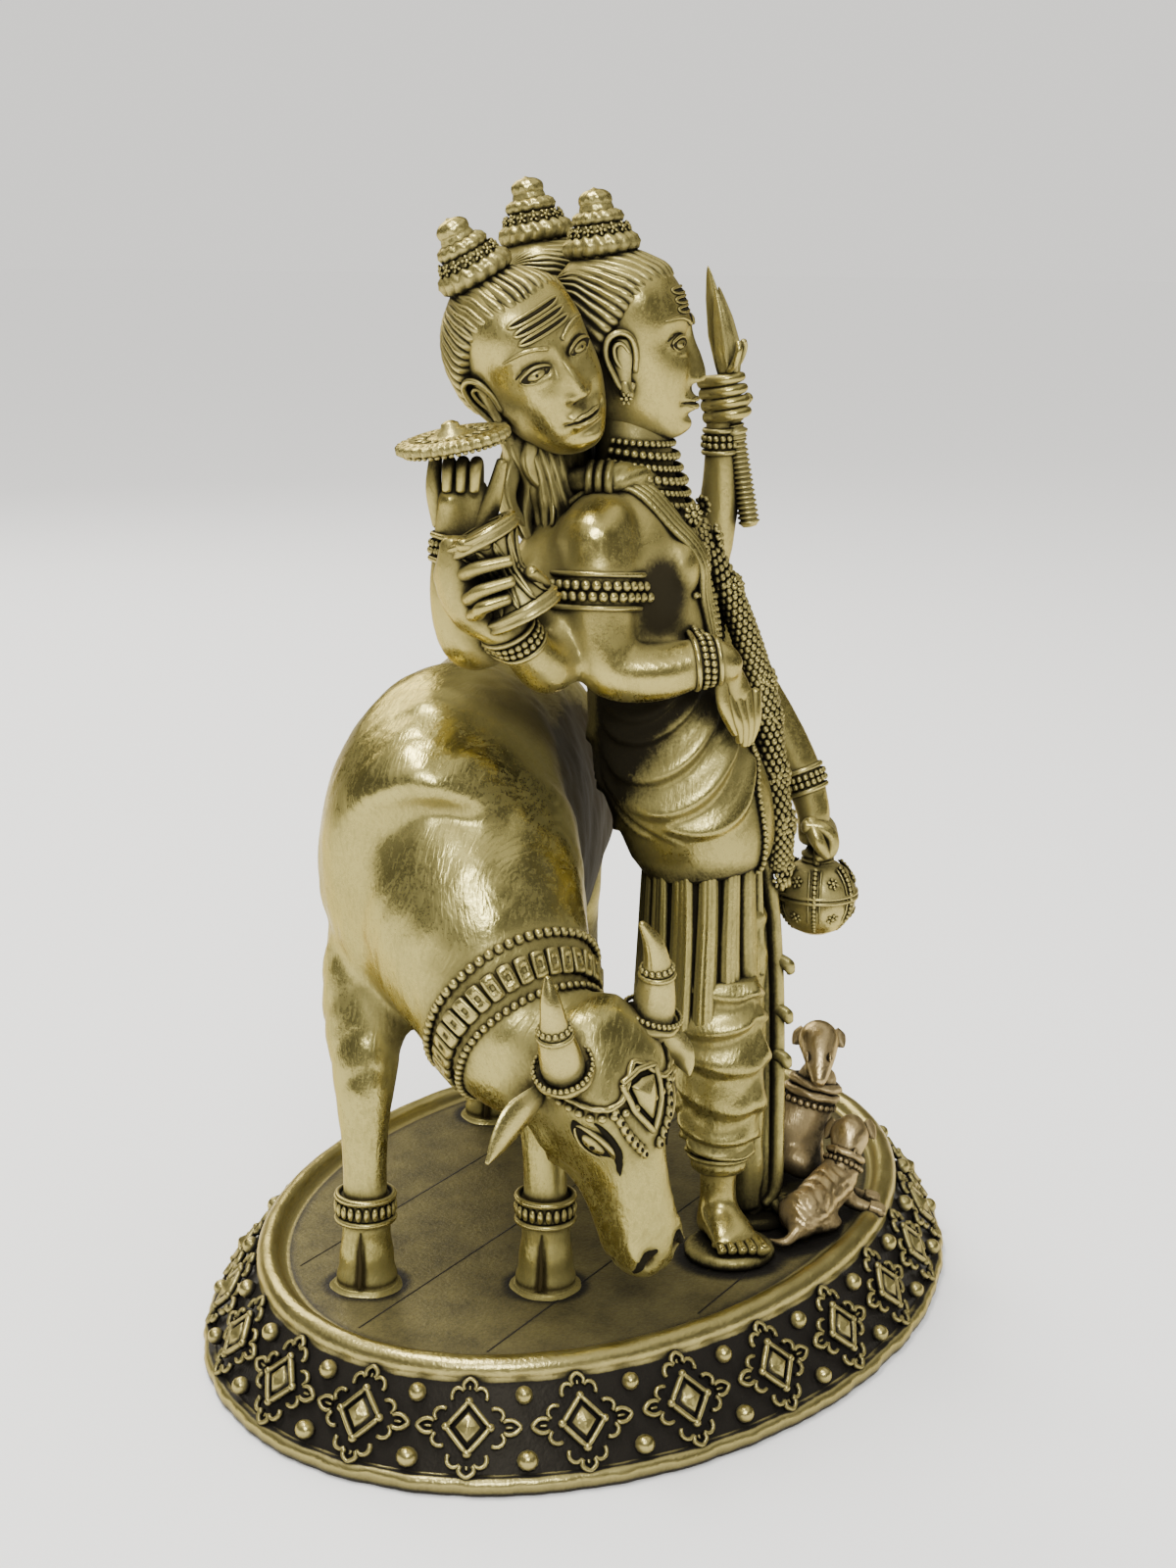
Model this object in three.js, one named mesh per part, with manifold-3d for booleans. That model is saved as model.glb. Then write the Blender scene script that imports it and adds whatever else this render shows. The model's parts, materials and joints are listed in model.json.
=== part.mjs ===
// A small cast-brass shrine figure: a standing deity with three heads and six arms
// leans on a cow, with two dogs at the feet, on an oval base with a band of rosettes.
// Millimetres, +Z up, origin at the middle of the flat underside.
import * as THREE from "three";
import { mergeVertices } from "three/addons/utils/BufferGeometryUtils.js";
import Module from "manifold-3d";

const wasm = await Module();
wasm.setup();

// Driving dimensions
const BASE_HALF_LENGTH = 44;
const BASE_HALF_WIDTH = 32;
const FLOOR_HEIGHT = 8.2;
const RIM_HEIGHT = 9.2;
const ROSETTES = 24;
const ROSETTE_REACH = 3.8;
const BAND_MID = { inset: 2.9, z: 4.6, lean: 0.594 };
const GROUP_TURN = THREE.MathUtils.degToRad(17);
const REST_GAP = 0.2;
const STAND = FLOOR_HEIGHT + REST_GAP;

const COW_MID_Y = 10.7;
const HORN_MID = [-31, -6.8, 33.8];
const HORN_SPREAD = 5.4;
const COW_HEAD_LENGTH = 21.6;
const COW_FACE_TURN = 218;
const COW_HEAD_ROLL = 14;
const ANKLET_HEIGHT = 15.4;

const SAGITTAL_X = -7.2;
const HEAD_HEIGHT = 15.6;
const BUN_HEIGHT = 5.9;
const SIDE_HEAD_TURN = 48;

const BRASS = { color: 0x8d7a42, roughness: 0.38, metalness: 0.9 };
const DARK_BRASS = { color: 0x5f5233, roughness: 0.45, metalness: 0.85 };
const FUR_BRASS = { color: 0x86703f, roughness: 0.45, metalness: 0.85 };

const X = new THREE.Vector3(1, 0, 0);
const Y = new THREE.Vector3(0, 1, 0);
const Z = new THREE.Vector3(0, 0, 1);
const TAU = 2 * Math.PI;
const vec = (p) => new THREE.Vector3(p[0], p[1], p[2]);
const wave = (turns) => Math.cos(TAU * turns);

// Solids from geometry, and their union

function solidOf(geometry, matrix = new THREE.Matrix4()) {
  const bare = geometry.clone().applyMatrix4(matrix);
  bare.deleteAttribute("normal");
  bare.deleteAttribute("uv");
  const merged = mergeVertices(bare, 1e-4);
  const vertProperties = new Float32Array(merged.attributes.position.array);
  const triVerts = new Uint32Array(merged.index.array);
  return new wasm.Manifold(new wasm.Mesh({ numProp: 3, vertProperties, triVerts }));
}

function fused(parts) {
  return parts.reduce((whole, part) => whole.add(part));
}

function meshOf(name, solid, finish) {
  const { vertProperties, triVerts } = solid.getMesh();
  const geometry = new THREE.BufferGeometry();
  geometry.setAttribute("position", new THREE.BufferAttribute(new Float32Array(vertProperties), 3));
  geometry.setIndex(new THREE.BufferAttribute(new Uint32Array(triVerts), 1));
  const mesh = new THREE.Mesh(geometry, new THREE.MeshStandardMaterial(finish));
  mesh.name = name;
  return mesh;
}

// A closed skin over rings of points, with a point at each end
function ringSkin(rings, startPole, endPole) {
  const sides = rings[0].length;
  const points = [...rings.flat(), startPole, endPole];
  const start = points.length - 2;
  const end = points.length - 1;
  const last = (rings.length - 1) * sides;
  const faces = [];
  for (let i = 0; i < rings.length - 1; i += 1) {
    for (let j = 0; j < sides; j += 1) {
      const a = i * sides + j;
      const b = i * sides + (j + 1) % sides;
      faces.push(a, b, b + sides, a, b + sides, a + sides);
    }
  }
  for (let j = 0; j < sides; j += 1) {
    const next = (j + 1) % sides;
    faces.push(start, next, j, end, last + j, last + next);
  }
  const geometry = new THREE.BufferGeometry();
  const flat = points.flatMap((p) => [p.x, p.y, p.z]);
  geometry.setAttribute("position", new THREE.Float32BufferAttribute(flat, 3));
  geometry.setIndex(faces);
  return geometry;
}

// The value of each number of the stations at t, on a smooth curve through them all
function along(stations, t) {
  const place = Math.min(Math.max(t, 0), 1) * (stations.length - 1);
  const i = Math.min(Math.floor(place), stations.length - 2);
  const f = place - i;
  const p = [i - 1, i, i + 1, i + 2].map((k) => stations[Math.min(Math.max(k, 0), stations.length - 1)]);
  return p[1].map((b, k) => {
    const [a, c, d] = [p[0][k], p[2][k], p[3][k]];
    return b + 0.5 * f * (c - a + f * (2 * a - 5 * b + 4 * c - d + f * (3 * (b - c) + d - a)));
  });
}

// A limb: rings set square to a smooth path. A station is [x, y, z, half-width, half-depth],
// where the width lies along `across`; relief(turn, t) swells or draws in the ring.
function limb(stations, { rings = 5, sides = 6, across = X, relief = () => 1, dome = 0.4 } = {}) {
  const frames = [];
  for (let i = 0; i < rings; i += 1) {
    const t = i / (rings - 1);
    const [x, y, z, width, depth] = along(stations, t);
    const ahead = vec(along(stations, t + 0.01));
    const tangent = ahead.sub(vec(along(stations, t - 0.01))).normalize();
    const side = across.clone().addScaledVector(tangent, -across.dot(tangent)).normalize();
    const front = tangent.clone().cross(side);
    frames.push({ centre: vec([x, y, z]), width, depth, side, front, tangent, t });
  }
  const ringPoints = frames.map((f) => Array.from({ length: sides }, (_, j) => {
    const turn = j / sides;
    const swell = relief(turn, f.t);
    const point = f.centre.clone().addScaledVector(f.side, f.width * swell * wave(turn));
    return point.addScaledVector(f.front, f.depth * swell * wave(turn - 0.25));
  }));
  const [first, last] = [frames[0], frames[frames.length - 1]];
  const poleAt = (f, sign) =>
    f.centre.clone().addScaledVector(f.tangent, sign * dome * Math.min(f.width, f.depth));
  return solidOf(ringSkin(ringPoints, poleAt(first, -1), poleAt(last, 1)));
}

// An ellipsoid, turned by [x, y, z] degrees about its own middle
function blob(centre, radii, turn = [0, 0, 0], widthSegments = 8, heightSegments = 6) {
  const angles = turn.map((a) => THREE.MathUtils.degToRad(a));
  const spin = new THREE.Quaternion().setFromEuler(new THREE.Euler(...angles, "ZYX"));
  const sphere = new THREE.SphereGeometry(1, widthSegments, heightSegments);
  return solidOf(sphere, new THREE.Matrix4().compose(vec(centre), spin, vec(radii)));
}

// A turned shape: profile points [radius, height] from the axis back to the axis
function turned(profile, centre, axis = Z, sides = 8) {
  const points = profile.map(([r, h]) => new THREE.Vector2(r, h));
  const lathe = new THREE.LatheGeometry(points, sides).rotateX(Math.PI / 2);
  const spin = new THREE.Quaternion().setFromUnitVectors(Z, axis.clone().normalize());
  return solidOf(lathe, new THREE.Matrix4().compose(vec(centre), spin, vec([1, 1, 1])));
}

// A band of beads worn round a limb, centred on a point of it
function beadBand(centre, axis, radius, { thick = 0.7, wide = 1.6, beads = 4, flat = 1 } = {}) {
  const middle = vec(centre);
  const half = axis.clone().normalize().multiplyScalar(wide / 2);
  const ends = [middle.clone().sub(half), middle, middle.clone().add(half)];
  const radii = [radius, radius + thick, radius];
  const stations = ends.map((p, i) => [p.x, p.y, p.z, radii[i], radii[i] * flat]);
  const across = Math.abs(half.x) > Math.abs(half.z) ? Z : X;
  const relief = (turn, t) => 1 + 0.05 * Math.sin(Math.PI * t) * wave(turn * beads);
  return limb(stations, { rings: 3, sides: 2 * beads, across, relief, dome: 0.02 });
}

const mirroredX = (x) => 2 * SAGITTAL_X - x;
const mirrored = (stations) => stations.map(([x, ...rest]) => [mirroredX(x), ...rest]);

// The oval base

const ovalTable = (() => {
  const steps = 720;
  const lengths = [0];
  for (let i = 1; i <= steps; i += 1) {
    const a = (TAU * (i - 0.5)) / steps;
    const pace = Math.hypot(BASE_HALF_LENGTH * Math.sin(a), BASE_HALF_WIDTH * Math.cos(a));
    lengths.push(lengths[i - 1] + (pace * TAU) / steps);
  }
  return { steps, lengths, total: lengths[steps] };
})();

// The angle on the oval at a fraction of its length from the +X end
function ovalAngle(fraction) {
  const { steps, lengths, total } = ovalTable;
  const goal = (((fraction % 1) + 1) % 1) * total;
  const i = Math.max(lengths.findIndex((length) => length > goal), 1);
  const within = (goal - lengths[i - 1]) / (lengths[i] - lengths[i - 1]);
  return (TAU * (i - 1 + within)) / steps;
}

function ovalFrame(fraction) {
  const a = ovalAngle(fraction);
  const edge = new THREE.Vector3(BASE_HALF_LENGTH * Math.cos(a), BASE_HALF_WIDTH * Math.sin(a), 0);
  const out = new THREE.Vector3(Math.cos(a) / BASE_HALF_LENGTH, Math.sin(a) / BASE_HALF_WIDTH, 0);
  return { edge, out: out.normalize() };
}

function plinth() {
  const profile = [
    [0.2, 0], [0, 1], [0.8, 1.6], [4.9, 7.6], [5.1, 8.6], [5.9, RIM_HEIGHT],
    [6.9, RIM_HEIGHT], [7.6, FLOOR_HEIGHT],
  ];
  const sides = 2 * ROSETTES;
  const rings = profile.map(([inset, z]) => Array.from({ length: sides }, (_, j) => {
    const { edge, out } = ovalFrame(j / sides);
    return edge.addScaledVector(out, -inset).setZ(z);
  }));
  return solidOf(ringSkin(rings, vec([0, 0, 0]), vec([0, 0, FLOOR_HEIGHT])));
}

// A four-pointed star boss, in its own frame with z out of the band
function rosetteGeometry() {
  const outline = (reach, z) => Array.from({ length: 8 }, (_, j) => {
    const r = j % 2 === 0 ? reach : reach * 0.55;
    return new THREE.Vector3(r * wave(j / 8), r * wave(j / 8 - 0.25), z);
  });
  return ringSkin([outline(ROSETTE_REACH, -0.25)], vec([0, 0, -0.6]), vec([0, 0, 1.2]));
}

function onBand(geometry, fraction) {
  const { edge, out } = ovalFrame(fraction);
  const [rise, slope] = [Math.cos(BAND_MID.lean), Math.sin(BAND_MID.lean)];
  const up = Z.clone().multiplyScalar(rise).addScaledVector(out, -slope);
  const normal = out.clone().multiplyScalar(rise).addScaledVector(Z, slope);
  const place = edge.addScaledVector(out, -BAND_MID.inset).setZ(BAND_MID.z);
  const around = up.clone().cross(normal);
  const matrix = new THREE.Matrix4().makeBasis(around, up, normal).setPosition(place);
  return solidOf(geometry, matrix);
}

function ovalBase() {
  const star = rosetteGeometry();
  const rosettes = Array.from({ length: ROSETTES }, (_, i) => onBand(star, i / ROSETTES));
  return fused([plinth(), ...rosettes]);
}

// The cow, with the head turned to its left

const cowHeadFrame = (() => {
  const turn = THREE.MathUtils.degToRad(COW_FACE_TURN);
  const roll = THREE.MathUtils.degToRad(COW_HEAD_ROLL);
  const face = new THREE.Vector3(Math.sin(turn), Math.cos(turn), -0.06).normalize();
  const level = Z.clone().cross(face).normalize();
  const upright = face.clone().cross(level);
  const left = level.multiplyScalar(Math.cos(roll)).addScaledVector(upright, Math.sin(roll));
  const down = face.clone().cross(left).negate();
  return { left, down, face };
})();

// A station of the cow's head: across to its left, down from the horns, out in front, and its radii
function cowHeadStation([left, down, front, ...radii]) {
  const frame = cowHeadFrame;
  const point = vec(HORN_MID).addScaledVector(frame.left, left);
  point.addScaledVector(frame.down, down).addScaledVector(frame.face, front);
  return [...point.toArray(), ...radii];
}

function hornAndEar(side) {
  const { left, down, face } = cowHeadFrame;
  const horn = [
    [side * HORN_SPREAD * 0.8, 1, -1.4, 2, 2], [side * HORN_SPREAD, -1.8, -0.8, 1.7, 1.7],
    [side * (HORN_SPREAD + 0.4), -5, -0.4, 1.4, 1.4], [side * (HORN_SPREAD - 0.2), -8.6, -0.8, 0.5, 0.5],
  ];
  const spreadEar = [
    [-3.8, 2.6, -3.4, 0.9, 1], [-7, 3.6, -3.4, 0.7, 2], [-10, 4.8, -3.4, 0.5, 1.5],
    [-12, 5.7, -3.4, 0.25, 0.3],
  ];
  const foldedEar = [
    [3.8, 2.6, -3.4, 0.9, 1], [6.4, 3.6, -3, 0.7, 1.8], [7.8, 5.6, -2.2, 0.6, 1.5],
    [8.2, 7.4, -1.4, 0.25, 0.3],
  ];
  const ear = side < 0 ? spreadEar : foldedEar;
  const ring = cowHeadStation([side * HORN_SPREAD * 0.97, -0.7, -1]);
  return [
    limb(horn.map(cowHeadStation), { rings: 4, sides: 5, across: left }),
    limb(ear.map(cowHeadStation), { rings: 4, sides: 4, across: face }),
    beadBand(ring, down, 1.9, { wide: 1.4, beads: 3 }),
  ];
}

function cowHead() {
  const { left } = cowHeadFrame;
  const skull = [
    [0, -1.8, -2.8, 3.4, 2.4], [0, 1.4, -2.7, 5.2, 4.6], [0, 5.5, -2.8, 5.3, 5.7],
    [0, 9.5, -2.8, 4.6, 5.3],
    [0, 13.5, -1.7, 3.6, 4.3], [0, 17, -0.9, 3.3, 3.8], [0, 19.8, -0.8, 3.1, 3.2],
    [0, COW_HEAD_LENGTH, -1.3, 1.8, 1.8],
  ];
  const brow = (turn) => 1 + 0.03 * wave(turn * 4 - 0.5);
  const plaque = [[0, -0.6, 1.2, 1.9, 0.9], [0, 3.4, 2.6, 1.7, 0.7], [0, 7.4, 2.6, 0.3, 0.5]];
  return [
    limb(skull.map(cowHeadStation), { rings: 7, sides: 8, across: left, relief: brow }),
    limb(plaque.map(cowHeadStation), { rings: 3, sides: 4, across: left }),
    ...hornAndEar(-1), ...hornAndEar(1),
  ];
}

function cowLeg(stations) {
  const [x, y] = stations[stations.length - 1];
  const hoof = [[x, y, 13.6, 2, 2], [x, y, 11, 2.3, 2.3], [x, y, STAND, 2.9, 2.8]];
  const anklet = along(stations, 0.86);
  anklet[2] = ANKLET_HEIGHT;
  return [
    limb(stations),
    limb(hoof, { rings: 2, dome: 0 }),
    beadBand(anklet, Z, 2.2, { wide: 2.6, thick: 0.6, beads: 3 }),
  ];
}

function cow() {
  const mid = COW_MID_Y;
  const barrel = [
    [-24.6, mid - 1, 40, 4.5, 6], [-21.6, mid - 0.4, 41, 8.6, 12], [-17.5, mid, 43.2, 10.8, 14.9],
    [-12, mid + 0.2, 44.2, 11.5, 15.6], [-4, mid, 43.8, 11.4, 15.2], [4, mid, 43.6, 11.4, 15],
    [12, mid, 44, 10.8, 14.4],
    [18, mid, 45, 9.8, 12.8], [22.4, mid, 46, 7.4, 9.8], [24.6, mid, 46.8, 3.4, 5],
  ];
  const egg = (turn) => 1 - 0.06 * wave(turn * 2) + 0.05 * wave(turn - 0.75);
  const neck = [
    [-15, 9.4, 44.5, 10.4, 12.5], [-19.5, 7.2, 40.2, 9.6, 11.2], [-23, 4.2, 35.6, 8, 9.2],
    [-25.6, 1.2, 32.3, 6.9, 7.2],
    [-27.4, -2, 31, 5.4, 5.8], [-28.6, -4.4, 30.6, 4.2, 4.4],
  ];
  const creases = (turn, t) => 1 + 0.02 * wave(turn * 5) * t;
  const collarAxis = new THREE.Vector3(-0.56, -0.62, -0.55);
  const legs = [
    [[-15, 15, 42, 5, 5], [-19.2, 16.4, 33, 3.7, 4], [-22.4, 16, 26, 2.6, 2.7], [-23.4, 15.8, 20, 1.9, 2],
      [-23.4, 15.7, 12.5, 2, 2]],
    [[-15, 4, 41, 5, 5], [-18.6, 2.4, 32, 3.6, 4], [-20.6, 1.2, 26, 2.6, 2.7], [-21, 0.7, 20, 1.9, 2],
      [-21, 0.6, 12.5, 2, 2]],
    [[15, 14.6, 42, 6, 5], [17.5, 15, 32, 4.6, 3.4], [20.6, 14.2, 24, 2.4, 2.1],
    [19.6, 13.6, 18.5, 1.9, 1.9],
      [17.6, 13.2, 12.5, 2, 2]],
    [[15, 6.2, 42, 6, 5], [17.5, 5.6, 32, 4.6, 3.4], [21.4, 4.9, 24, 2.4, 2.1],
    [20.4, 4.4, 18.5, 1.9, 1.9],
      [18.5, 4.2, 12.5, 2, 2]],
  ];
  const tail = [
    [22.4, mid, 53, 1.4, 1.4], [25.2, mid, 49, 1.1, 1.1], [25.6, mid, 36, 0.9, 0.9],
    [25, mid, 23, 1.9, 1.9],
    [24.8, mid, 16.5, 0.5, 0.5],
  ];
  return fused([
    limb(barrel, { rings: 8, sides: 12, across: Y, relief: egg }),
    limb(neck, { rings: 6, sides: 10, across: Y, relief: creases }),
    beadBand([-25, 1.9, 33], collarAxis, 7.4, { beads: 5, wide: 3.8, thick: 0.9 }),
    ...legs.flatMap(cowLeg),
    limb(tail, { sides: 5 }),
    blob([11, mid, 29.5], [3.6, 3.4, 3], [0, 0, 0], 6, 4),
    ...cowHead(),
  ]);
}

// The deity's heads

// A head's place: its middle, the way it faces and the way its crown points
function headPlace(centre, facing, crown) {
  const up = vec(crown).normalize();
  const front = vec(facing);
  front.addScaledVector(up, -front.dot(up)).normalize();
  const matrix = new THREE.Matrix4().makeBasis(up.clone().cross(front), front.clone().negate(), up);
  return matrix.setPosition(...centre);
}

// One head in its own frame, facing -Y, with the middle of the head at the origin
function singleHead() {
  const chin = -HEAD_HEIGHT / 2;
  const hair = [
    [0, -1.4, 6.2, 3.2, 2.2], [0, 0.4, 4.6, 5.2, 4.5], [0, 1.8, 2, 5.6, 5.2], [0, 2.8, -1.6, 4.9, 4.4],
    [0, 3, -5, 2.8, 2.4],
  ];
  const strands = (turn) => 1 + 0.03 * wave(turn * 5);
  const face = [
    [0, -1.6, chin + 1.2, 2, 2.2], [0, -1.5, -3, 4.1, 4], [0, -0.8, 1, 4.5, 4.5], [0, 0, 5, 3.8, 3.8],
  ];
  const bun = [[0, -1], [3.1, 0.4], [2.9, 2], [2.3, 3.3], [1.5, 4.1], [1.4, 5.1], [0, BUN_HEIGHT]];
  const parts = [
    limb(hair, { rings: 4, sides: 10, relief: strands }),
    limb(face, { rings: 4, sides: 7 }),
    turned(bun, [0, 2.4, 6.8], new THREE.Vector3(0, 0.15, 1), 6),
    limb([[0, -4.6, 1.8, 0.6, 0.6], [0, -5.6, -1.4, 1, 0.9]], { rings: 2, sides: 3 }),
  ];
  for (const s of [-1, 1]) {
    const ear = [[s * 4.8, 0.2, 0.8, 0.8, 1.3], [s * 4.6, 0.2, -4.4, 0.7, 0.8]];
    parts.push(limb(ear, { rings: 2, sides: 3 }));
  }
  return fused(parts);
}

function heads() {
  const head = singleHead();
  const turn = THREE.MathUtils.degToRad(SIDE_HEAD_TURN);
  const places = [
    headPlace([-7.4, -3.7, 87.1], [0, -1, 0], [-0.03, 0.1, 1]),
    headPlace([-14.2, 3.6, 85.9], [-Math.sin(turn), -Math.cos(turn), 0], [-0.36, 0.3, 0.88]),
    headPlace([0.4, 3.2, 88.2], [Math.sin(turn), -Math.cos(turn), 0], [0.1, 0.08, 0.99]),
  ];
  const neck = [[-7.2, -2.6, 71, 5, 4.4], [-7.3, -4.2, 76, 3.3, 3.2], [-7.4, -3.8, 80.5, 2.9, 3]];
  const nape = [[-7.2, 1, 70, 6.6, 3.4], [-7.2, 2.4, 76, 7.4, 3.2], [-7.2, 3.6, 82, 8, 3.6]];
  const lock = (x, drift) => {
    const path = [[x, 5, 81, 2, 1.6], [x + drift, 5.2, 76, 1.8, 1.4], [x + drift, 3.2, 69.4, 0.8, 0.7]];
    return limb(path, { rings: 3, sides: 4, relief: (_, t) => 1 + 0.12 * wave(t) });
  };
  return [
    ...places.map((place) => head.transform(place.toArray())),
    limb(neck, { rings: 3, sides: 7 }),
    limb(nape, { rings: 3, sides: 8 }),
    lock(-13.4, -0.6), lock(mirroredX(-13.4), 0.6),
  ];
}

// The deity's body, dress and legs

function torso() {
  const mid = SAGITTAL_X;
  const trunk = [
    [mid, -6.2, 59, 7, 5], [mid, -5.8, 63, 8.2, 6], [mid, -4.6, 70, 8.8, 5.2],
    [mid, -3.8, 74.6, 6.2, 3.8],
  ];
  const shawl = [
    [mid, -11, 42.8, 6.4, 5.9], [mid, -10.6, 44.8, 7.2, 6.5], [mid, -9.8, 47.6, 7.7, 6.9],
    [mid, -8.3, 51.5, 8, 7],
    [mid, -6.9, 56, 7.9, 6.6], [mid, -6.1, 61, 8.3, 6.2],
  ];
  const sagging = (turn, t) => 1 + 0.035 * wave(3 * t + 0.5 * wave(turn - 0.5));
  const neckRoll = [[-12.8, -2.4, 75.4, 1.5, 1.4], [-10.8, -5.8, 75.8, 1.6, 1.4], [mid, -7.8, 74.8, 1.6, 1.4],
    [-3.6, -5.8, 75.8, 1.6, 1.4], [-1.6, -2.4, 75.4, 1.5, 1.4]];
  const sash = [[-12.6, -4, 73.4, 1.5, 0.9], [-12.2, -9, 69, 1.6, 0.9], [-10, -12, 60, 1.6, 0.9]];
  return [
    limb(trunk, { rings: 4, sides: 8 }),
    limb(shawl, { rings: 8, sides: 10, relief: sagging, dome: 0.3 }),
    limb(neckRoll, { rings: 4, sides: 4, across: Z }),
    limb(sash, { rings: 3, sides: 4 }),
    limb(mirrored(sash), { rings: 2, sides: 3 }),
  ];
}

// A leg in bunched cloth over a bare foot on a round pad; `toe` leads from the ankle to the toes
function leg(x, y, toe) {
  const bunched = (turn, t) => 1 + 0.08 * wave(t * 3.5 + 0.25 * wave(turn - 0.5));
  const cloth = [
    [x, y + 0.8, 30, 3.1, 4.6], [x, y, 24, 3.2, 3.9], [x, y, 19.5, 2.7, 3.3], [x, y, 14.6, 2, 2.2],
  ];
  const foot = [
    [x, y, 11, 2, 1.7], [x + toe[0] / 2, y + toe[1] / 2, 10.4, 2.1, 1.3],
    [x + toe[0], y + toe[1], 9.9, 2.3, 0.8],
  ];
  const pad = [[0, 0], [3.7, 0], [3.7, 1], [0, 1]];
  const across = new THREE.Vector3(-toe[1], toe[0], 0).normalize();
  return [
    limb(cloth, { rings: 7, sides: 7, relief: bunched }),
    limb([[x, y, 15.4, 1.6, 1.7], [x, y, 10, 1.9, 2]], { rings: 2, sides: 5 }),
    limb(foot, { rings: 3, across }),
    turned(pad, [x + toe[0] * 0.4, y + toe[1] * 0.5, STAND], Z, 8),
  ];
}

function skirtAndLegs() {
  const mid = SAGITTAL_X;
  const skirt = [[mid, -10.6, 44.5, 6, 5.2], [mid, -10.6, 28.4, 6.6, 5.6]];
  const pleats = (turn, t) => 1 + 0.035 * (0.4 + t) * wave(turn * 9);
  const sashEnd = [[-5.2, -16.4, 37, 1.7, 1.2], [-4.4, -18, 30, 1.8, 1.1], [-4.2, -17.4, 20, 1.5, 1.2],
    [-4, -17, STAND + 0.8, 0.9, 0.8]];
  const innerFold = [[mid, -12, 33, 3, 3], [-7, -12.8, 22, 2.2, 2.6], [-6.4, -13.6, 12, 1, 1.4]];
  return [
    limb(skirt, { rings: 2, sides: 18, relief: pleats, dome: 0.05 }),
    limb(sashEnd, { rings: 4, sides: 4 }),
    limb(innerFold, { rings: 3, sides: 4 }),
    ...leg(-10.5, -13, [-4.2, -2.6]), ...leg(-3.9, -12.6, [1.2, -5.6]),
  ];
}

// Arms, each with its bracelet, hand and what it holds

// Fingers side by side from the palm to the tips, and a thumb
function fingers(palm, tip, spread, thumbTip, thick = 0.8, count = 2) {
  const across = vec(spread);
  const parts = [];
  for (let i = 0; i < count; i += 1) {
    const slide = across.clone().multiplyScalar(i - (count - 1) / 2);
    const path = [palm, tip].map((p) => [...vec(p).add(slide).toArray(), thick, thick]);
    parts.push(limb(path, { rings: 2, sides: 4, across: across.clone().normalize(), dome: 0.6 }));
  }
  const thumb = [palm, thumbTip].map((p) => [...p, thick, thick]);
  parts.push(limb(thumb, { rings: 2, sides: 4, across: Z }));
  return parts;
}

function frontArm() {
  const path = [
    [-10.5, -2.6, 72.6, 2.6, 2.6], [-14.2, -2.3, 72.2, 3.1, 3.2], [-16, -2.4, 68.6, 3, 3.3],
    [-16.8, -2.8, 64.4, 2.6, 2.8],
    [-17, -3.8, 61.4, 2.5, 2.6], [-16.2, -7.6, 61, 2.3, 2.4], [-14.9, -11.6, 62, 1.8, 1.9],
    [-13.6, -14, 60.4, 2.1, 1.4],
  ];
  return [
    limb(path, { rings: 8, across: X.clone().addScaledVector(Z, -0.6) }),
    beadBand([-16.2, -2.5, 67.6], Z, 3, { wide: 2.4 }),
    beadBand([-14.8, -11.8, 62], new THREE.Vector3(0.35, -1, 0.1), 2, { wide: 2 }),
    ...fingers([-13.4, -14.2, 60], [-12.8, -14.7, 55], [1.5, 0.5, 0], [-15, -14.6, 57.2], 0.9, 2),
  ];
}

function drumArm() {
  const path = [
    [-12.8, -0.6, 71.5, 3, 3], [-15.2, 0.6, 67, 2.6, 2.8], [-17.4, 0.9, 63, 2.5, 2.6],
    [-19.4, 1.2, 61.8, 2.4, 2.4],
    [-22, 2.6, 63.8, 1.9, 1.9], [-23.4, 3.4, 66, 1.7, 1.7],
  ];
  const low = vec([-23.6, 2, 66.4]);
  const axis = vec([-24.4, 5.8, 73.4]).sub(low);
  const length = axis.length();
  const drum = [[0, 0], [3.2, 0], [3.2, 1], [1.6, length / 2], [3.2, length - 1], [3.2, length], [0, length]];
  return [
    limb(path, { rings: 5, sides: 6 }),
    turned(drum, low.toArray(), axis, 8),
    beadBand([-22.6, 3, 64.8], new THREE.Vector3(-0.5, 0.35, 0.8), 1.9),
    ...fingers([-23.4, 6.2, 68.4], [-26.8, 4.4, 69.8], [0.1, 0.8, 1.5], [-26.2, 1.8, 68.2], 0.85, 3),
  ];
}

function discArm() {
  const path = [
    [-11.8, 1.2, 71, 3, 3], [-14.8, 3.6, 67.2, 2.7, 2.8], [-18.4, 6.4, 63.9, 2.6, 2.6],
    [-20.6, 7.6, 64.2, 2.4, 2.3],
    [-21.4, 8.2, 67.6, 2.3, 2.2], [-21.6, 8.4, 71.4, 1.7, 1.7], [-21.6, 8.4, 76.4, 1.9, 1.1],
  ];
  const disc = [[0, 0.1], [4.4, 0.1], [4.4, 1.1], [1.2, 1.2], [0, 2.2]];
  return [
    limb(path, { rings: 7, sides: 6 }),
    turned(disc, [-21.6, 8.3, 79.4], new THREE.Vector3(-0.12, 0.17, 1), 12),
    beadBand([-21.6, 8.4, 71.4], Z, 1.9),
    limb([[-21.6, 8.6, 75.6, 0.7, 0.7], [-21.6, 8.4, 80, 0.6, 0.6]], { rings: 2, sides: 5 }),
    ...fingers([-21.6, 7.4, 75.4], [-21.8, 4.6, 78], [0, 0.8, 0.8], [-22.8, 6.2, 77.6], 0.6, 2),
  ];
}

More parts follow.
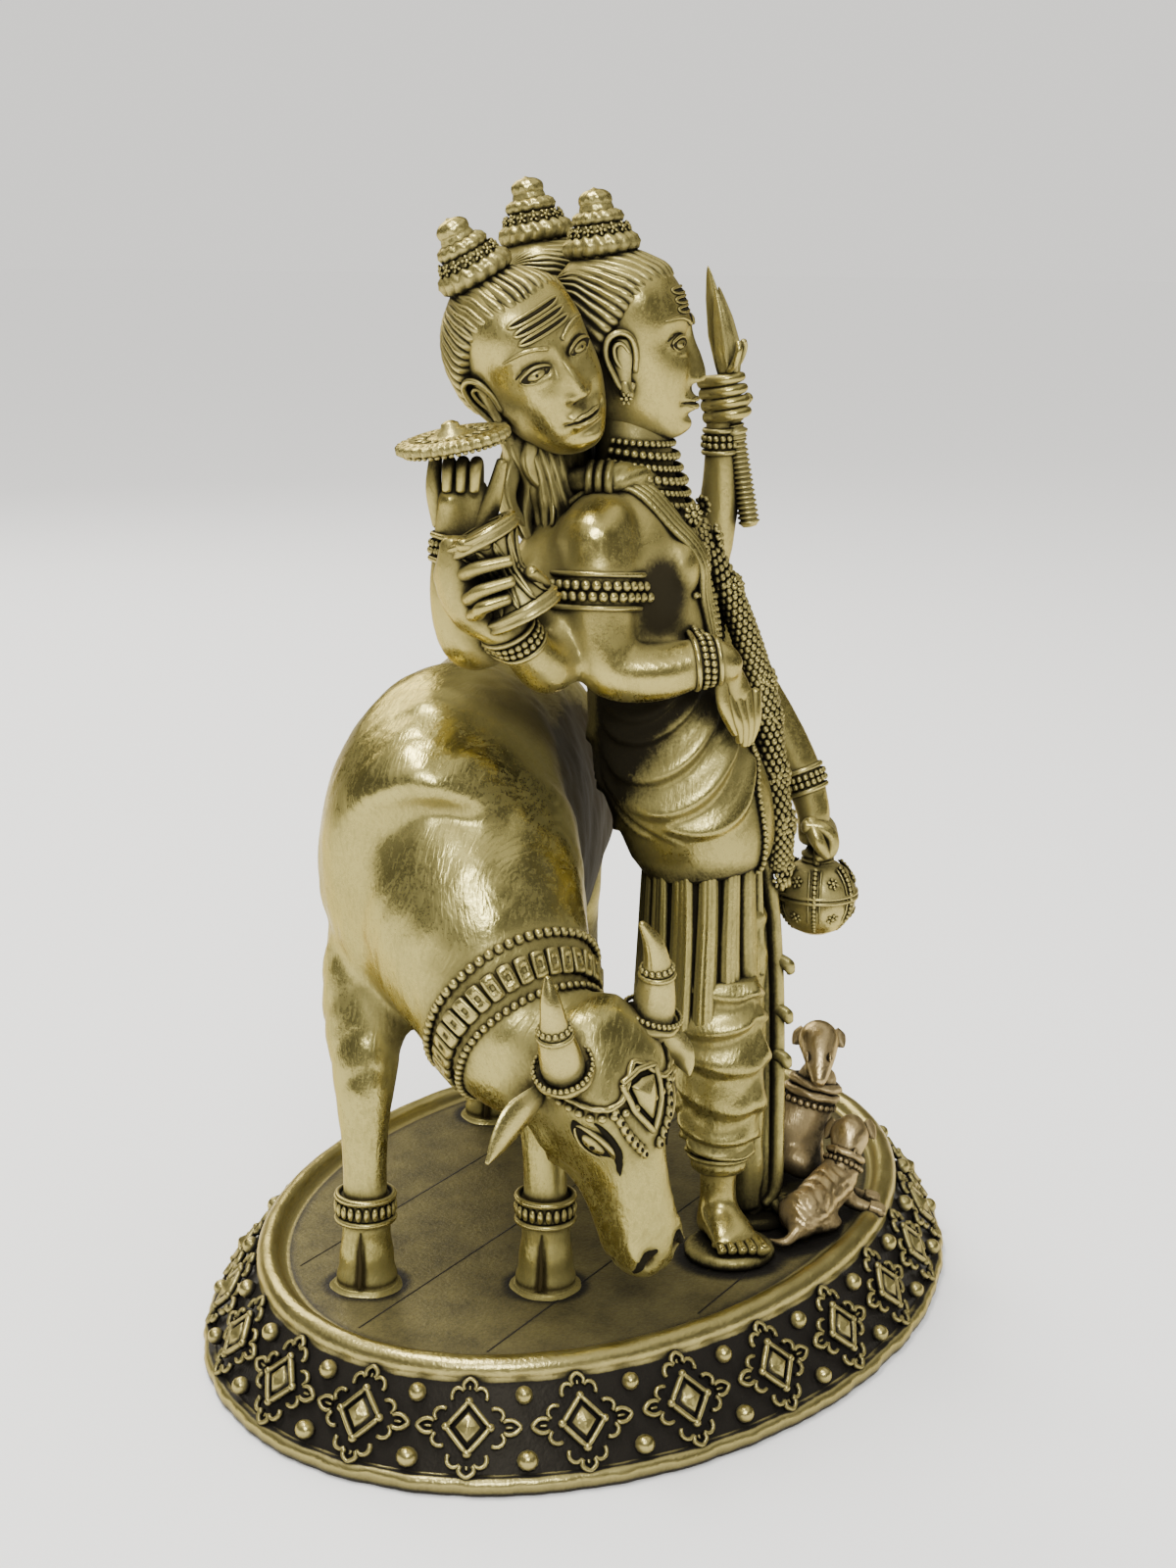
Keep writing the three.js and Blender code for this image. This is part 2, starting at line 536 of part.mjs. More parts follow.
function tridentArm() {
  const path = [
    [-1.4, -2.4, 72.6, 3.2, 3.2], [1.8, -3.4, 69.4, 2.8, 3], [3.6, -5.4, 65.6, 2.5, 2.6],
    [4, -8.4, 65.6, 2.2, 2.2],
    [3.4, -10.4, 72.6, 1.8, 1.8], [2.9, -10.6, 81.4, 1.6, 1.3],
  ];
  const foot = vec([3.1, -13, 71.2]);
  const rise = vec([2.4, -8.9, 93.4]).sub(foot);
  // A point up the shaft by t, and out to one side of it
  const onShaft = (t, out = 0) => {
    const aside = vec([out * 0.85, -Math.abs(out) * 0.35, 0]);
    return foot.clone().addScaledVector(rise, t).add(aside).toArray();
  };
  const shaft = [[...onShaft(0), 0.8, 0.8], [...onShaft(0.22), 1.1, 1.1], [...onShaft(0.6), 0.9, 0.9]];
  const blade = [[...onShaft(0.52), 0.6, 0.6], [...onShaft(0.72), 1.3, 0.6], [...onShaft(1), 0.2, 0.2]];
  const sideBlade = (s) => [
    [...onShaft(0.53), 0.6, 0.6], [...onShaft(0.64, s * 2.2), 0.7, 1],
    [...onShaft(0.92, s * 2), 0.2, 0.2],
  ];
  return [
    limb(path, { rings: 6 }),
    limb(shaft, { sides: 5, relief: (_, t) => 1 + 0.12 * wave(t * 2) }),
    limb(blade, { rings: 3, sides: 4, across: Y }),
    limb(sideBlade(-1), { rings: 3, sides: 4 }),
    limb(sideBlade(1), { rings: 3, sides: 4 }),
    beadBand([3.1, -10.7, 78.6], Z, 1.8),
    ...fingers([3, -11, 82], [1.6, -12.4, 82.6], [0, 0.2, 1.3], [4.2, -12.2, 83], 0.9, 1),
  ];
}

function potArm() {
  const path = [
    [-0.8, -3, 71.6, 3.2, 3.2], [2, -4.6, 67.6, 2.8, 3], [3.4, -8.6, 61.4, 2.5, 2.6],
    [3.6, -13.4, 56.4, 2.3, 2.4],
    [2.8, -18, 49.6, 1.9, 1.9], [2.2, -19.8, 44.6, 1.9, 1.5],
  ];
  const pot = [[0, -3.7], [2.4, -3], [3.6, 0], [2.4, 2.9], [1.4, 3.7], [0, 4.9]];
  return [
    limb(path, { rings: 6 }),
    turned(pot, [2.2, -20.1, 37.8], Z, 8),
    beadBand([2.6, -18.5, 48.4], new THREE.Vector3(-0.1, -0.4, -1), 2),
    ...fingers([2.2, -20, 44.6], [2.2, -21, 41.4], [1, 0, 0], [0.4, -19.6, 42.2], 0.9, 1),
  ];
}

function conchArm() {
  const path = [
    [-2, 0.6, 71.4, 3, 3], [1.4, 2, 67.4, 2.7, 2.8], [4.6, 2.6, 63.6, 2.6, 2.5],
    [6.4, 2.2, 64.6, 2.4, 2.3],
    [6.8, 1, 70, 1.7, 1.7], [6.8, 0.4, 74, 1.9, 1.4],
  ];
  const conch = [[6.4, -0.8, 72.6, 0.5, 0.5], [6.8, 0, 75.6, 2.1, 2.1], [6.8, 0.8, 80.4, 0.3, 0.3]];
  return [
    limb(path),
    limb(conch, { rings: 3 }),
  ];
}

function garland() {
  const front = [
    [-7.2, -9.4, 72, 2, 1], [-6.2, -12.2, 66.5, 1.8, 1.1], [-5.2, -14.2, 61, 1.8, 1.2],
    [-4.6, -15.5, 56, 1.9, 1.2],
    [-4.4, -16.2, 50, 1.9, 1.3], [-4.4, -16.9, 45, 2, 1.2], [-4.4, -16.8, 41.8, 1.8, 1],
  ];
  return limb(front, { rings: 9, sides: 4, relief: (_, t) => 1 + 0.1 * wave(t * 4) });
}

function deity() {
  return fused([
    ...torso(), ...skirtAndLegs(), ...frontArm(), ...drumArm(), ...discArm(),
    ...tridentArm(), ...potArm(), ...conchArm(), garland(), ...heads(),
  ]);
}

// The two dogs at the deity's left foot

function seatedDog() {
  const shaggy = (turn, t) => 1 + 0.05 * wave(turn * 3 + t * 3);
  const body = [
    [7.2, -15.2, 10.8, 2.4, 1.9], [5, -16.4, 12, 3, 3.1], [2.4, -18, 13, 2.8, 3.6],
    [3.8, -20, 16.6, 2.1, 2.4],
    [4.6, -21, 19.6, 1.9, 1.9],
  ];
  const head = [[5.4, -20.6, 21.6, 1.6, 1.6], [4.4, -20.7, 22.2, 2, 1.9], [1.6, -20.9, 20.2, 0.8, 0.7]];
  const hindLeg = [[6.4, -14.4, 11, 1.7, 1.7], [7, -16.8, 9.9, 1.5, 1.3], [7.6, -19.4, STAND + 0.9, 1, 0.8]];
  const forelegs = [[3.2, 2], [4.8, 5.2]].map(([top, foot]) => {
    const path = [[top, -19.6, 15, 1.4, 1.6], [foot, -20.6, 11.4, 1, 1], [foot, -21, STAND + 0.7, 1.3, 0.9]];
    return limb(path, { rings: 3, sides: 5 });
  });
  const ears = [-1, 1].map((s) => {
    const path = [[4.8, -20.6 + s * 0.9, 22.4, 0.7, 0.8], [5, -20.6 + s * 1.7, 24.4, 0.3, 0.4]];
    return limb(path, { rings: 2, sides: 4 });
  });
  return fused([
    limb(body, { rings: 7, sides: 8, relief: shaggy }),
    limb(head, { rings: 3, sides: 6 }),
    beadBand([4.3, -20.8, 18.5], new THREE.Vector3(0.2, -0.25, 1), 2.1),
    limb(hindLeg, { rings: 3 }),
    ...forelegs, ...ears,
  ]);
}

function lyingDog() {
  const shaggy = (turn, t) => 1 + 0.05 * wave(turn * 3 + t * 2);
  const body = [
    [-9.4, -20.2, 10, 1.3, 1.2], [-7.4, -20.8, 10.7, 1.9, 1.9], [-4.4, -21.6, 10.9, 2, 2.1],
    [-1.8, -22.8, 11.6, 1.9, 2],
    [0.2, -23.6, 12.8, 1.6, 1.6],
  ];
  const head = [[1.2, -24.4, 15.4, 1.3, 1.3], [0.6, -23.9, 14.6, 1.8, 1.7], [-1.6, -23.4, 12.9, 0.9, 0.8]];
  const ears = [-1, 1].map((s) => {
    const path = [[1.2, -24 + s * 1.2, 15.2, 0.6, 0.6], [1.2, -24 + s * 1.9, 14, 0.4, 0.4]];
    return limb(path, { rings: 2, sides: 4 });
  });
  return fused([
    limb(body, { rings: 6, sides: 7, across: Z, relief: shaggy }),
    limb(head, { rings: 4, sides: 6 }),
    limb([[-1.6, -22.4, 10.6, 1, 1], [-0.2, -23.6, STAND + 0.8, 0.9, 0.8]], { rings: 2, sides: 5 }),
    ...ears,
  ]);
}

// The whole figure

const figures = new THREE.Group();
figures.rotation.z = GROUP_TURN;
figures.add(
  meshOf("cow", cow(), BRASS),
  meshOf("deity", deity(), BRASS),
  meshOf("seated_dog", seatedDog(), FUR_BRASS),
  meshOf("lying_dog", lyingDog(), FUR_BRASS),
);

const statue = new THREE.Group();
statue.add(meshOf("base", ovalBase(), DARK_BRASS), figures);

export default statue;
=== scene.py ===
# A small cast-brass shrine figure: a three-headed deity with a cow and two dogs on an oval base.
# Shapes are worked out in millimetres and put into the meshes in metres.
import json
import math
import bpy
import numpy as np
from mathutils import Matrix, Vector
from mathutils.bvhtree import BVHTree

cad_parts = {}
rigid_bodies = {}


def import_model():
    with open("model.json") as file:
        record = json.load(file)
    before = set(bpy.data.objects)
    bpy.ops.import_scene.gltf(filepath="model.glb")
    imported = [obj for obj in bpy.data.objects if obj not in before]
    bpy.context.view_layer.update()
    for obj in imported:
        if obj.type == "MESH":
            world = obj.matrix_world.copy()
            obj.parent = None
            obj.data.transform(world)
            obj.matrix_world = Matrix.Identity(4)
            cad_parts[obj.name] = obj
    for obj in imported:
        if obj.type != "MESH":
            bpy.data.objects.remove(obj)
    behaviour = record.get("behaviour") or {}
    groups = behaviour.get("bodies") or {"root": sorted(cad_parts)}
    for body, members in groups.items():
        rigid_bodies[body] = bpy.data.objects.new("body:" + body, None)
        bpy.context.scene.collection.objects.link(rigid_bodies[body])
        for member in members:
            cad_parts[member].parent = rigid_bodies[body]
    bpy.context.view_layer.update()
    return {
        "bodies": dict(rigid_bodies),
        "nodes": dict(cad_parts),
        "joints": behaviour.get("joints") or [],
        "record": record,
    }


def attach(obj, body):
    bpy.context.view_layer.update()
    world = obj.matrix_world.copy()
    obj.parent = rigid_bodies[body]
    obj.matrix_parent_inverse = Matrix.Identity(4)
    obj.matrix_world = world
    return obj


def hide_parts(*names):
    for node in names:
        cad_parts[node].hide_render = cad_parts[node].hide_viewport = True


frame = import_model()
mm = 0.001
tau = 2 * math.pi


def vec(*values):
    # numbers as a point or direction
    return np.array(values, float)


def unit(v):
    # the same direction with a length of one
    return v / np.maximum(np.linalg.norm(v, axis=-1, keepdims=True), 1e-9)


def smooth(x, low, high):
    # 0 below low, 1 above high, and 3x² - 2x³ between them
    f = np.clip((x - low) / (high - low), 0, 1)
    return f * f * (3 - 2 * f)


def bump(x, middle, width):
    # a rounded hill one high at the middle: exp(-((x - middle) / width)²)
    return np.exp(-((x - middle) / width) ** 2)


def along(stations, t):
    # each number of the stations at t, on a Catmull-Rom cubic through them all
    s = np.asarray(stations, float)
    place = np.clip(np.atleast_1d(t), 0, 1) * (len(s) - 1)
    i = np.minimum(place.astype(int), len(s) - 2)
    f = (place - i)[:, None]
    a, b, c, d = (s[np.clip(i + k, 0, len(s) - 1)] for k in (-1, 0, 1, 2))
    return b + 0.5 * f * (c - a + f * (2 * a - 5 * b + 4 * c - d + f * (3 * (b - c) + d - a)))


def gridFaces(rows, columns):
    # two triangles for each cell of a grid whose columns run round and close on themselves
    index = np.arange(rows * columns).reshape(rows, columns)
    ahead = np.roll(index, -1, 1)
    a, b, c, d = index[:-1], ahead[:-1], ahead[1:], index[1:]
    return np.concatenate([np.stack([a, b, c], -1).reshape(-1, 3), np.stack([a, c, d], -1).reshape(-1, 3)])


def closedSkin(rings):
    # rings of points from one end to the other, closed at each end by a fan to the ring's middle
    rows, columns = rings.shape[:2]
    points = np.concatenate([rings.reshape(-1, 3), rings[0].mean(0)[None], rings[-1].mean(0)[None]])
    first = np.arange(columns)
    last = first + (rows - 1) * columns
    start, end = rows * columns, rows * columns + 1
    fans = [np.stack([np.full(columns, start), np.roll(first, -1), first], -1),
            np.stack([np.full(columns, end), last, np.roll(last, -1)], -1)]
    return points, np.concatenate([gridFaces(rows, columns), *fans])


def loft(stations, rings=24, sides=24, across=(1, 0, 0), relief=None, dome=0.6):
    # A limb: point = centre(v) + width·cos(2πu)·side + depth·sin(2πu)·front, swelled by relief(u, v),
    # with side square to the path and rounded ends that follow a quarter circle
    body = np.linspace(0, 1, rings)
    cap = np.sin(np.linspace(0.12, 1, 5)[:-1] * math.pi / 2)
    v = np.concatenate([np.zeros(4), body, np.ones(4)])
    shrink = np.concatenate([cap, np.ones(rings), cap[::-1]])
    push = np.concatenate([-np.sqrt(1 - cap ** 2), np.zeros(rings), np.sqrt(1 - cap[::-1] ** 2)])
    s = along(stations, v)
    tangent = unit(along(stations, v + 0.004)[:, :3] - along(stations, v - 0.004)[:, :3])
    side = unit(np.asarray(across, float) - tangent * (tangent @ np.asarray(across, float))[:, None])
    front = np.cross(tangent, side)
    u = np.arange(sides) / sides
    angle = tau * u[None, :]
    swell = (np.ones((len(v), sides)) if relief is None
             else relief(u[None, :] + 0 * v[:, None], v[:, None] + 0 * u[None, :]))
    width, depth = (s[:, 3] * shrink)[:, None], (s[:, 4] * shrink)[:, None]
    centre = s[:, :3] + tangent * (push * dome * np.minimum(s[:, 3], s[:, 4]))[:, None]
    sideways = (width * swell * np.cos(angle))[..., None] * side[:, None]
    forwards = (depth * swell * np.sin(angle))[..., None] * front[:, None]
    return closedSkin(centre[:, None] + sideways + forwards)


def turned(profile, sides=32, centre=(0, 0, 0), axis=(0, 0, 1), relief=None):
    # A turned shape: profile points (radius, height) carried round the axis
    p = np.asarray(profile, float)
    u = np.arange(sides) / sides
    radius = p[:, :1] * (1 if relief is None else relief(u[None, :], p[:, 1:]))
    ring = np.stack([radius * np.cos(tau * u), radius * np.sin(tau * u), p[:, 1:] + 0 * u], -1)
    return placed(closedSkin(ring), centre, frameAlong(axis))


def frameAlong(axis, hint=(1, 0, 0)):
    # columns: side, front and the axis itself
    z = unit(np.asarray(axis, float))
    hint = np.asarray(hint, float)
    if abs(z @ unit(hint)) > 0.95:
        hint = vec(0, 1, 0)
    x = unit(hint - z * (z @ hint))
    return np.stack([x, np.cross(z, x), z], -1)


def placed(part, centre, turn=None, scale=1.0):
    # a part scaled, turned and moved: centre + turn · (scale · point)
    points, faces = part
    points = points * scale
    if turn is not None:
        points = points @ np.asarray(turn, float).T
    return points + np.asarray(centre, float), faces


def joined(parts):
    # several (points, faces) as one
    parts = [p for p in parts if len(p[0])]
    offsets = np.cumsum([0] + [len(p[0]) for p in parts[:-1]])
    return np.concatenate([p[0] for p in parts]), np.concatenate([p[1] + o for p, o in zip(parts, offsets)])


def shaded(pairs):
    # several (part, darkness) as one part and one darkness for each of its points
    return (joined([part for part, dark in pairs]),
            np.concatenate([np.full(len(part[0]), dark) for part, dark in pairs]))


def scattered(template, centres, turns=None, scales=1.0):
    # the template at each centre: centre + turn · (scale · point)
    points, faces = template
    centres = np.asarray(centres, float).reshape(-1, 3)
    n = len(centres)
    scales = np.broadcast_to(np.asarray(scales, float), (n,))[:, None, None]
    local = points[None] * scales
    if turns is not None:
        local = np.einsum("nij,nkj->nki", np.broadcast_to(turns, (n, 3, 3)),
                          np.broadcast_to(local, (n, len(points), 3)))
    everywhere = local + centres[:, None]
    shift = (np.arange(n) * len(points))[:, None, None]
    return everywhere.reshape(-1, 3), (faces[None] + shift).reshape(-1, 3)


def ball(sides=8, rings=6):
    # a small sphere from rings of latitude
    lat = np.linspace(-1, 1, rings + 2)[1:-1] * math.pi / 2
    u = np.arange(sides) / sides * tau
    ring = np.stack([np.cos(lat)[:, None] * np.cos(u), np.cos(lat)[:, None] * np.sin(u),
                     np.sin(lat)[:, None] + 0 * u], -1)
    points, faces = closedSkin(ring)
    points[-2:] = [[0, 0, -1], [0, 0, 1]]
    return points, faces


def pebble(radii, sides, rings):
    # a ball drawn out to three radii
    points, faces = ball(sides, rings)
    return points * radii, faces


def circle(radius, height, count):
    # places round a level circle, starting on the +X side
    a = np.arange(count) / count * tau
    return np.stack([radius * np.cos(a), radius * np.sin(a), 0 * a + height], -1)


def tube(path, radius, sides=6, hint=(0, 0, 1), closed=False, flat=1.0):
    # A round rod along a line of points: centre + radius·(cos·side + flat·sin·up)
    path = np.asarray(path, float)
    if closed:
        tangent = unit(np.roll(path, -1, 0) - np.roll(path, 1, 0))
    else:
        tangent = unit(np.gradient(path, axis=0))
    hint = np.broadcast_to(np.asarray(hint, float), path.shape)
    side = unit(np.cross(tangent, hint))
    up = np.cross(side, tangent)
    u = np.arange(sides) / sides * tau
    radius = np.broadcast_to(np.asarray(radius, float), (len(path),))[:, None, None]
    rings = (path[:, None] + radius * (np.cos(u)[None, :, None] * side[:, None]
                                       - flat * np.sin(u)[None, :, None] * up[:, None]))
    if not closed:
        return closedSkin(rings)
    count = len(path) * sides
    faces = gridFaces(len(path) + 1, sides) % count
    return rings.reshape(-1, 3), faces


def remeshed(part, voxel, smoothing=6):
    # one skin round everything: voxel remesh, then each point drawn to the mean of its neighbours
    points, faces = part
    mesh = meshData("rough", points, faces)
    rough = bpy.data.objects.new("rough", mesh)
    bpy.context.scene.collection.objects.link(rough)
    modifier = rough.modifiers.new("voxels", "REMESH")
    modifier.mode, modifier.voxel_size = "VOXEL", voxel
    evaluated = rough.evaluated_get(bpy.context.evaluated_depsgraph_get()).to_mesh()
    count = len(evaluated.vertices)
    out = np.empty(count * 3)
    evaluated.vertices.foreach_get("co", out)
    out = out.reshape(-1, 3)
    evaluated.calc_loop_triangles()
    tris = np.empty(len(evaluated.loop_triangles) * 3, np.int64)
    evaluated.loop_triangles.foreach_get("vertices", tris)
    tris = tris.reshape(-1, 3)
    rough.to_mesh_clear()
    bpy.data.objects.remove(rough)
    bpy.data.meshes.remove(mesh)
    return smoothed((out, tris), smoothing)


def smoothed(part, times):
    # each point moves half way to the mean of the points it shares an edge with
    points, faces = part
    edges = np.concatenate([faces[:, [0, 1]], faces[:, [1, 2]], faces[:, [2, 0]]])
    count = np.bincount(edges[:, 0], minlength=len(points)) + np.bincount(edges[:, 1], minlength=len(points))
    points = points.copy()
    for _ in range(times):
        total = np.stack([np.bincount(edges[:, 0], points[edges[:, 1], k], len(points))
                          + np.bincount(edges[:, 1], points[edges[:, 0], k], len(points)) for k in range(3)],
                          -1)
        points += 0.5 * (total / np.maximum(count, 1)[:, None] - points)
    return points, faces


def pointNormals(part):
    # the mean of the faces' normals at each point, weighted by area
    points, faces = part
    a, b, c = (points[faces[:, k]] for k in range(3))
    normal = np.cross(b - a, c - a)
    total = np.stack([sum(np.bincount(faces[:, j], normal[:, k], len(points)) for j in range(3))
                      for k in range(3)], -1)
    return unit(total)


def ripple(points, scale, seed=0):
    # an uneven surface of size 1: four waves in fixed odd directions, multiplied in pairs
    rng = np.random.default_rng(seed)
    waves = rng.normal(size=(4, 3)) / scale
    phase = rng.uniform(0, tau, 4)
    w = np.sin(points @ waves.T + phase)
    return 0.5 * (w[:, 0] * w[:, 1] + w[:, 2] * w[:, 3])


def meshData(name, points, faces):
    # a mesh of triangles
    mesh = bpy.data.meshes.new(name)
    mesh.vertices.add(len(points))
    mesh.vertices.foreach_set("co", np.asarray(points, np.float32).ravel())
    mesh.loops.add(len(faces) * 3)
    mesh.loops.foreach_set("vertex_index", np.asarray(faces, np.int32).ravel())
    mesh.polygons.add(len(faces))
    mesh.polygons.foreach_set("loop_start", np.arange(0, len(faces) * 3, 3, dtype=np.int32))
    mesh.update(calc_edges=True)
    return mesh


# the figures stand turned on the base; the shapes are worked out square to the deity and turned at the end
groupTurn = math.radians(17)
groupMatrix = np.array([[math.cos(groupTurn), -math.sin(groupTurn), 0],
                        [math.sin(groupTurn), math.cos(groupTurn), 0], [0, 0, 1]])


def makePiece(name, part, node, material, turn=True, dark=None):
    # a casting in metres, turned with the figures, with the darkness that each of its points carries: patina,
    # and on some pieces painted shade
    points, faces = part
    if turn:
        points = points @ groupMatrix.T
    mesh = meshData(name, points * mm, faces)
    mesh.polygons.foreach_set("use_smooth", np.ones(len(faces), bool))
    if dark is not None:
        mesh.attributes.new("dark", "FLOAT", "POINT").data.foreach_set("value", np.asarray(dark, np.float32))
    mesh.materials.append(material)
    piece = bpy.data.objects.new(name, mesh)
    bpy.context.scene.collection.objects.link(piece)
    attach(piece, "root")
    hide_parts(node)
    print(name, len(faces), "triangles")
    return piece


def newGroup(name, inputs, outputs):
    # an effect with named sockets, shared by all finishes
    group = bpy.data.node_groups.new(name, "ShaderNodeTree")
    for label, kind, value in inputs:
        socket = group.interface.new_socket(label, in_out="INPUT", socket_type="NodeSocket" + kind)
        socket.default_value = value
    for label, kind in outputs:
        group.interface.new_socket(label, in_out="OUTPUT", socket_type="NodeSocket" + kind)
    return group, group.nodes.new("NodeGroupInput"), group.nodes.new("NodeGroupOutput")


def addNode(tree, kind, values=None, **settings):
    # one step of an effect, with fixed values and with the outputs of earlier steps that feed it
    node = tree.nodes.new("ShaderNode" + kind)
    for key, value in settings.items():
        setattr(node, key, value)
    for key, value in (values or {}).items():
        if isinstance(value, bpy.types.NodeSocket):
            tree.links.new(value, node.inputs[key])
        else:
            node.inputs[key].default_value = value
    return node


def patinaAndShadeGroup():
    # Bright where the metal is rubbed; dark with patina in small recesses (Shade); darker in deep hollows and
    # between parts, where the wide occlusion gives partly patina and partly painted shade; and dark where the
    # per-point marks say so, which hold patina in lines and grooves and painted shade where one figure shades
    # another; with blotches and fine specks between. The mask is the larger of the fine one and the deep one
    group, given, out = newGroup("antiquePatinaAndShade", [("Metal", "Color", (0.5, 0.4, 0.2, 1)),
                                                   ("Patina", "Color", (0.05, 0.04, 0.02, 1)),
                                                   ("Shade", "Float", 1.0), ("Hollow Patina And Shade", "Float", 1.0),
                                                   ("Patina And Painted Shade", "Float", 0.0), ("Mottle Size", "Float", 600.0),
                                                   ("Mottle", "Float", 0.3), ("Specks", "Float", 0.3),
                                                   ("Polish", "Float", 0.3), ("Dull", "Float", 0.74)],
        [("Color", "Color"), ("Roughness", "Float"), ("Metallic", "Float"), ("Mask", "Float")])
    link = group.links.new
    where = addNode(group, "TexCoord")
    blotch = addNode(group, "TexNoise",
                     {"Vector": where.outputs["Object"], "Scale": given.outputs["Mottle Size"], "Detail": 4.0,
                      "Roughness": 0.6})
    speck = addNode(group, "TexNoise",
                    {"Vector": where.outputs["Object"], "Scale": 4200.0, "Detail": 2.0, "Roughness": 0.7})
    uneven = addNode(group, "Math", {0: given.outputs["Shade"], 1: given.outputs["Patina And Painted Shade"]},
                     operation="SUBTRACT")
    for noise, amount in ((blotch, "Mottle"), (speck, "Specks")):
        centred = addNode(group, "Math", {0: noise.outputs["Fac"], 1: 0.5}, operation="SUBTRACT")
        uneven = addNode(group, "Math",
                         {0: centred.outputs[0], 1: given.outputs[amount], 2: uneven.outputs[0]},
                         operation="MULTIPLY_ADD")
    fine = addNode(group, "MapRange", {"Value": uneven.outputs[0], "From Min": 1.02, "From Max": 0.5},
                   clamp=True)
    # the wide occlusion as a mask: patina in deep hollows and painted shade between parts
    hollowPatinaAndShade = addNode(group, "MapRange",
                   {"Value": given.outputs["Hollow Patina And Shade"], "From Min": 0.68, "From Max": 0.28, "To Max": 0.97},
                   clamp=True)
    mask = addNode(group, "Math", {0: fine.outputs[0], 1: hollowPatinaAndShade.outputs[0]}, operation="MAXIMUM")
    colour = addNode(group, "Mix", {"Factor": mask.outputs[0], "A": given.outputs["Metal"],
                                    "B": given.outputs["Patina"]}, data_type="RGBA")
    rough = addNode(group, "MapRange",
                    {"Value": mask.outputs[0], "To Min": given.outputs["Polish"],
                     "To Max": given.outputs["Dull"], "From Min": 0.0, "From Max": 1.0})
    metallic = addNode(group, "MapRange", {"Value": mask.outputs[0], "To Min": 1.0, "To Max": 0.12})
    link(colour.outputs["Result"], out.inputs["Color"])
    link(rough.outputs[0], out.inputs["Roughness"])
    link(metallic.outputs[0], out.inputs["Metallic"])
    link(mask.outputs[0], out.inputs["Mask"])
    return group


def castGroup():
    # fine pits of the casting and short engraved strokes, as a height: 0 in a stroke or pit, 1 between
    group, given, out = newGroup("castSurface", [("Pit Size", "Float", 3000.0), ("Pits", "Float", 0.5),
                                                 ("Marks", "Float", 0.5)],
                                                 [("Height", "Float"), ("Stroke", "Float")])
    link = group.links.new
    where = addNode(group, "TexCoord")
    pits = addNode(group, "TexNoise",
                   {"Vector": where.outputs["Object"], "Scale": given.outputs["Pit Size"], "Detail": 3.0})
    warp = addNode(group, "TexNoise", {"Vector": where.outputs["Object"], "Scale": 130.0, "Detail": 1.0})
    bent = addNode(group, "VectorMath",
                   {0: warp.outputs["Color"], 1: (0.004, 0.004, 0.004), 2: where.outputs["Object"]},
                   operation="MULTIPLY_ADD")
    stretch = addNode(group, "Mapping",
                      {"Vector": bent.outputs["Vector"], "Rotation": (0.5, 0.35, 0.6),
                       "Scale": (700.0, 3600.0, 900.0)})
    marks = addNode(group, "TexNoise", {"Vector": stretch.outputs["Vector"], "Scale": 1.0, "Detail": 1.0})
    stroke = addNode(group, "MapRange", {"Value": marks.outputs["Fac"], "From Min": 0.36, "From Max": 0.5},
                     clamp=True)
    first = addNode(group, "Math", {0: pits.outputs["Fac"], 1: given.outputs["Pits"]}, operation="MULTIPLY")
    second = addNode(group, "Math", {0: stroke.outputs[0], 1: given.outputs["Marks"], 2: first.outputs[0]},
                     operation="MULTIPLY_ADD")
    link(second.outputs[0], out.inputs["Height"])
    link(stroke.outputs[0], out.inputs["Stroke"])
    return group


patina, castSurface = patinaAndShadeGroup(), castGroup()

# reach: how far the small occlusion looks for the patina in recesses; far: how far the wide occlusion looks,
# which darkens deep hollows with patina and paints shade between parts
brassLooks = {
    "polishedBrass": {"metal": (0.42, 0.352, 0.115, 1), "patina": (0.018, 0.015, 0.008, 1), "mottle": 0.34,
                      "mottleSize": 240.0, "specks": 0.2,
                      "polish": 0.23, "dull": 0.74, "pits": 0.3, "marks": 0.08, "bump": 0.16, "reach": 3.0,
                      "far": 10.0, "strokes": 0.03},
    "hideBrass": {"metal": (0.40, 0.346, 0.118, 1), "patina": (0.034, 0.026, 0.010, 1), "mottle": 0.34,
                  "mottleSize": 150.0, "specks": 0.22,
                  "polish": 0.24, "dull": 0.74, "pits": 0.3, "marks": 0.22, "bump": 0.2, "reach": 3.4,
                  "far": 13.0, "strokes": 0.05},
    "carvedBrass": {"metal": (0.45, 0.382, 0.135, 1), "patina": (0.010, 0.0085, 0.005, 1), "mottle": 0.26,
                    "mottleSize": 450.0, "specks": 0.2,
                    "polish": 0.25, "dull": 0.74, "pits": 0.4, "marks": 0.1, "bump": 0.14, "reach": 2.3,
                    "far": 10.0, "strokes": 0.0},
    "clothBrass": {"metal": (0.36, 0.308, 0.105, 1), "patina": (0.010, 0.0085, 0.005, 1), "mottle": 0.36,
                   "mottleSize": 280.0, "specks": 0.3,
                   "polish": 0.26, "dull": 0.74, "pits": 0.5, "marks": 0.16, "bump": 0.18, "reach": 3.6,
                   "far": 13.0, "strokes": 0.05},
    "baseBrass": {"metal": (0.42, 0.356, 0.130, 1), "patina": (0.014, 0.0125, 0.0105, 1), "mottle": 0.2,
                  "mottleSize": 280.0, "specks": 0.16,
                  "polish": 0.28, "dull": 0.4, "pits": 0.8, "marks": 0.05, "bump": 0.2, "reach": 1.6,
                  "far": 7.0, "strokes": 0.0},
    "furBrass": {"metal": (0.43, 0.325, 0.155, 1), "patina": (0.014, 0.011, 0.007, 1), "mottle": 0.42,
                 "mottleSize": 330.0, "specks": 0.3,
                 "polish": 0.28, "dull": 0.74, "pits": 0.6, "marks": 0.2, "bump": 0.18, "reach": 2.4,
                 "far": 9.0, "strokes": 0.08},
}


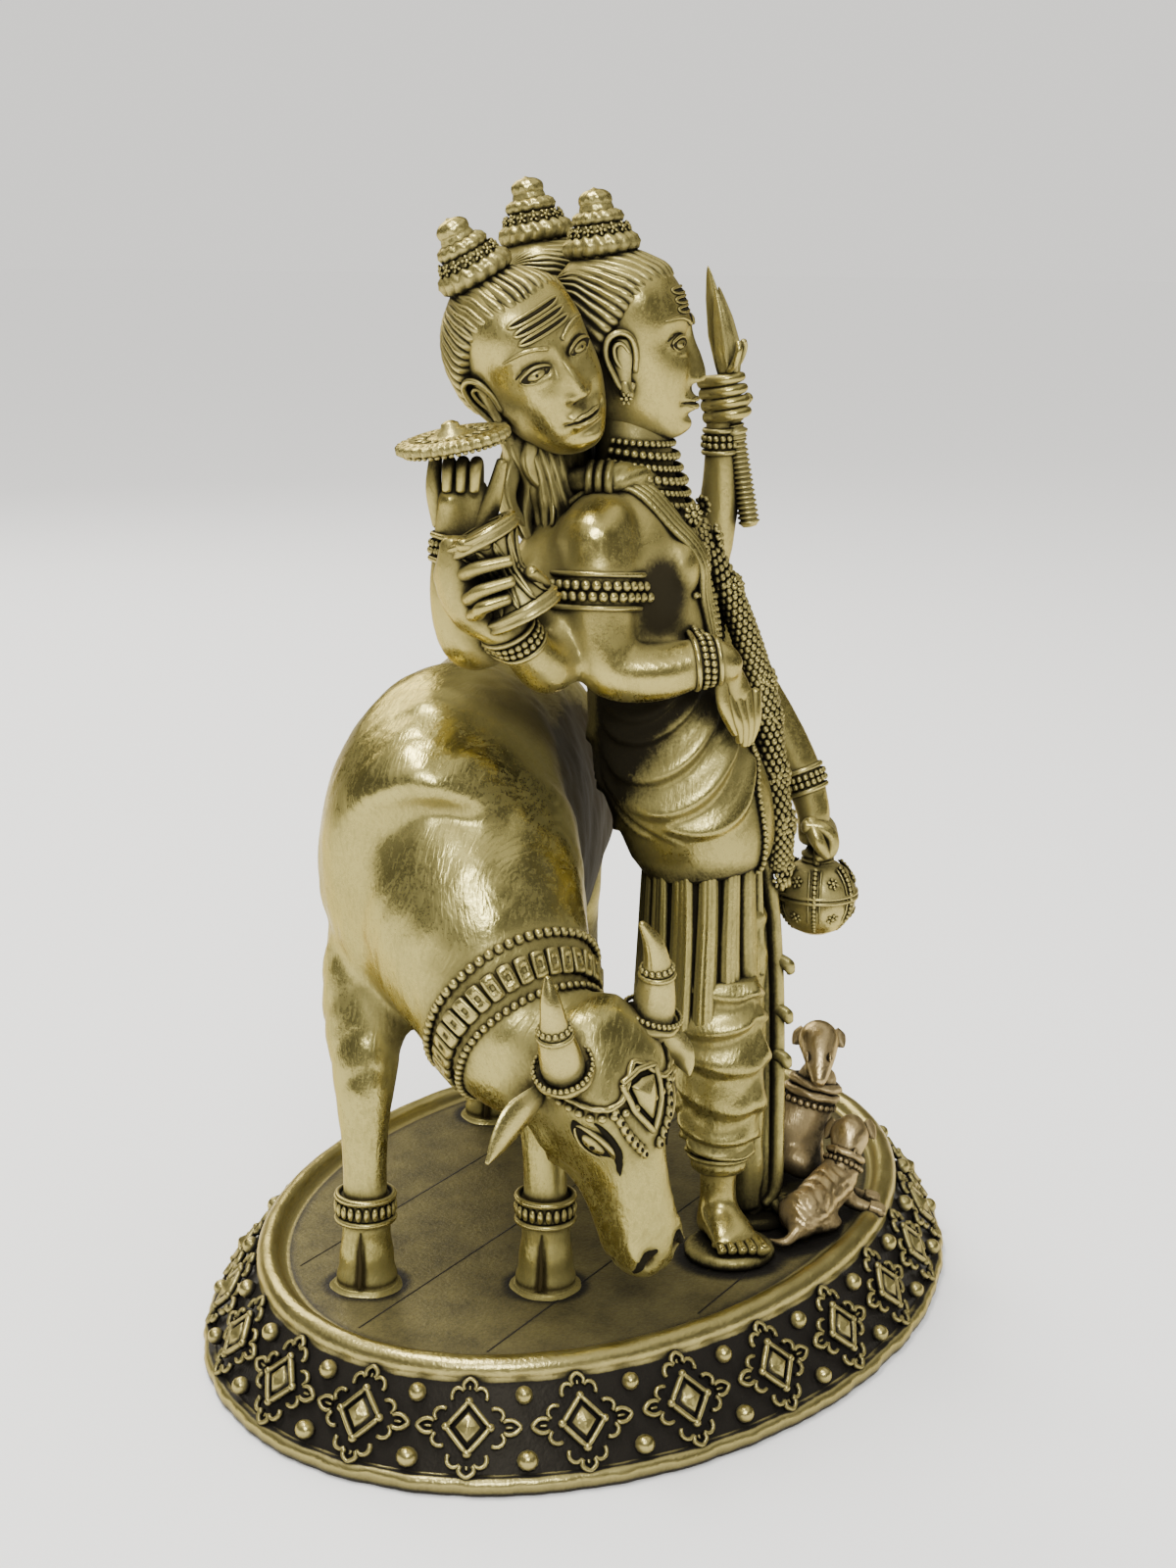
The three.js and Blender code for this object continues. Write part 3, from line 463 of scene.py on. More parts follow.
def brassMaterial(name):
    # one finish of the casting: rubbed brass with patina in small recesses (reach), and a darkening in deep
    # hollows and between parts (far) that is partly patina and partly painted shade
    look = brassLooks[name]
    material = bpy.data.materials.new(name)
    material.use_nodes = True
    tree = material.node_tree
    shader = tree.nodes["Principled BSDF"]
    link = tree.links.new
    agingAndShade = tree.nodes.new("ShaderNodeGroup")
    agingAndShade.node_tree = patina
    for key, value in (("Metal", "metal"), ("Patina", "patina"), ("Mottle", "mottle"),
                       ("Mottle Size", "mottleSize"), ("Specks", "specks"), ("Polish", "polish"),
                       ("Dull", "dull")):
        agingAndShade.inputs[key].default_value = look[value]
    cast = tree.nodes.new("ShaderNodeGroup")
    cast.node_tree = castSurface
    cast.inputs["Pits"].default_value, cast.inputs["Marks"].default_value = look["pits"], look["marks"]
    shade = addNode(tree, "AmbientOcclusion", {"Distance": look["reach"] * mm}, samples=8)
    # wide occlusion: patina in deep hollows and painted shade between parts, such as between cow and deity
    wideOcclusion = addNode(tree, "AmbientOcclusion", {"Distance": look["far"] * mm}, samples=8)
    link(shade.outputs["AO"], agingAndShade.inputs["Shade"])
    link(wideOcclusion.outputs["AO"], agingAndShade.inputs["Hollow Patina And Shade"])
    # the per-point marks, which hold patina in lines and grooves and painted shade where one figure shades
    # another, plus the patina that engraved strokes hold: dark + strokes·(1 - stroke)
    patinaAndShadeMarks = addNode(tree, "Attribute", attribute_name="dark")
    kept = addNode(tree, "MapRange",
                   {"Value": cast.outputs["Stroke"], "To Min": look["strokes"], "To Max": 0.0})
    held = addNode(tree, "Math", {0: patinaAndShadeMarks.outputs["Fac"], 1: kept.outputs[0]}, operation="ADD")
    link(held.outputs[0], agingAndShade.inputs["Patina And Painted Shade"])
    bumpNode = addNode(tree, "Bump",
                       {"Height": cast.outputs["Height"], "Strength": look["bump"], "Distance": 0.0003})
    link(bumpNode.outputs["Normal"], shader.inputs["Normal"])
    shader.inputs["IOR"].default_value = 1.16
    shader.inputs["Specular Tint"].default_value = (0.85, 0.74, 0.5, 1)
    link(agingAndShade.outputs["Color"], shader.inputs["Base Color"])
    link(agingAndShade.outputs["Roughness"], shader.inputs["Roughness"])
    link(agingAndShade.outputs["Metallic"], shader.inputs["Metallic"])
    return material


polishedBrass, hideBrass, carvedBrass, clothBrass, baseBrass, furBrass = (brassMaterial(n)
        for n in brassLooks)
print("materials made")


# The oval base

baseShape = {"halfLength": 44.0, "halfWidth": 32.0, "floor": 8.2, "rosettes": 24, "bandInset": 2.9,
             "bandHeight": 4.6,
             "bandLean": 0.594, "beadRadius": 0.78, "beadSlide": 2.5, "around": 480, "wireRadius": 0.2,
             "lineHeading": -4.0, "lines": (-13.2, -1.9, 9.4, 20.7), "lineWidth": 0.09, "lineHeight": 0.02,
             "floorInset": 8.6, "middleInset": 30.5}


def ovalTable():
    # arc length of the oval's edge at each angle, by summing short chords
    a = np.linspace(0, tau, 2881)
    x, y = baseShape["halfLength"] * np.cos(a), baseShape["halfWidth"] * np.sin(a)
    return a, np.concatenate([[0], np.cumsum(np.hypot(np.diff(x), np.diff(y)))])


ovalAngles, ovalLengths = ovalTable()


def ovalEdge(fraction):
    # edge point and outward normal at a fraction of the way round
    a = np.interp(np.mod(fraction, 1) * ovalLengths[-1], ovalLengths, ovalAngles)
    edge = np.stack([baseShape["halfLength"] * np.cos(a), baseShape["halfWidth"] * np.sin(a), 0 * a], -1)
    out = np.stack([np.cos(a) / baseShape["halfLength"], np.sin(a) / baseShape["halfWidth"], 0 * a], -1)
    return edge, unit(out)


def onBand(fraction, local):
    # a point (round, up, out) in millimetres of the slanting band, about its middle at that fraction
    lean = baseShape["bandLean"]
    inset = baseShape["bandInset"] + local[:, 1] * math.sin(lean) - local[:, 2] * math.cos(lean)
    z = baseShape["bandHeight"] + local[:, 1] * math.cos(lean) + local[:, 2] * math.sin(lean)
    step = 1 / ovalLengths[-1]
    edge, out = ovalEdge(np.array([fraction - step, fraction + step]))
    inner = edge - out * baseShape["bandInset"]
    stretch = 2 / np.linalg.norm(inner[1] - inner[0])
    edge, out = ovalEdge(fraction + local[:, 0] * stretch * step)
    place = edge - out * inset[:, None]
    place[:, 2] = z
    return place


def plinth():
    # a profile of (inset, height) carried round the oval: flange, slanting band, round rim and flat floor
    def arc(cx, cz, r, start, end, n):
        a = np.radians(np.linspace(start, end, n))
        return np.stack([cx - r * np.cos(a), cz + r * np.sin(a)], -1)
    floor, edgeInset, middleInset = (baseShape[k] for k in ("floor", "floorInset", "middleInset"))
    profile = np.concatenate([
        [[3.0, 0.0], [1.2, 0.0]], arc(0.75, 0.62, 0.62, -75, -10, 5), arc(0.85, 0.85, 0.78, 5, 75, 8),
        [[1.1, 1.5]],
        np.linspace([1.2, 1.62], [4.9, 7.35], 16), [[4.95, 7.5]],
        arc(6.05, 8.1, 1.12, -20, 165, 18), [[7.35, floor], [7.6, floor - 0.07], [7.9, floor]],
        np.linspace([edgeInset, floor], [middleInset, floor], 12)])
    n = baseShape["around"]
    edge, out = ovalEdge(np.arange(n) / n)
    inset, z = profile[:, 0], profile[:, 1]
    a = np.arange(n) / n * tau
    rough = 0.10 * np.sin(9 * a + 1) * np.sin(23 * a) + 0.07 * np.sin(41 * a + 2) + 0.05 * np.sin(97 * a)
    flange = bump(z, 0.7, 0.9)[:, None] * (inset < 2)[:, None]
    rim = 0.04 * np.sin(31 * a) * np.sin(13 * a + 2) * bump(z, 9.2, 0.5)[:, None]
    reach = np.minimum(inset, 99)[:, None] + np.clip(flange * (rough + 0.1), 0, 1)
    place = edge[None] - out[None] * reach[..., None]
    inner = edge - out * edgeInset
    flat = inset > edgeInset - 0.1
    share = ((inset - edgeInset) / (middleInset - edgeInset))[:, None, None]
    place = np.where(flat[:, None, None], inner[None] * (1 - share * 0.97), place)
    place[..., 2] = z[:, None] + rim
    points, faces = closedSkin(place)
    points[-2] = [0, 0, 0]
    return points, faces, bandShade(place, z)


def floorLines():
    # straight scored lines, filled with patina: flat bars along chords of the floor's oval x²/a² + y²/b²
    # = 1
    heading = math.radians(baseShape["lineHeading"])
    ahead, aside = vec(math.cos(heading), math.sin(heading)), vec(math.sin(heading), -math.cos(heading))
    a, b = (baseShape[k] - baseShape["floorInset"] - 0.2 for k in ("halfLength", "halfWidth"))
    wide, high = baseShape["lineWidth"], baseShape["lineHeight"]
    section = vec(-1, 0), vec(-0.6, 1), vec(0.6, 1), vec(1, 0), vec(0, -1)
    parts = []
    for offset in baseShape["lines"]:
        start = aside * offset
        p = (ahead[0] / a) ** 2 + (ahead[1] / b) ** 2
        q = start[0] * ahead[0] / a ** 2 + start[1] * ahead[1] / b ** 2
        r = (start[0] / a) ** 2 + (start[1] / b) ** 2 - 1
        root = math.sqrt(q * q - p * r)
        ends = [start + ahead * (-q + side * root) / p for side in (-1, 1)]
        rings = np.array([[[*(end + aside * wide * w), baseShape["floor"] + high * h] for w, h in section]
                          for end in ends])
        parts.append(closedSkin(rings))
    return joined(parts)


def bandShade(place, z):
    # how dark the casting is left: the band behind the rosettes, with hatching, and the floor
    turn = np.arctan2(place[..., 1], place[..., 0])
    hatch = np.abs(np.sin(230 * turn + 3.2 * z[:, None])) * np.abs(np.sin(97 * turn - 2.1 * z[:, None]))
    band = (smooth(z, 1.45, 1.7) * (1 - smooth(z, 7.3, 7.6)))[:, None] * np.ones(place.shape[1])
    floor = ((np.linalg.norm(place[..., :2] / [36.2, 24.2],
                             axis=-1) < 1.0) & (np.abs(z - baseShape["floor"]) < 0.1)[:, None])
    dark = band * (0.85 - 0.25 * hatch) + floor * 0.4
    return np.concatenate([dark.ravel(), [0, 0.4]])


def rosette():
    # a stepped diamond with corner knobs, four pointed loops and eight curled lobes, in (round, up, out)
    wire = baseShape["wireRadius"]
    hx, hy = 1.72, 2.0
    parts = []
    t = np.linspace(0, 1, 6)[:-1, None]
    corners = np.array([[hx, 0], [0, hy], [-hx, 0], [0, -hy]])
    diamond = np.concatenate([c * (1 - t) + d * t for c, d in zip(corners, np.roll(corners, -1, 0))])
    parts.append(tube(np.c_[diamond, np.full(len(diamond), 0.5)], wire * 1.15, 6, closed=True, flat=1.6))
    steps = [(1.5, 1.75, 0.1), (1.5, 1.75, 0.3), (0.98, 1.2, 0.3), (0.95, 1.15, 0.75), (0.72, 0.86, 0.85),
             (0.1, 0.12, 1.25)]
    rings = np.array([[[a, 0, z], [0, b, z], [-a, 0, z], [0, -b, z]] for a, b, z in steps])
    parts.append(closedSkin(rings))
    a = np.linspace(-0.72, 0.72, 12) * math.pi
    for quarter in range(4):
        cos, sin = math.cos(quarter * math.pi / 2), math.sin(quarter * math.pi / 2)
        turn = np.array([[cos, -sin], [sin, cos]])
        reach = hx if quarter % 2 == 0 else hy
        tip = 3.98 if quarter % 2 == 0 else 3.72
        middle = (reach + tip) / 2 + 0.35
        long = tip - middle
        loop = np.stack([middle + long * np.cos(a) * (1 + 0.12 * bump(a, 0, 0.5)),
                         0.56 * np.sin(a) * (1 - 0.35 * bump(a, 0, 0.7))], -1)
        parts.append(tube(np.c_[loop @ turn.T, np.full(len(a), 0.3)], wire, 5, flat=1.7))
        vein = np.stack([np.linspace(middle - 0.3, tip - 0.5, 4), np.zeros(4)], -1)
        parts.append(tube(np.c_[vein @ turn.T, np.full(4, 0.15)], wire * 0.8, 5, flat=1.5))
        for s in (-1, 1):
            b = np.linspace(-0.35, 0.62, 8) * math.pi
            lobe = np.stack([reach + 0.42 + 0.62 * np.cos(b + 0.2), s * (0.92 + 0.55 * np.sin(b + 0.2))], -1)
            parts.append(tube(np.c_[lobe @ turn.T, np.full(len(b), 0.28)], wire * 0.95, 5, flat=1.7))
        parts.append(placed(ball(8, 5), [*(vec(reach, 0) @ turn.T), 0.55], scale=0.36))
    return joined(parts)


def buildBase():
    # the plinth with its rosettes, the beads between them and the lines on the floor
    points, faces, dark = plinth()
    motif = rosette()
    bead = ball(12, 7)
    parts = [(points, faces)]
    count = baseShape["rosettes"]
    for i in range(count):
        parts.append((onBand(i / count, motif[0]), motif[1]))
        for slide in (-1, 1):
            size = baseShape["beadRadius"] * (1 + 0.06 * math.sin(7.0 * i + slide))
            local = bead[0] * size + vec(0, slide * baseShape["beadSlide"] - 0.05, 0.3)
            parts.append((onBand((i + 0.5) / count, local), bead[1]))
    parts.append(floorLines())
    whole = joined(parts)
    shade = np.zeros(len(whole[0]))
    shade[:len(dark)] = dark
    shade[-len(parts[-1][0]):] = 0.8
    makePiece("ovalBase", whole, "base", baseBrass, turn=False, dark=shade)


buildBase()

# The cow

cowShape = {"middle": 10.7, "hornMiddle": (-31.0, -6.8, 33.8), "hornSpread": 5.4, "faceTurn": 218.0,
            "headRoll": 14.0, "ankletHeight": 15.4, "voxel": 0.5, "creaseDepth": 0.16}


def cowHeadFrame():
    # across to its left, down the face and out of the face, from the way it faces and its roll
    turn, roll = math.radians(cowShape["faceTurn"]), math.radians(cowShape["headRoll"])
    face = unit(vec(math.sin(turn), math.cos(turn), -0.06))
    level = unit(np.cross([0, 0, 1], face))
    left = level * math.cos(roll) + np.cross(face, level) * math.sin(roll)
    return np.stack([left, -np.cross(face, left), face])


headAxes = cowHeadFrame()


def onHead(stations):
    # stations given as (left, down, front, radii...) of the cow's head
    s = np.asarray(stations, float)
    return np.concatenate([s[:, :3] @ headAxes + vec(*cowShape["hornMiddle"]), s[:, 3:]], 1)


def surfaceTree(part):
    # the surface, ready to be asked for its nearest points
    return BVHTree.FromPolygons(part[0].tolist(), part[1].tolist())


def snapped(tree, places, lift=0.0):
    # the nearest points of a surface to a line of places, raised along its normal
    found = [tree.find_nearest(Vector(p)) for p in np.asarray(places, float)]
    points = np.array([f[0] for f in found])
    normals = np.array([f[1] for f in found])
    return points + normals * lift, normals


def evenly(path, gap):
    # places along a path at even gaps
    path = np.asarray(path, float)
    length = np.concatenate([[0], np.cumsum(np.linalg.norm(np.diff(path, axis=0), axis=1))])
    n = max(int(round(length[-1] / gap)), 1)
    at = np.linspace(0, length[-1], n + 1)
    return np.stack([np.interp(at, length, path[:, k]) for k in range(3)], -1)


def curve(points, n=60):
    # n places on a smooth line through the points
    return along(np.asarray(points, float), np.linspace(0, 1, n))


def beadRow(path, radius, gap=None, closed=False):
    # beads strung along a path
    places = evenly(path, gap or radius * 1.9)
    if closed:
        places = places[:-1]
    return scattered(ball(7, 4), places, scales=radius)


def ropeRing(path, radius, strands=2, twist=0.9, sides=8, closed=False):
    # a cord of twisted strands: its radius swells where a strand passes, and the strands turn along the
    # path
    path = evenly(path, radius * 0.42)
    if closed:
        path = path[:-1]
    tangent = unit(np.roll(path, -1, 0) - np.roll(path, 1, 0)) if closed else unit(np.gradient(path, axis=0))
    side = unit(np.cross(tangent, unit(path - path.mean(0)) + 1e-3))
    up = np.cross(side, tangent)
    step = np.linalg.norm(np.diff(path, axis=0, append=path[:1] if closed else path[-1:]), axis=1)
    travel = np.concatenate([[0], np.cumsum(step)[:-1]])
    if closed:
        turns = max(round(travel[-1] / (radius * 4 / twist)), 1)
        travel = travel / step.sum() * turns * tau / strands
    else:
        travel = travel / (radius * 4 / twist) * tau / strands
    u = np.arange(sides) / sides * tau
    swell = 0.82 + 0.26 * np.abs(np.cos((u[None] - travel[:, None]) * strands / 2))
    r = (radius * swell)[..., None]
    rings = (path[:, None] + r * (np.cos(u)[None, :, None] * side[:, None]
                                  - np.sin(u)[None, :, None] * up[:, None]))
    if not closed:
        return closedSkin(rings)
    return rings.reshape(-1, 3), gridFaces(len(path) + 1, sides) % (len(path) * sides)


def ringRound(tree, centre, axis, reach, n=96, lift=0.0):
    # a ring round a limb: where lines from outside towards its axis meet the skin, with the radii evened
    # out
    turn = frameAlong(axis)
    a = np.arange(n) / n * tau
    out = np.cos(a)[:, None] * turn[:, 0] + np.sin(a)[:, None] * turn[:, 1]
    points = []
    for direction in out:
        hit = tree.ray_cast(Vector(vec(*centre) + direction * reach), Vector(-direction), reach * 0.95)
        points.append(hit[0] if hit[0] else vec(*centre) + direction * reach * 0.6)
    points = np.array(points)
    radius = np.linalg.norm(points - vec(*centre), axis=1)
    for _ in range(6):
        radius = 0.5 * radius + 0.25 * (np.roll(radius, 1) + np.roll(radius, -1))
    return vec(*centre) + out * (radius + lift)[:, None]


def cowBody():
    # barrel, neck, legs, head and muscles are limbs smoothed into one skin; the hooves stay crisp
    mid = cowShape["middle"]
    egg = lambda u, v: 1 - 0.06 * np.cos(2 * tau * u) + 0.05 * np.cos(tau * (u - 0.75))
    barrel = [(-24.6, mid - 1, 40, 4.5, 6), (-21.6, mid - 0.4, 41, 8.6, 12), (-17.5, mid, 43.2, 10.8, 14.9),
              (-12, mid + 0.2, 44.2, 11.5, 15.6), (-4, mid, 43.8, 11.4, 15.2), (4, mid, 43.6, 11.4, 15),
              (12, mid, 44, 10.8, 14.4), (18, mid, 45, 9.8, 12.8), (22.4, mid, 46, 7.4, 9.8),
              (24.6, mid, 46.8, 3.4, 5)]
    neck = [(-15, 9.4, 44.5, 10.4, 12.5), (-19.5, 7.2, 40.2, 9.6, 11.2), (-23, 4.2, 35.6, 8, 9.2),
            (-25.6, 1.2, 32.3, 6.9, 7.2), (-27.4, -2, 31, 5.4, 5.8), (-28.6, -4.4, 30.6, 4.2, 4.4)]
    parts = [loft(barrel, 70, 72, (0, 1, 0), egg), loft(neck, 40, 56, (0, 1, 0))]
    legs = [[(-15, 15, 42, 5, 5), (-19.2, 16.4, 33, 3.7, 4), (-22.4, 16, 26, 2.6, 2.7),
             (-23.4, 15.8, 20, 1.9, 2), (-23.4, 15.7, 12.5, 2, 2)],
            [(-15, 4, 41, 5, 5), (-18.6, 2.4, 32, 3.6, 4), (-20.6, 1.2, 26, 2.6, 2.7), (-21, 0.7, 20, 1.9, 2),
             (-21, 0.6, 12.5, 2, 2)],
            [(15, 14.6, 42, 6, 5), (17.5, 15, 32, 4.6, 3.4), (20.6, 14.2, 24, 2.4, 2.1),
             (19.6, 13.6, 18.5, 1.9, 1.9), (17.6, 13.2, 12.5, 2, 2)],
            [(15, 6.2, 42, 6, 5), (17.5, 5.6, 32, 4.6, 3.4), (21.4, 4.9, 24, 2.4, 2.1),
             (20.4, 4.4, 18.5, 1.9, 1.9), (18.5, 4.2, 12.5, 2, 2)]]
    hooves, clefts = [], []
    for leg in legs:
        x, y = leg[-1][:2]
        parts.append(loft(leg, 40, 28))
        cleft = lambda u, v: (1 - 0.22 * bump(u, 0.5, 0.028) * smooth(v, 0.1, 0.4) - 0.05 * bump(u, 0.5, 0.1)
                              + 0.02 * np.sin(v * 22))
        hooves.append(loft([(x, y, 14.4, 1.95, 1.95), (x, y, 12.8, 2.1, 2.1), (x, y, 10.8, 2.35, 2.3),
                            (x, y, 9.4, 2.6, 2.5), (x, y, 8.7, 2.7, 2.6), (x, y, 8.4, 2.6, 2.5)],
                           26, 72, relief=cleft, dome=0.1))
        clefts.append(loft([(x - 1.96, y, 13.6, 0.1, 0.05), (x - 2.1, y + 0.05, 12.2, 0.14, 0.12),
                            (x - 2.32, y - 0.04, 10.6, 0.16, 0.17), (x - 2.56, y, 9.2, 0.16, 0.2),
                            (x - 2.6, y + 0.04, 8.8, 0.1, 0.15)], 12, 8))
        mound = [(0.02, 0.4), (2.5, 0.36), (2.8, 0.24), (2.98, 0.06), (3.0, -0.1), (0.02, -0.2)]
        hooves.append(turned(along(mound, np.linspace(0, 1, 12)), 48, (x, y, 8.2),
                             relief=lambda u, z: 1 + 0.03 * np.sin(tau * 3 * u + x)
                             + 0.012 * np.sin(tau * 7 * u + 1)))
    head = onHead([(0, -1.8, -2.8, 3.4, 2.4), (0, 1.4, -2.7, 5.2, 4.6), (0, 5.5, -2.8, 5.2, 5.6),
                   (0, 9.5, -2.8, 4.4, 5.2), (0, 13.5, -1.7, 3.3, 4.2), (0, 17, -0.9, 3.15, 3.7),
                   (0, 19.8, -0.8, 3.1, 3.1), (0, 21.2, -1.2, 1.9, 2)])
    parts.append(loft(head, 50, 48, headAxes[0], lambda u, v: 1 + 0.03 * np.cos(4 * tau * u + math.pi)))
    for s in (-1, 1):
        parts.append(loft(onHead([(s * 2.6, 3.4, 0.4, 1.9, 1.5), (s * 3.8, 5.0, 0.0, 1.3, 1.2),
                                  (s * 3.7, 6.4, -0.1, 0.8, 0.8)]), 14, 20))
        parts.append(loft(onHead([(s * 3.1, 7.5, -5.4, 1.6, 2.4), (s * 2.6, 11, -4.9, 1.3, 2.2)]), 12, 20))
        parts.append(loft(onHead([(s * 1.9, 17.6, 1.2, 1.1, 1.2), (s * 2.0, 19.4, 0.9, 1.2, 1.3)]), 10, 18))
    ridge = [(0, 3, -0.2, 2.6, 2.2), (0, 9, 0.6, 1.6, 1.5), (0, 15, 1.2, 1.3, 1.2)]
    parts.append(loft(onHead(ridge), 20, 20, headAxes[0]))
    muscles = [((-13.5, 17.6, 44), (5.2, 4.2, 9.5), 18), ((-15, 3.6, 44), (5.0, 4.0, 9.0), 14),
               ((14.5, 17.8, 44), (7.0, 3.6, 9.5), -14), ((14.5, 3.8, 44), (7.0, 3.6, 9.5), -14),
               ((-16.5, mid, 55.4), (6.0, 4.2, 3.2), 20), ((-20.6, 6.6, 34.0), (3.4, 4.0, 7.0), 26)]
    for centre, radii, lean in muscles:
        a = math.radians(lean)
        turn = np.array([[math.cos(a), 0, math.sin(a)], [0, 1, 0], [-math.sin(a), 0, math.cos(a)]])
        parts.append(placed(pebble(radii, 32, 20), centre, turn))
    parts.append(placed(ball(24, 14), (11, mid, 29.8), scale=3.3))
    skin = remeshed(joined(parts), cowShape["voxel"], 6)
    return carveCow(skin), joined(hooves), joined(clefts)


def carveCow(skin):
    # creases along the neck and chest, the eye's and nostril's hollows and the mouth, cut along the normals
    points, faces = skin
    normals = pointNormals(skin)
    local = (points - vec(*cowShape["hornMiddle"])) @ headAxes.T
    l, d, f = local.T
    side = np.abs(l)
    onFace = smooth(d, -1, 1) * (1 - smooth(np.linalg.norm(local - vec(0, 10, -2), axis=1), 13.5, 15))
    depth = np.zeros(len(points))
    x, y, z = points.T
    # the neck's long folds run down from the shoulder to the chest
    chest = smooth(-x, 13, 19) * (1 - smooth(-x, 25.5, 28)) * (1 - onFace) * smooth(z, 24, 28)
    run = (z - 36) * 0.55 + (x + 22) * 1.0 + 0.25 * y + 1.1 * ripple(points, 5.0, 3)
    fold = np.abs(np.sin(run * 1.05)) ** 0.6
    depth += chest * cowShape["creaseDepth"] * (fold - 0.75) * (0.45 + 0.55 * smooth(-z, -44, -34))
    # broad soft dents in the flank
    depth += ((0.3 * ripple(points, 4.2, 5) + 0.16 * np.abs(ripple(points, 1.9, 8))) * (1 - onFace)
              * smooth(z, 27, 33))
    # a soft hollow round the eye
    depth -= 0.3 * bump(d, 7.0, 1.8) * bump(f, 0.3, 1.3) * smooth(side, 2.6, 3.8) * onFace
    nostril = np.exp(-(((side - 1.75) / 0.55) ** 2 + ((d - 19.1) / 0.95) ** 2)) * smooth(f, 0.2, 1.2)
    depth -= 1.1 * nostril
    mouth = (np.exp(-((d - 19.6 + 0.35 * (f + 1.2)) / 0.22) ** 2) * (1 - smooth(f, -1.2, -0.4))
             * smooth(f, -6, -4.6) * onFace)
    depth -= 0.32 * mouth
    middle = np.exp(-(l / 0.22) ** 2) * smooth(d, 19.4, 20.2) * smooth(f, -0.5, 1.0) * onFace
    depth -= 0.2 * middle
    cheek = (np.exp(-((d - 11.5 - 0.55 * (f + 4)) / 0.8) ** 2) * smooth(side, 2.0, 3.0) * smooth(-f, 0.5, 2.5)
             * onFace)
    depth -= 0.25 * cheek
    # painted shade: the flank turned towards the deity, in an oval round the gap between them, is painted
    # dark, and so, less strongly, is the underside of the belly
    oval = np.sqrt(((x - 1) / 19) ** 2 + ((z - 42) / 16) ** 2)
    paintedShade = smooth(-normals[:, 1], 0.12, 0.5) * (1 - smooth(oval, 0.45, 1.15)) * (1 - smooth(y, 11, 14))
    paintedShade = np.maximum(paintedShade,
                           0.45 * smooth(x, -18, -10) * (1 - smooth(z, 27, 33)) * smooth(z, 22, 25))
    dark = 0.85 * paintedShade + 0.55 * np.clip(nostril + mouth, 0, 1)
    return (points + normals * depth[:, None], faces), dark


def leaf(stations, cup, across, thick=0.28, n=24, m=14):
    # a cupped leaf: two sheets a thickness apart, width(v)·u across and cup·u² deep, joined at the rim
    v = np.linspace(0, 1, n)
    s = along(stations, v)
    tangent = unit(np.gradient(s[:, :3], axis=0))
    side = unit(np.asarray(across, float) - tangent * (tangent @ np.asarray(across, float))[:, None])
    front = np.cross(tangent, side)
    u = np.concatenate([np.linspace(-1, 1, m), np.linspace(1, -1, m)])
    sheet = (np.concatenate([np.full(m, 0.5), np.full(m, -0.5)]) * thick
             * np.sqrt(np.clip(1.02 - u ** 2, 0.02, 1)))
    rings = s[:, None, :3] + (s[:, 3][:, None] * u)[..., None] * side[:, None]
    rings = rings + (cup * s[:, 3][:, None] * u ** 2 + sheet)[..., None] * front[:, None]
    return closedSkin(rings[:, ::-1])


def hornAndEar(side):
    # a curved horn with a cord, a ring and beads; the ear spreads on one side and folds on the other
    spread = cowShape["hornSpread"]
    left, down, face = headAxes
    hook = -1.5 if side < 0 else 0.4
    stations = onHead([(side * spread * 0.8, 1.4, -1.5, 1.7, 1.7),
                       (side * spread * 0.92, -0.4, -1.0, 1.75, 1.75), (side * spread, -2.6, -0.7, 1.5, 1.5),
                       (side * (spread + 0.2), -4.6, -0.5, 1.1, 1.1),
                       (side * (spread + 0.1), -6.6, -0.6, 0.8, 0.8),
                       (side * (spread - 0.6) + 0.25 * hook, -8.4, -0.9, 0.28, 0.28)])
    parts = [loft(stations, 40, 28, left)]
    dots = along(stations, np.array([0.12, 0.5, 0.56]))
    axis = along(stations, np.array([0.16, 0.54, 0.6]))[:, :3] - dots[:, :3]

    def ring(k, radius, n=60):
        turn = frameAlong(axis[k])
        a = np.arange(n + 1) / n * tau
        return dots[k, :3] + radius * (np.cos(a)[:, None] * turn[:, 0] + np.sin(a)[:, None] * turn[:, 1])
    parts.append(ropeRing(ring(0, 2.05), 0.42, closed=True))
    parts.append(beadRow(ring(0, 2.35) + 0.75 * unit(axis[0]), 0.24, closed=True))
    parts.append(tube(ring(1, 1.3)[:-1], 0.26, 8, closed=True))
    parts.append(beadRow(ring(2, 1.22), 0.27, closed=True))
    spreadEar = [(4.4, 2.2, -3.4, 0.5), (6.0, 3.2, -3.3, 1.35), (8.2, 4.3, -3.4, 1.85),
                 (10.4, 5.3, -3.4, 1.2), (12, 5.9, -3.4, 0.12)]
    foldedEar = [(4.0, 2.6, -3.4, 0.5), (6.2, 3.5, -3.0, 1.3), (7.6, 5.2, -2.3, 1.5), (8.1, 6.8, -1.7, 0.9),
                 (8.3, 7.7, -1.4, 0.12)]
    ear = onHead([(side * l, *rest) for l, *rest in (spreadEar if side < 0 else foldedEar)])
    parts.append(leaf(ear, 0.45 * side, down - 0.15 * face))
    return parts


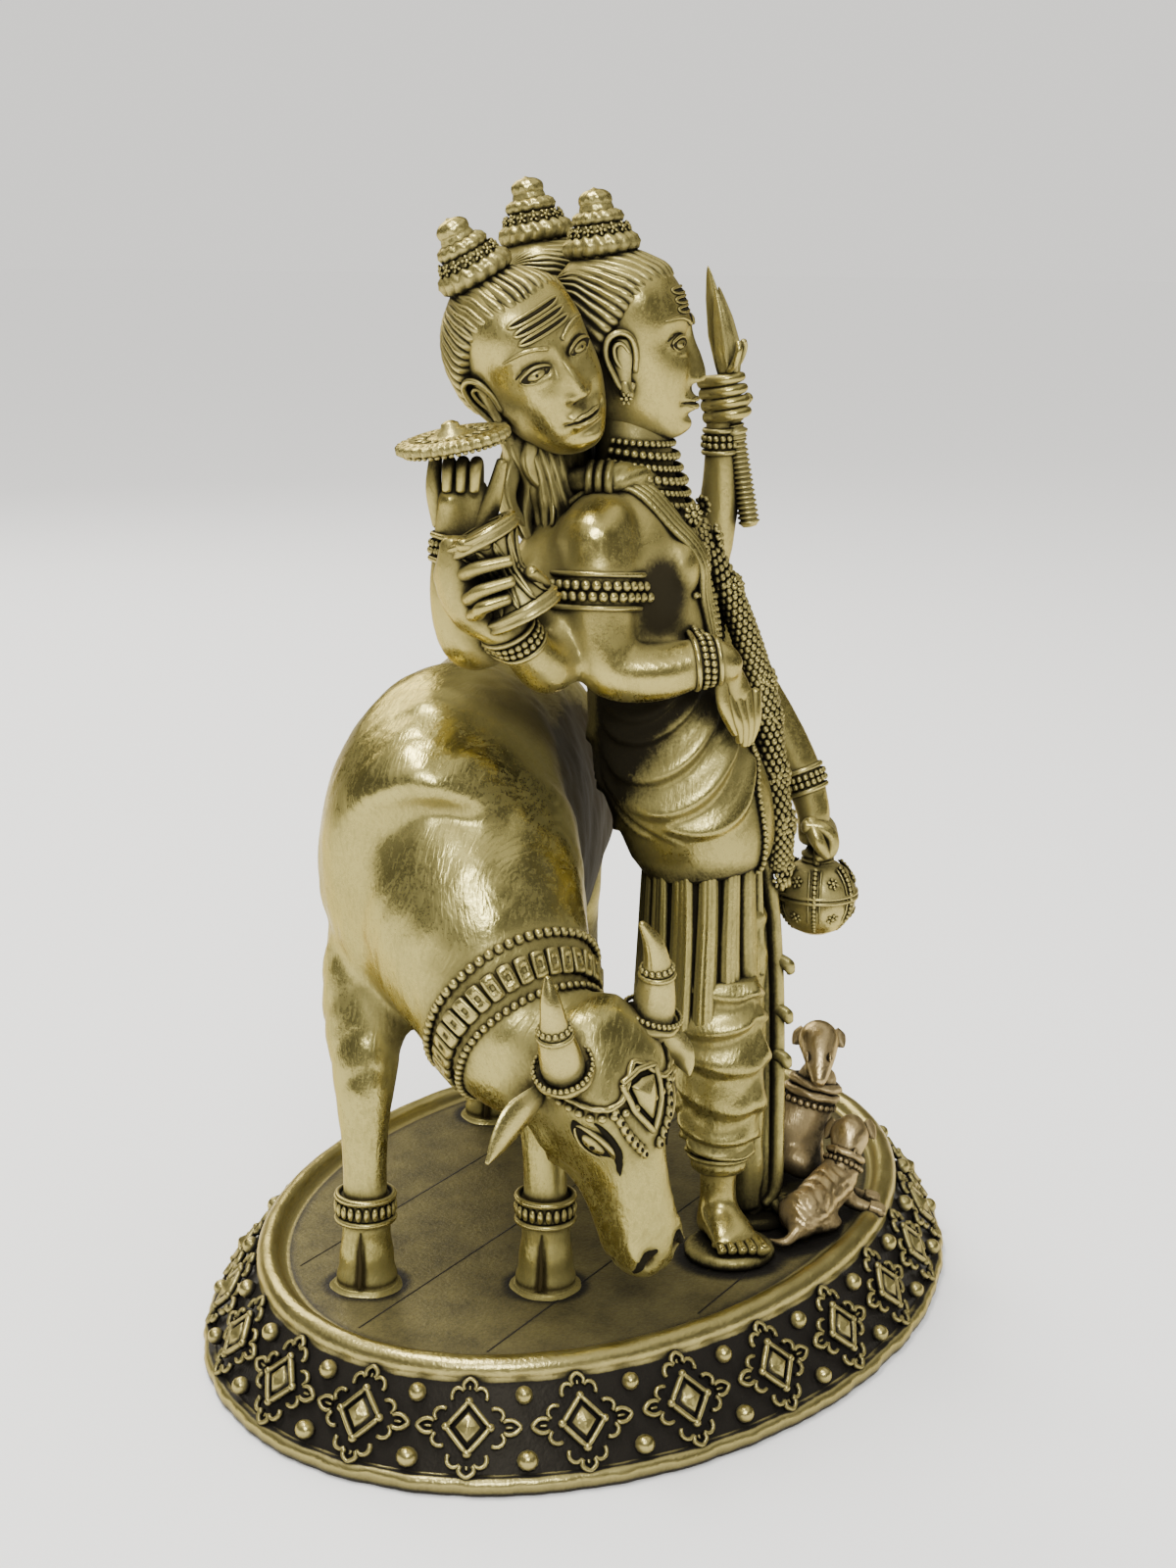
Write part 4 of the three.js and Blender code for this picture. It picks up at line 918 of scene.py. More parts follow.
def cowTrappings(tree):
    # horns, ears, collar, anklets and tail
    mid = cowShape["middle"]
    parts = [*hornAndEar(-1), *hornAndEar(1)]
    # the collar: square plaques with a dot between two rows of beads
    axis, centre = unit(vec(-0.56, -0.62, -0.55)), vec(-25.0, 1.9, 33)
    for offset, lift, size in ((-1.95, 0.28, 0.44), (1.85, 0.24, 0.36)):
        ring = ringRound(tree, centre + axis * offset, axis, 13, lift=lift)
        parts.append(beadRow(np.concatenate([ring, ring[:1]]), size, gap=size * 2.1, closed=True))
    inner, outer = (ringRound(tree, centre + axis * o, axis, 13, lift=0.15) for o in (-1.25, 1.2))
    band = 0.5 * (inner + outer)
    places = evenly(np.concatenate([band, band[:1]]), 1.42)[:-1]
    plaque = [(0.62, 1.12, -0.3), (0.62, 1.12, 0.32), (0.5, 1.0, 0.46), (0.22, 0.3, 0.46), (0.2, 0.27, 0.3),
              (0.02, 0.02, 0.3)]
    u = np.arange(12) / 12 * tau
    square = (lambda a: np.sign(np.cos(a)) * np.abs(np.cos(a)) ** 0.35,
              lambda a: np.sign(np.sin(a)) * np.abs(np.sin(a)) ** 0.35)
    rings = np.stack([np.stack([w * square[0](u), h * square[1](u), 0 * u + z], -1) for w, h, z in plaque])
    shape = closedSkin(rings)
    nearest = snapped(tree, places)[1]
    around = unit(np.roll(places, -1, 0) - np.roll(places, 1, 0))
    normal = unit(nearest - around * np.sum(nearest * around, 1, keepdims=True))
    turns = np.stack([around, np.cross(normal, around), normal], -1)
    parts.append(scattered(shape, places, turns))
    # anklets: upright oval beads between two rims
    for x, y in ((-23.4, 15.75), (-21, 0.65), (18.6, 13.4), (19.4, 4.3)):
        h = cowShape["ankletHeight"]
        a = np.arange(49) / 48 * tau
        ring = lambda r, z: np.stack([x + r * np.cos(a), y + r * np.sin(a), 0 * a + z], -1)
        parts.append(loft([(x, y, h - 1.0, 2.25, 2.25), (x, y, h + 1.0, 2.25, 2.25)], 6, 36, dome=0.02))
        for z in (h - 1.0, h + 1.0):
            parts.append(tube(ring(2.38, z)[:-1], 0.3, 8, closed=True))
        parts.append(scattered(pebble([0.3, 0.3, 0.62], 7, 5), evenly(ring(2.42, h), 0.68)[:-1]))
    # tail with a tuft of locks
    tail = [(22.4, mid, 53, 1.4, 1.4), (25.2, mid, 49, 1.1, 1.1), (25.6, mid, 36, 0.9, 0.9),
            (25.2, mid, 25, 0.9, 0.9)]
    parts.append(loft(tail, 40, 14))
    lockWave = lambda u, v: 1 + 0.14 * np.cos(tau * (u * 7 + v * 1.5))
    parts.append(loft([(25.3, mid, 27, 0.9, 0.9), (25.1, mid, 22.5, 1.8, 1.8), (24.9, mid, 19, 1.3, 1.3),
                       (24.8, mid, 16.5, 0.3, 0.3)], 30, 42, relief=lockWave))
    return joined(parts)


def almondEye(centre, normal, up, long, tall, outline=1.12):
    # On the plane that touches the surface: a dark almond, the eyeball in it with its pupil, and the two
    # lids
    rise = unit(up - normal * (up @ normal))
    frame = np.stack([np.cross(rise, normal), rise, normal])
    onPlane = lambda p, q, out: centre + np.stack(np.broadcast_arrays(p, q, out), -1) @ frame
    t = np.arange(36) / 36 * tau
    p, q = long * np.cos(t), tall * np.sin(t) * (1 - 0.3 * np.cos(t) ** 2)
    pairs = [(closedSkin(np.stack([onPlane(p * k, q * k, tall * out) for k,
                                   out in ((outline, -0.4), (outline - 0.04, 0.06), (0.7, 0.16),
                                           (0.05, 0.18))])), 1)]
    points, faces = ball(16, 10)
    pairs.append(((points * [0.6 * long, 0.66 * tall, 0.42 * tall] @ frame + centre + normal * 0.12 * tall,
                   faces), 0))
    pairs.append((placed(ball(10, 7), centre + normal * 0.46 * tall, scale=0.24 * tall), 1))
    u = np.linspace(-1, 1, 24)
    high = tall * np.sqrt(1.001 - u ** 2) * (1 - 0.3 * u ** 2)
    taper = tall * (1 - 0.6 * u ** 4)
    pairs.append((tube(onPlane(1.08 * long * u, high + 0.08 * tall, tall * (0.3 - 0.28 * u ** 2)),
                       0.25 * taper, 7, normal), 0))
    pairs.append((tube(onPlane(1.04 * long * u, -0.96 * high, tall * (0.22 - 0.2 * u ** 2)), 0.16 * taper, 6,
                       normal), 0))
    return pairs


def cowFaceOrnament(tree):
    # bead chain from horn to horn, a rimmed three-cornered plaque with drops, and almond eyes
    pairs = []
    chain = snapped(tree, curve(onHead([(-6.4, 1.6, -3.2), (-4.9, 3.0, 1.0), (-2.4, 3.2, 2.4), (0, 0.6, 2.4),
                                        (2.4, 3.2, 2.4), (4.9, 3.0, 1.0), (6.4, 1.6, -3.2)])[:, :3]), 0.2)[0]
    pairs.append((ropeRing(chain, 0.26), 0))
    hang = snapped(tree, curve(onHead([(-6.4, 2.4, -3.2), (-4.9, 3.9, 1.0), (-2.9, 4.2, 2.4), (2.9, 4.2, 2.4),
                                       (4.9, 3.9, 1.0), (6.4, 2.4, -3.2)])[:, :3]), 0.2)
    pairs.append((scattered(ball(12, 7), evenly(hang[0], 0.98), scales=0.38), 0))
    sides = headAxes.T
    for s in (-1, 1):
        low = snapped(tree, curve(onHead([(s * 2.7, 3.6, 2.4), (s * 2.0, 6.0, 2.8),
                                          (s * 0.6, 8.4, 3)])[:, :3]), 0.1)[0]
        places = evenly(low, 0.92) + headAxes[1] * 0.35 + headAxes[0] * s * 0.3
        pairs.append((scattered(pebble([0.36, 0.66, 0.34], 12, 9), places, sides), 0))
        places = places + headAxes[2] * 0.3 + headAxes[1] * 0.1
        pairs.append((scattered(pebble([0.15, 0.24, 0.15], 12, 9), places, sides), 1))
    # the plaque: a raised rim, a dark trench and a ridged three-cornered boss
    corners = [(-2.1, 1.4), (0.0, 0.9), (2.1, 1.4), (1.6, 4.2), (0, 7.0), (-1.6, 4.2), (-2.1, 1.4)]
    rim = evenly(onHead([(a, b, 3.4) for a, b in corners])[:, :3], 0.25)
    pairs.append((tube(snapped(tree, rim, 0.32)[0], 0.28, 7, headAxes[2]), 0))
    middle = onHead([(0, 3.4, 3.2)])[:, :3]
    trench = [snapped(tree, middle + (rim - middle) * scale, lift)[0] for scale,
              lift in ((1.0, 0.02), (0.95, 0.16), (0.05, 0.2))]
    pairs.append((closedSkin(np.stack(trench)), 1))
    boss = [snapped(tree, middle + (rim - middle) * scale, lift)[0] for scale,
            lift in ((0.66, 0.1), (0.62, 0.5), (0.34, 0.75), (0.04, 0.85))]
    pairs.append((closedSkin(np.stack(boss)), 0))
    for s in (-1, 1):
        centre, normal = snapped(tree, onHead([(s * 4.6, 7.1, 0.5)])[:, :3], 0.0)
        centre, normal = centre[0], normal[0]
        pairs += almondEye(centre, normal, headAxes[2] - 0.4 * headAxes[1], 2.05, 1.05, 1.3)
        # the long brow groove that runs on down towards the muzzle, laid on the skin as a strip painted dark
        # for the groove's patina and its painted shade
        lids = np.linspace(-1, 1, 30)[:, None]
        toFront = unit(headAxes[2] - normal * (headAxes[2] @ normal))
        flat = np.c_[3.1 * lids + 0.7, 1.75 - 0.7 * lids ** 2 + 0.7 * lids]
        brow, up = snapped(tree, centre + flat[:, :1] * headAxes[1] + flat[:, 1:] * toFront, 0.04)
        across = unit(np.cross(up, unit(np.gradient(brow, axis=0))))
        width = 0.34 * np.sqrt(1 - 0.98 * lids ** 2) * (1 + 0.15 * lids)
        ring = np.stack([brow + across * width * c + up * 0.13 * d for c,
                         d in ((-1, 0), (-0.5, 1), (0.5, 1), (1, 0), (0.5, -1), (-0.5, -1))], 1)
        pairs.append((closedSkin(ring), 1))
        # the nostril, a dark comma
        comma = np.asarray([(1.0, 18.2, 2.2), (1.7, 18.6, 2.0), (2.3, 19.3, 1.6),
                            (2.6, 20.0, 0.9)]) * [s, 1, 1]
        path = snapped(tree, curve(onHead(comma)[:, :3], 24), 0.0)[0]
        pairs.append((loft([(*p, r, r) for p, r in zip(path[::4], (0.22, 0.36, 0.44, 0.42, 0.34, 0.2))], 20,
                           12, dome=1.0), 1))
    return shaded(pairs)


def buildCow():
    # the body with its hooves, then what it wears
    (body, dark), hooves, clefts = cowBody()
    whole = joined([body, hooves, clefts])
    shade = np.concatenate([dark, np.zeros(len(hooves[0])), np.ones(len(clefts[0]))])
    makePiece("cowBody", whole, "cow", hideBrass, dark=shade)
    tree = surfaceTree(body)
    trappings = cowTrappings(tree)
    ornament, ornamentShade = cowFaceOrnament(tree)
    makePiece("cowTrappings", joined([trappings, ornament]), "cow", carvedBrass,
              dark=np.concatenate([np.zeros(len(trappings[0])), ornamentShade]))


buildCow()


# The deity's three heads: one calm, general head, set three times

headShape = {"rows": 98, "columns": 90, "sideTurn": 48.0, "hairRidges": 46, "hairDepth": 0.3}


def headTurn(front, crown):
    # columns across, back and up of a head that faces `front`
    front = unit(vec(*front))
    up = vec(*crown)
    up = unit(up - front * (up @ front))
    return np.stack([np.cross(up, front), -front, up], -1)


def faceSkin():
    # Rings up the head: x = w·sin φ, y = c - d·cos φ, pushed forward by the brow, eyes, nose, lips and
    # chin. Calm, general features: eyes half way up, nose and mouth on the thirds below them.
    stations = [(-7.85, -1.9, 0.25, 0.35, 0.4), (-7.72, -1.75, 1.35, 1.8, 2.0), (-7.1, -1.45, 2.4, 2.75, 3.2),
                (-5.8, -1.1, 3.4, 3.5, 4.2), (-4.2, -0.8, 4.15, 4.05, 4.8), (-2.2, -0.5, 4.7, 4.45, 5.2),
                (0, -0.2, 5.0, 4.7, 5.6), (2.2, 0.1, 5.1, 4.85, 5.8), (4.2, 0.4, 4.85, 4.65, 5.6),
                (5.9, 0.8, 4.0, 3.9, 4.9), (7.2, 1.2, 2.4, 2.4, 3.2), (7.7, 1.3, 0.3, 0.3, 0.4)]
    s = along(stations, np.linspace(0, 1, headShape["rows"]))
    psi = np.linspace(-math.pi, math.pi, headShape["columns"], endpoint=False)
    phi = (psi - 0.45 * np.sin(psi))[None]
    full = 1 + 0.05 * np.sin(2 * phi) ** 2
    z, c, w = (s[:, k][:, None] for k in (0, 1, 2))
    d = np.where(np.cos(phi) > 0, s[:, 3][:, None], s[:, 4][:, None])
    x = w * np.sin(phi) * full
    y = c - d * np.cos(phi) * full
    z = z + 0 * x
    a = np.abs(x)
    push = np.zeros_like(x)
    # nose: a ridge that widens and rises to the tip, wings beside it, and the turn under the tip
    down = np.clip((1.6 - z) / 4.3, 0, 1)
    ridge = 0.2 + 1.0 * down ** 1.2
    push += (ridge * np.exp(-(a / (0.52 + 0.26 * down)) ** 2.2) * smooth(z, -3.3, -2.85)
             * (1 - smooth(z, 0.6, 2.8)))
    push += 0.55 * np.exp(-((a - 0.9) / 0.4) ** 2 - ((z + 2.75) / 0.48) ** 2)
    push += 0.3 * np.exp(-(a / 1.5) ** 2) * smooth(z, -3.6, -1.8) * (1 - smooth(z, -0.8, 1.5))
    push -= 0.3 * np.exp(-((a - 0.48) / 0.2) ** 2 - ((z + 3.2) / 0.18) ** 2)
    # sockets, lids and eyeballs: an almond with the upper lid over the ball
    ex, ez = a - 2.3, z - 0.05 - 0.1 * (a - 2.3)
    push -= 0.55 * np.exp(-(ex / 1.7) ** 2 - ((ez - 0.15) / 1.0) ** 2)
    push -= 0.28 * np.exp(-((a - 0.95) / 0.5) ** 2 - ((z - 0.3) / 0.8) ** 2)
    almond = np.clip(1 - (ex / 1.45) ** 2, 0, 1)
    upper, lower = 0.62 * almond, -0.5 * almond
    inside = smooth(upper - ez, 0, 0.1) * smooth(ez - lower, 0, 0.1) * (almond > 0)
    push += 0.42 * np.sqrt(almond) * np.exp(-(ez / 0.85) ** 2)
    push += 0.26 * np.exp(-((ez - upper) / 0.16) ** 2) * smooth(almond, 0.0, 0.25)
    push += 0.14 * np.exp(-((ez - lower) / 0.13) ** 2) * smooth(almond, 0.0, 0.25)
    push -= 0.16 * np.exp(-((ez - upper - 0.42) / 0.13) ** 2) * smooth(almond, 0.0, 0.4)
    push -= 0.08 * inside
    # brow line, an even arch
    arch = 1.75 + 0.42 * np.sin(np.clip((a - 0.7) / 3.3, 0, 1) * math.pi * 0.8)
    push += 0.17 * np.exp(-((z - arch) / 0.17) ** 2) * smooth(a, 0.4, 0.9) * (1 - smooth(a, 3.7, 4.2))
    push += 0.14 * np.exp(-((z - arch + 0.1) / 0.7) ** 2) * (1 - smooth(a, 3.7, 4.4))
    # cheeks, lips, chin
    push += 0.3 * np.exp(-((a - 2.7) / 1.5) ** 2 - ((z + 2.3) / 1.5) ** 2)
    bow = 0.1 * np.cos(np.clip(a / 0.8, 0, 1) * math.pi)
    part = -4.75 + 0.1 * np.clip(a - 0.9, 0, 2)
    lips = 1 - smooth(a, 1.3, 1.95)
    push += 0.6 * np.exp(-((z + 4.75) / 1.05) ** 2) * np.exp(-(a / 1.9) ** 2)
    push += 0.3 * np.exp(-((z - part - 0.34 - 0.5 * bow) / 0.3) ** 2) * lips
    push += 0.38 * np.exp(-((z - part + 0.42) / 0.34) ** 2) * (1 - smooth(a, 1.0, 1.7))
    push -= 0.3 * np.exp(-((z - part) / 0.1) ** 2) * (1 - smooth(a, 1.7, 2.05))
    push -= 0.2 * np.exp(-((a - 2.05) / 0.25) ** 2 - ((z + 4.65) / 0.3) ** 2)
    push -= 0.14 * np.exp(-(a / 0.26) ** 2) * smooth(z, -4.25, -3.9) * (1 - smooth(z, -3.5, -3.2))
    push -= 0.28 * np.exp(-((z + 5.75) / 0.32) ** 2) * np.exp(-(a / 1.4) ** 2)
    push += 0.75 * np.exp(-(a / 1.45) ** 2 - ((z + 6.7) / 0.95) ** 2)
    front = smooth(np.cos(phi) + 0 * x, 0.05, 0.45)
    dark = (np.exp(-((z - part) / 0.13) ** 2) * (1 - smooth(a, 1.6, 2.0))
            + np.exp(-((ez - upper) / 0.1) ** 2) * smooth(almond, 0.1, 0.4))
    y = y - push * front
    rings = np.stack([x, y, z], -1)
    shade = np.concatenate([(0.5 * dark * front).ravel(), [0, 0]])
    return closedSkin(rings), shade


def hairCap():
    # Strands combed back from the hairline: the direction from the head's middle is carried from the
    # hairline to a whorl at the back, and the distance is that of an egg with ridges of |sin(n·φ/2)|,
    # tucked under at the hairline
    middle, radii = vec(0, 1.2, 1.1), vec(5.75, 6.3, 6.5)
    line = [(0, -4.0, 5.6), (2.4, -3.4, 5.3), (4.2, -1.9, 4.5), (5.2, -0.5, 3.0), (5.6, 0.7, 1.2),
            (5.5, 1.9, -1.2), (4.9, 3.4, -4.0), (3.0, 5.6, -6.0), (0, 6.6, -6.6)]
    half = np.array(line, float)
    both = np.concatenate([half, (half * [-1, 1, 1])[-2:0:-1], half[:1]])
    n, rows = 322, 30
    phi = np.arange(n) / n
    edge = along(both, phi)
    whorl = (vec(0, 6.2, 4.4) + 0.5 * np.stack([np.sin(tau * phi), 0.3 * np.cos(tau * phi),
                                                np.cos(tau * phi)], -1))
    start, end = unit((whorl - middle) / radii), unit((edge - middle) / radii)
    v = np.linspace(0, 1, rows)[:, None, None]
    angle = np.arccos(np.clip(np.sum(start * end, 1), -1, 1))[None, :, None]
    direction = (np.sin((1 - v) * angle) * start[None] + np.sin(v * angle) * end[None]) / np.sin(angle)
    v = v[..., 0]
    count = headShape["hairRidges"]
    swing = ((0.5 * np.sin(v * 9 + 5 * tau * phi[None]) + 0.25 * np.sin(v * 21 + 9 * tau * phi[None]))
             * smooth(1 - v, 0.0, 0.5))
    wave = np.abs(np.sin(math.pi * (count * phi[None]) + swing))
    lift = headShape["hairDepth"] * (wave ** 0.75 - 0.7) * smooth(v, 0.02, 0.25)
    tuck = smooth(v, 0.94, 1.0)
    distance = 1.0 + (lift + 0.2 + 0.15 * bump(v, 0.88, 0.07)) / 6.0 - 0.13 * tuck ** 2
    points = middle + radii * direction * distance[..., None]
    inner = middle + radii * direction[-1:] * 0.72
    dark = 0.45 * (1 - wave) ** 1.5 * np.ones_like(distance)
    shade = np.concatenate([dark.ravel(), np.zeros(n + 2)])
    return closedSkin(np.concatenate([points, inner])), shade


def coil(radius, thick, height, strands, tilt=1.0, sides=18, n=220):
    # a twisted ring of hair round the axis: the ring's thickness swells on strands that lean as they go
    # round
    a = np.arange(n) / n * tau
    u = np.arange(sides) / sides * tau
    swell = 0.84 + 0.22 * np.abs(np.cos((strands * a[:, None] + tilt * u[None]) / 2))
    r = radius + thick * swell * np.cos(u)[None]
    z = height + 0.8 * thick * swell * np.sin(u)[None]
    rings = np.stack([r * np.cos(a)[:, None], r * np.sin(a)[:, None], z], -1)
    return rings.reshape(-1, 3), gridFaces(n + 1, sides) % (n * sides)


def flower(petals=8, reach=1.0):
    # a round middle among petals
    a = np.arange(petals) / petals * tau
    places = np.stack([np.cos(a), np.sin(a), 0 * a], -1) * reach * 0.62
    petal = pebble([reach * 0.36, reach * 0.24, reach * 0.24], 6, 4)
    turns = np.stack([np.stack([np.cos(a), np.sin(a), 0 * a], -1),
                      np.stack([-np.sin(a), np.cos(a), 0 * a], -1),
                      np.tile([0.0, 0.0, 1.0], (petals, 1))], -1)
    return joined([scattered(petal, places, turns), placed(ball(8, 5), (0, 0, 0), scale=reach * 0.36)])


def bun():
    # the knot: a wide twisted coil, a ring of small flowers, a smaller coil and a capped top
    parts = [coil(1.95, 1.3, 1.15, 17, 2.5, 12, 136), coil(1.35, 0.85, 3.35, 13, 2.5, 10, 104)]
    core = [(0.01, -1.2), (2.5, -0.9), (2.7, 0.9), (2.35, 2.3), (1.9, 2.9), (1.5, 3.9), (0.01, 4.2)]
    parts.append(turned(core, 24))
    knob = [(0.05, 3.6), (1.3, 3.75), (1.42, 4.1), (1.3, 4.5), (1.36, 4.7), (1.3, 5.2), (0.85, 5.6),
            (0.3, 5.75), (0.02, 5.9)]
    parts.append(turned(along(knob, np.linspace(0, 1, 24)), 40,
                        relief=lambda u, z: 1 + 0.1 * (np.abs(np.sin(tau * 5 * u + 1.2 * z)) - 0.6)))
    a = np.arange(15) / 15 * tau
    ring = circle(2.5, 2.45, 15)
    out = np.stack([np.cos(a), np.sin(a), 0 * a + 0.35], -1)
    turns = np.stack([frameAlong(d) for d in out])
    parts.append(scattered(flower(5, 0.55), ring, turns))
    return placed(joined(parts), (0, 2.4, 6.8), frameAlong((0, 0.15, 1)))


def ear(side):
    # rim, inner fold and lobe, with a small round earring
    rim = [(4.7, -1.0, -1.9), (4.95, -1.1, -0.4), (5.35, -0.7, 0.9), (5.75, 0.2, 1.3), (5.95, 1.1, 0.7),
           (5.8, 1.3, -0.6), (5.45, 0.75, -2.0), (5.1, 0.1, -3.2), (4.95, -0.5, -3.6), (4.8, -0.9, -2.8)]
    fold = [(5.05, -0.6, -0.4), (5.4, 0.0, 0.4), (5.6, 0.6, 0.1), (5.4, 0.5, -0.9), (5.05, -0.1, -1.8)]
    shell = [(4.9, 0.1, 0.6, 0.8, 0.55), (4.9, 0.1, -0.9, 1.0, 0.42), (4.9, -0.15, -2.4, 0.6, 0.38),
             (4.9, -0.35, -3.4, 0.5, 0.32)]
    parts = [tube(curve(rim, 40), 0.27, 6, (1, 0, 0)), tube(curve(fold, 20), 0.19, 6, (1, 0, 0)),
             loft(shell, 12, 14, (0, 1, 0)),
             loft([(5.0, -0.2, -2.8, 0.45, 0.38), (5.05, -0.4, -3.7, 0.6, 0.4),
                   (5.05, -0.4, -4.1, 0.4, 0.3)], 8, 12, (0, 1, 0))]
    parts.append(placed(flower(6, 0.6), (5.45, -0.4, -4.05), frameAlong((1, -0.2, 0))))
    points, faces = joined(parts)
    if side < 0:
        return points * [-1, 1, 1], faces[:, ::-1]
    return points, faces


def faceLines(tree):
    # Lines laid on the face from the front: brows, eyes with their lids, lips and three level capsules on
    # the forehead
    def onFace(x, z, lift=0.05):
        hits = [tree.ray_cast(Vector((a, -12, b)), Vector((0, 1, 0))) for a, b in np.broadcast(x, z)]
        return np.array([hit[0] + hit[1] * lift for hit in hits])
    pairs = []
    t = np.linspace(0, 1, 26)
    for s in (-1, 1):
        brow = onFace(s * (0.75 + 3.3 * t), 1.75 + 0.6 * np.sin(t * math.pi * 0.8), 0.06)
        pairs.append((tube(brow, 0.19 * (1 - 0.75 * t ** 3), 7, (0, 1, 0)), 0))
        place = tree.ray_cast(Vector((s * 2.3, -12, 0.2)), Vector((0, 1, 0)))
        pairs += almondEye(np.array(place[0]), unit(vec(s * 0.3, -1, 0.0)), vec(0, 0, 1), 1.3, 0.62)
        crease = onFace(s * (0.95 + 2.75 * t), 0.5 + 0.62 * np.sin(t * math.pi), 0.0)
        pairs.append((tube(crease, 0.07, 6, (0, 1, 0)), 1))
    u = np.linspace(-1, 1, 40)
    bow = 0.12 * np.cos(np.clip(np.abs(u) * 2.2, 0, 1) * math.pi)
    pairs.append((tube(onFace(1.45 * u, -4.42 - 0.5 * bow - 0.16 * u ** 2, -0.04), 0.2 * (1 - 0.8 * u ** 4),
                       7, (0, 1, 0)), 0))
    pairs.append((tube(onFace(1.3 * u, -5.06 + 0.24 * u ** 2, -0.05), 0.23 * (1 - 0.8 * u ** 4), 7,
                       (0, 1, 0)), 0))
    pairs.append((tube(onFace(1.6 * u, -4.74 + 0.05 * u ** 2, -0.01), 0.08, 6, (0, 1, 0)), 1))
    for s in (-1, 1):
        pairs.append((placed(ball(8, 5), onFace(vec(s * 0.5), vec(-3.2), 0.0)[0], scale=0.2), 1))
    a = np.arange(48) / 48 * tau
    for z in (2.95, 3.7, 4.45):
        x = 2.5 * np.sign(np.cos(a)) * np.abs(np.cos(a)) ** 0.45
        pairs.append((tube(onFace(x, z + 0.25 * np.sin(a), 0.07), 0.13, 6, (0, 1, 0), closed=True), 0))
        w = np.linspace(-2.2, 2.2, 20)
        pairs.append((tube(onFace(w, z + 0 * w, 0.0), 0.1, 6, (0, 1, 0)), 1))
    return shaded(pairs)


def oneHead():
    # the face with its lines, and what sits round it, each with its darkness
    face, shade = faceSkin()
    lines, lineShade = faceLines(surfaceTree(face))
    hair, hairShade = hairCap()
    rest = joined([hair, bun(), ear(1), ear(-1)])
    restShade = np.zeros(len(rest[0]))
    restShade[:len(hairShade)] = hairShade
    return joined([face, lines]), np.concatenate([shade, lineShade]), rest, restShade


def neckAndLocks():
    # bare neck with three soft folds, hair down the nape, and four loose wavy locks behind each shoulder
    middle = -7.2
    folds = lambda u, v: 1 + 0.03 * (np.abs(np.sin(math.pi * 3 * v)) - 0.6)
    neck = [(middle, -2.6, 71, 5.6, 4.6), (middle - 0.1, -4.0, 76, 3.7, 3.5),
            (middle - 0.2, -3.8, 80.5, 2.9, 3), (middle - 0.2, -3.6, 83, 2.9, 3)]
    strands = lambda u, v: (1 + 0.055
                            * (np.abs(np.sin(math.pi * 24 * u + 1.1 * np.sin(9 * v + 4 * tau * u))) - 0.6)
                            + 0.02 * np.sin(40 * v + 3 * tau * u))
    nape = [(middle, 0.4, 69, 5.6, 2.6), (middle, 1.4, 72, 6.9, 3.3), (middle, 2.4, 76, 7.4, 3.2),
            (middle, 3.6, 82, 8, 3.6), (middle, 3.6, 87, 6, 3.2)]
    parts = [loft(neck, 40, 44, relief=folds), loft(nape, 32, 144, relief=strands)]
    for side in (-1, 1):
        for k, (spread, rear, low, width) in enumerate(((6.2, 4.6, 70.2, 1.3), (7.0, 5.6, 71.6, 1.15),
                                                        (5.4, 5.8, 69.2, 1.2), (6.9, 3.4, 72.6, 0.95))):
            t = np.linspace(0, 1, 40)
            x = middle + side * (spread + 0.5 * np.sin(t * 9 + k * 1.7))
            y = rear + 0.5 * np.cos(t * 8 + k) - 1.8 * t ** 2
            z = 81 + (low - 81) * t
            girth = width * (1 - 0.72 * smooth(t, 0.45, 1)) * smooth(t, -0.2, 0.12)
            path = np.stack([x, y, z], -1)
            tangent = unit(np.gradient(path, axis=0))
            sideways = unit(np.cross(tangent, [0, 1, 0]))
            up = np.cross(sideways, tangent)
            a = np.arange(26) / 26 * tau
            swell = 1 + 0.13 * (np.abs(np.cos(2.5 * a[None] + 3 * t[:, None])) - 0.6)
            r = girth[:, None] * swell
            rings = (path[:, None] + (r * np.cos(a))[..., None] * sideways[:, None]
                     - (0.8 * r * np.sin(a))[..., None] * up[:, None])
            parts.append(closedSkin(rings))
    return joined(parts)


def buildHeads():
    # the same head three times: ahead, and turned to each side
    face, shade, rest, restShade = oneHead()
    turn = math.radians(headShape["sideTurn"])
    places = [((-7.4, -3.7, 87.1), (0, -1, 0), (-0.03, 0.1, 1)),
              ((-14.2, 3.6, 85.9), (-math.sin(turn), -math.cos(turn), 0), (-0.36, 0.3, 0.88)),
              ((0.4, 3.2, 88.2), (math.sin(turn), -math.cos(turn), 0), (0.1, 0.08, 0.99))]
    faces = joined([placed(face, centre, headTurn(front, crown)) for centre, front, crown in places])
    hair = joined([placed(rest, centre, headTurn(front, crown)) for centre, front, crown in places]
                  + [neckAndLocks()])
    dark = np.zeros(len(hair[0]))
    dark[:3 * len(restShade)] = np.tile(restShade, 3)
    makePiece("faces", faces, "deity", polishedBrass, dark=np.tile(shade, 3))
    makePiece("hair", hair, "deity", carvedBrass, dark=dark)


buildHeads()

# The deity's body, dress and limbs

bodyShape = {"middle": -7.2, "skinVoxel": 0.36, "foldHeight": 0.68, "pleatBands": 14}


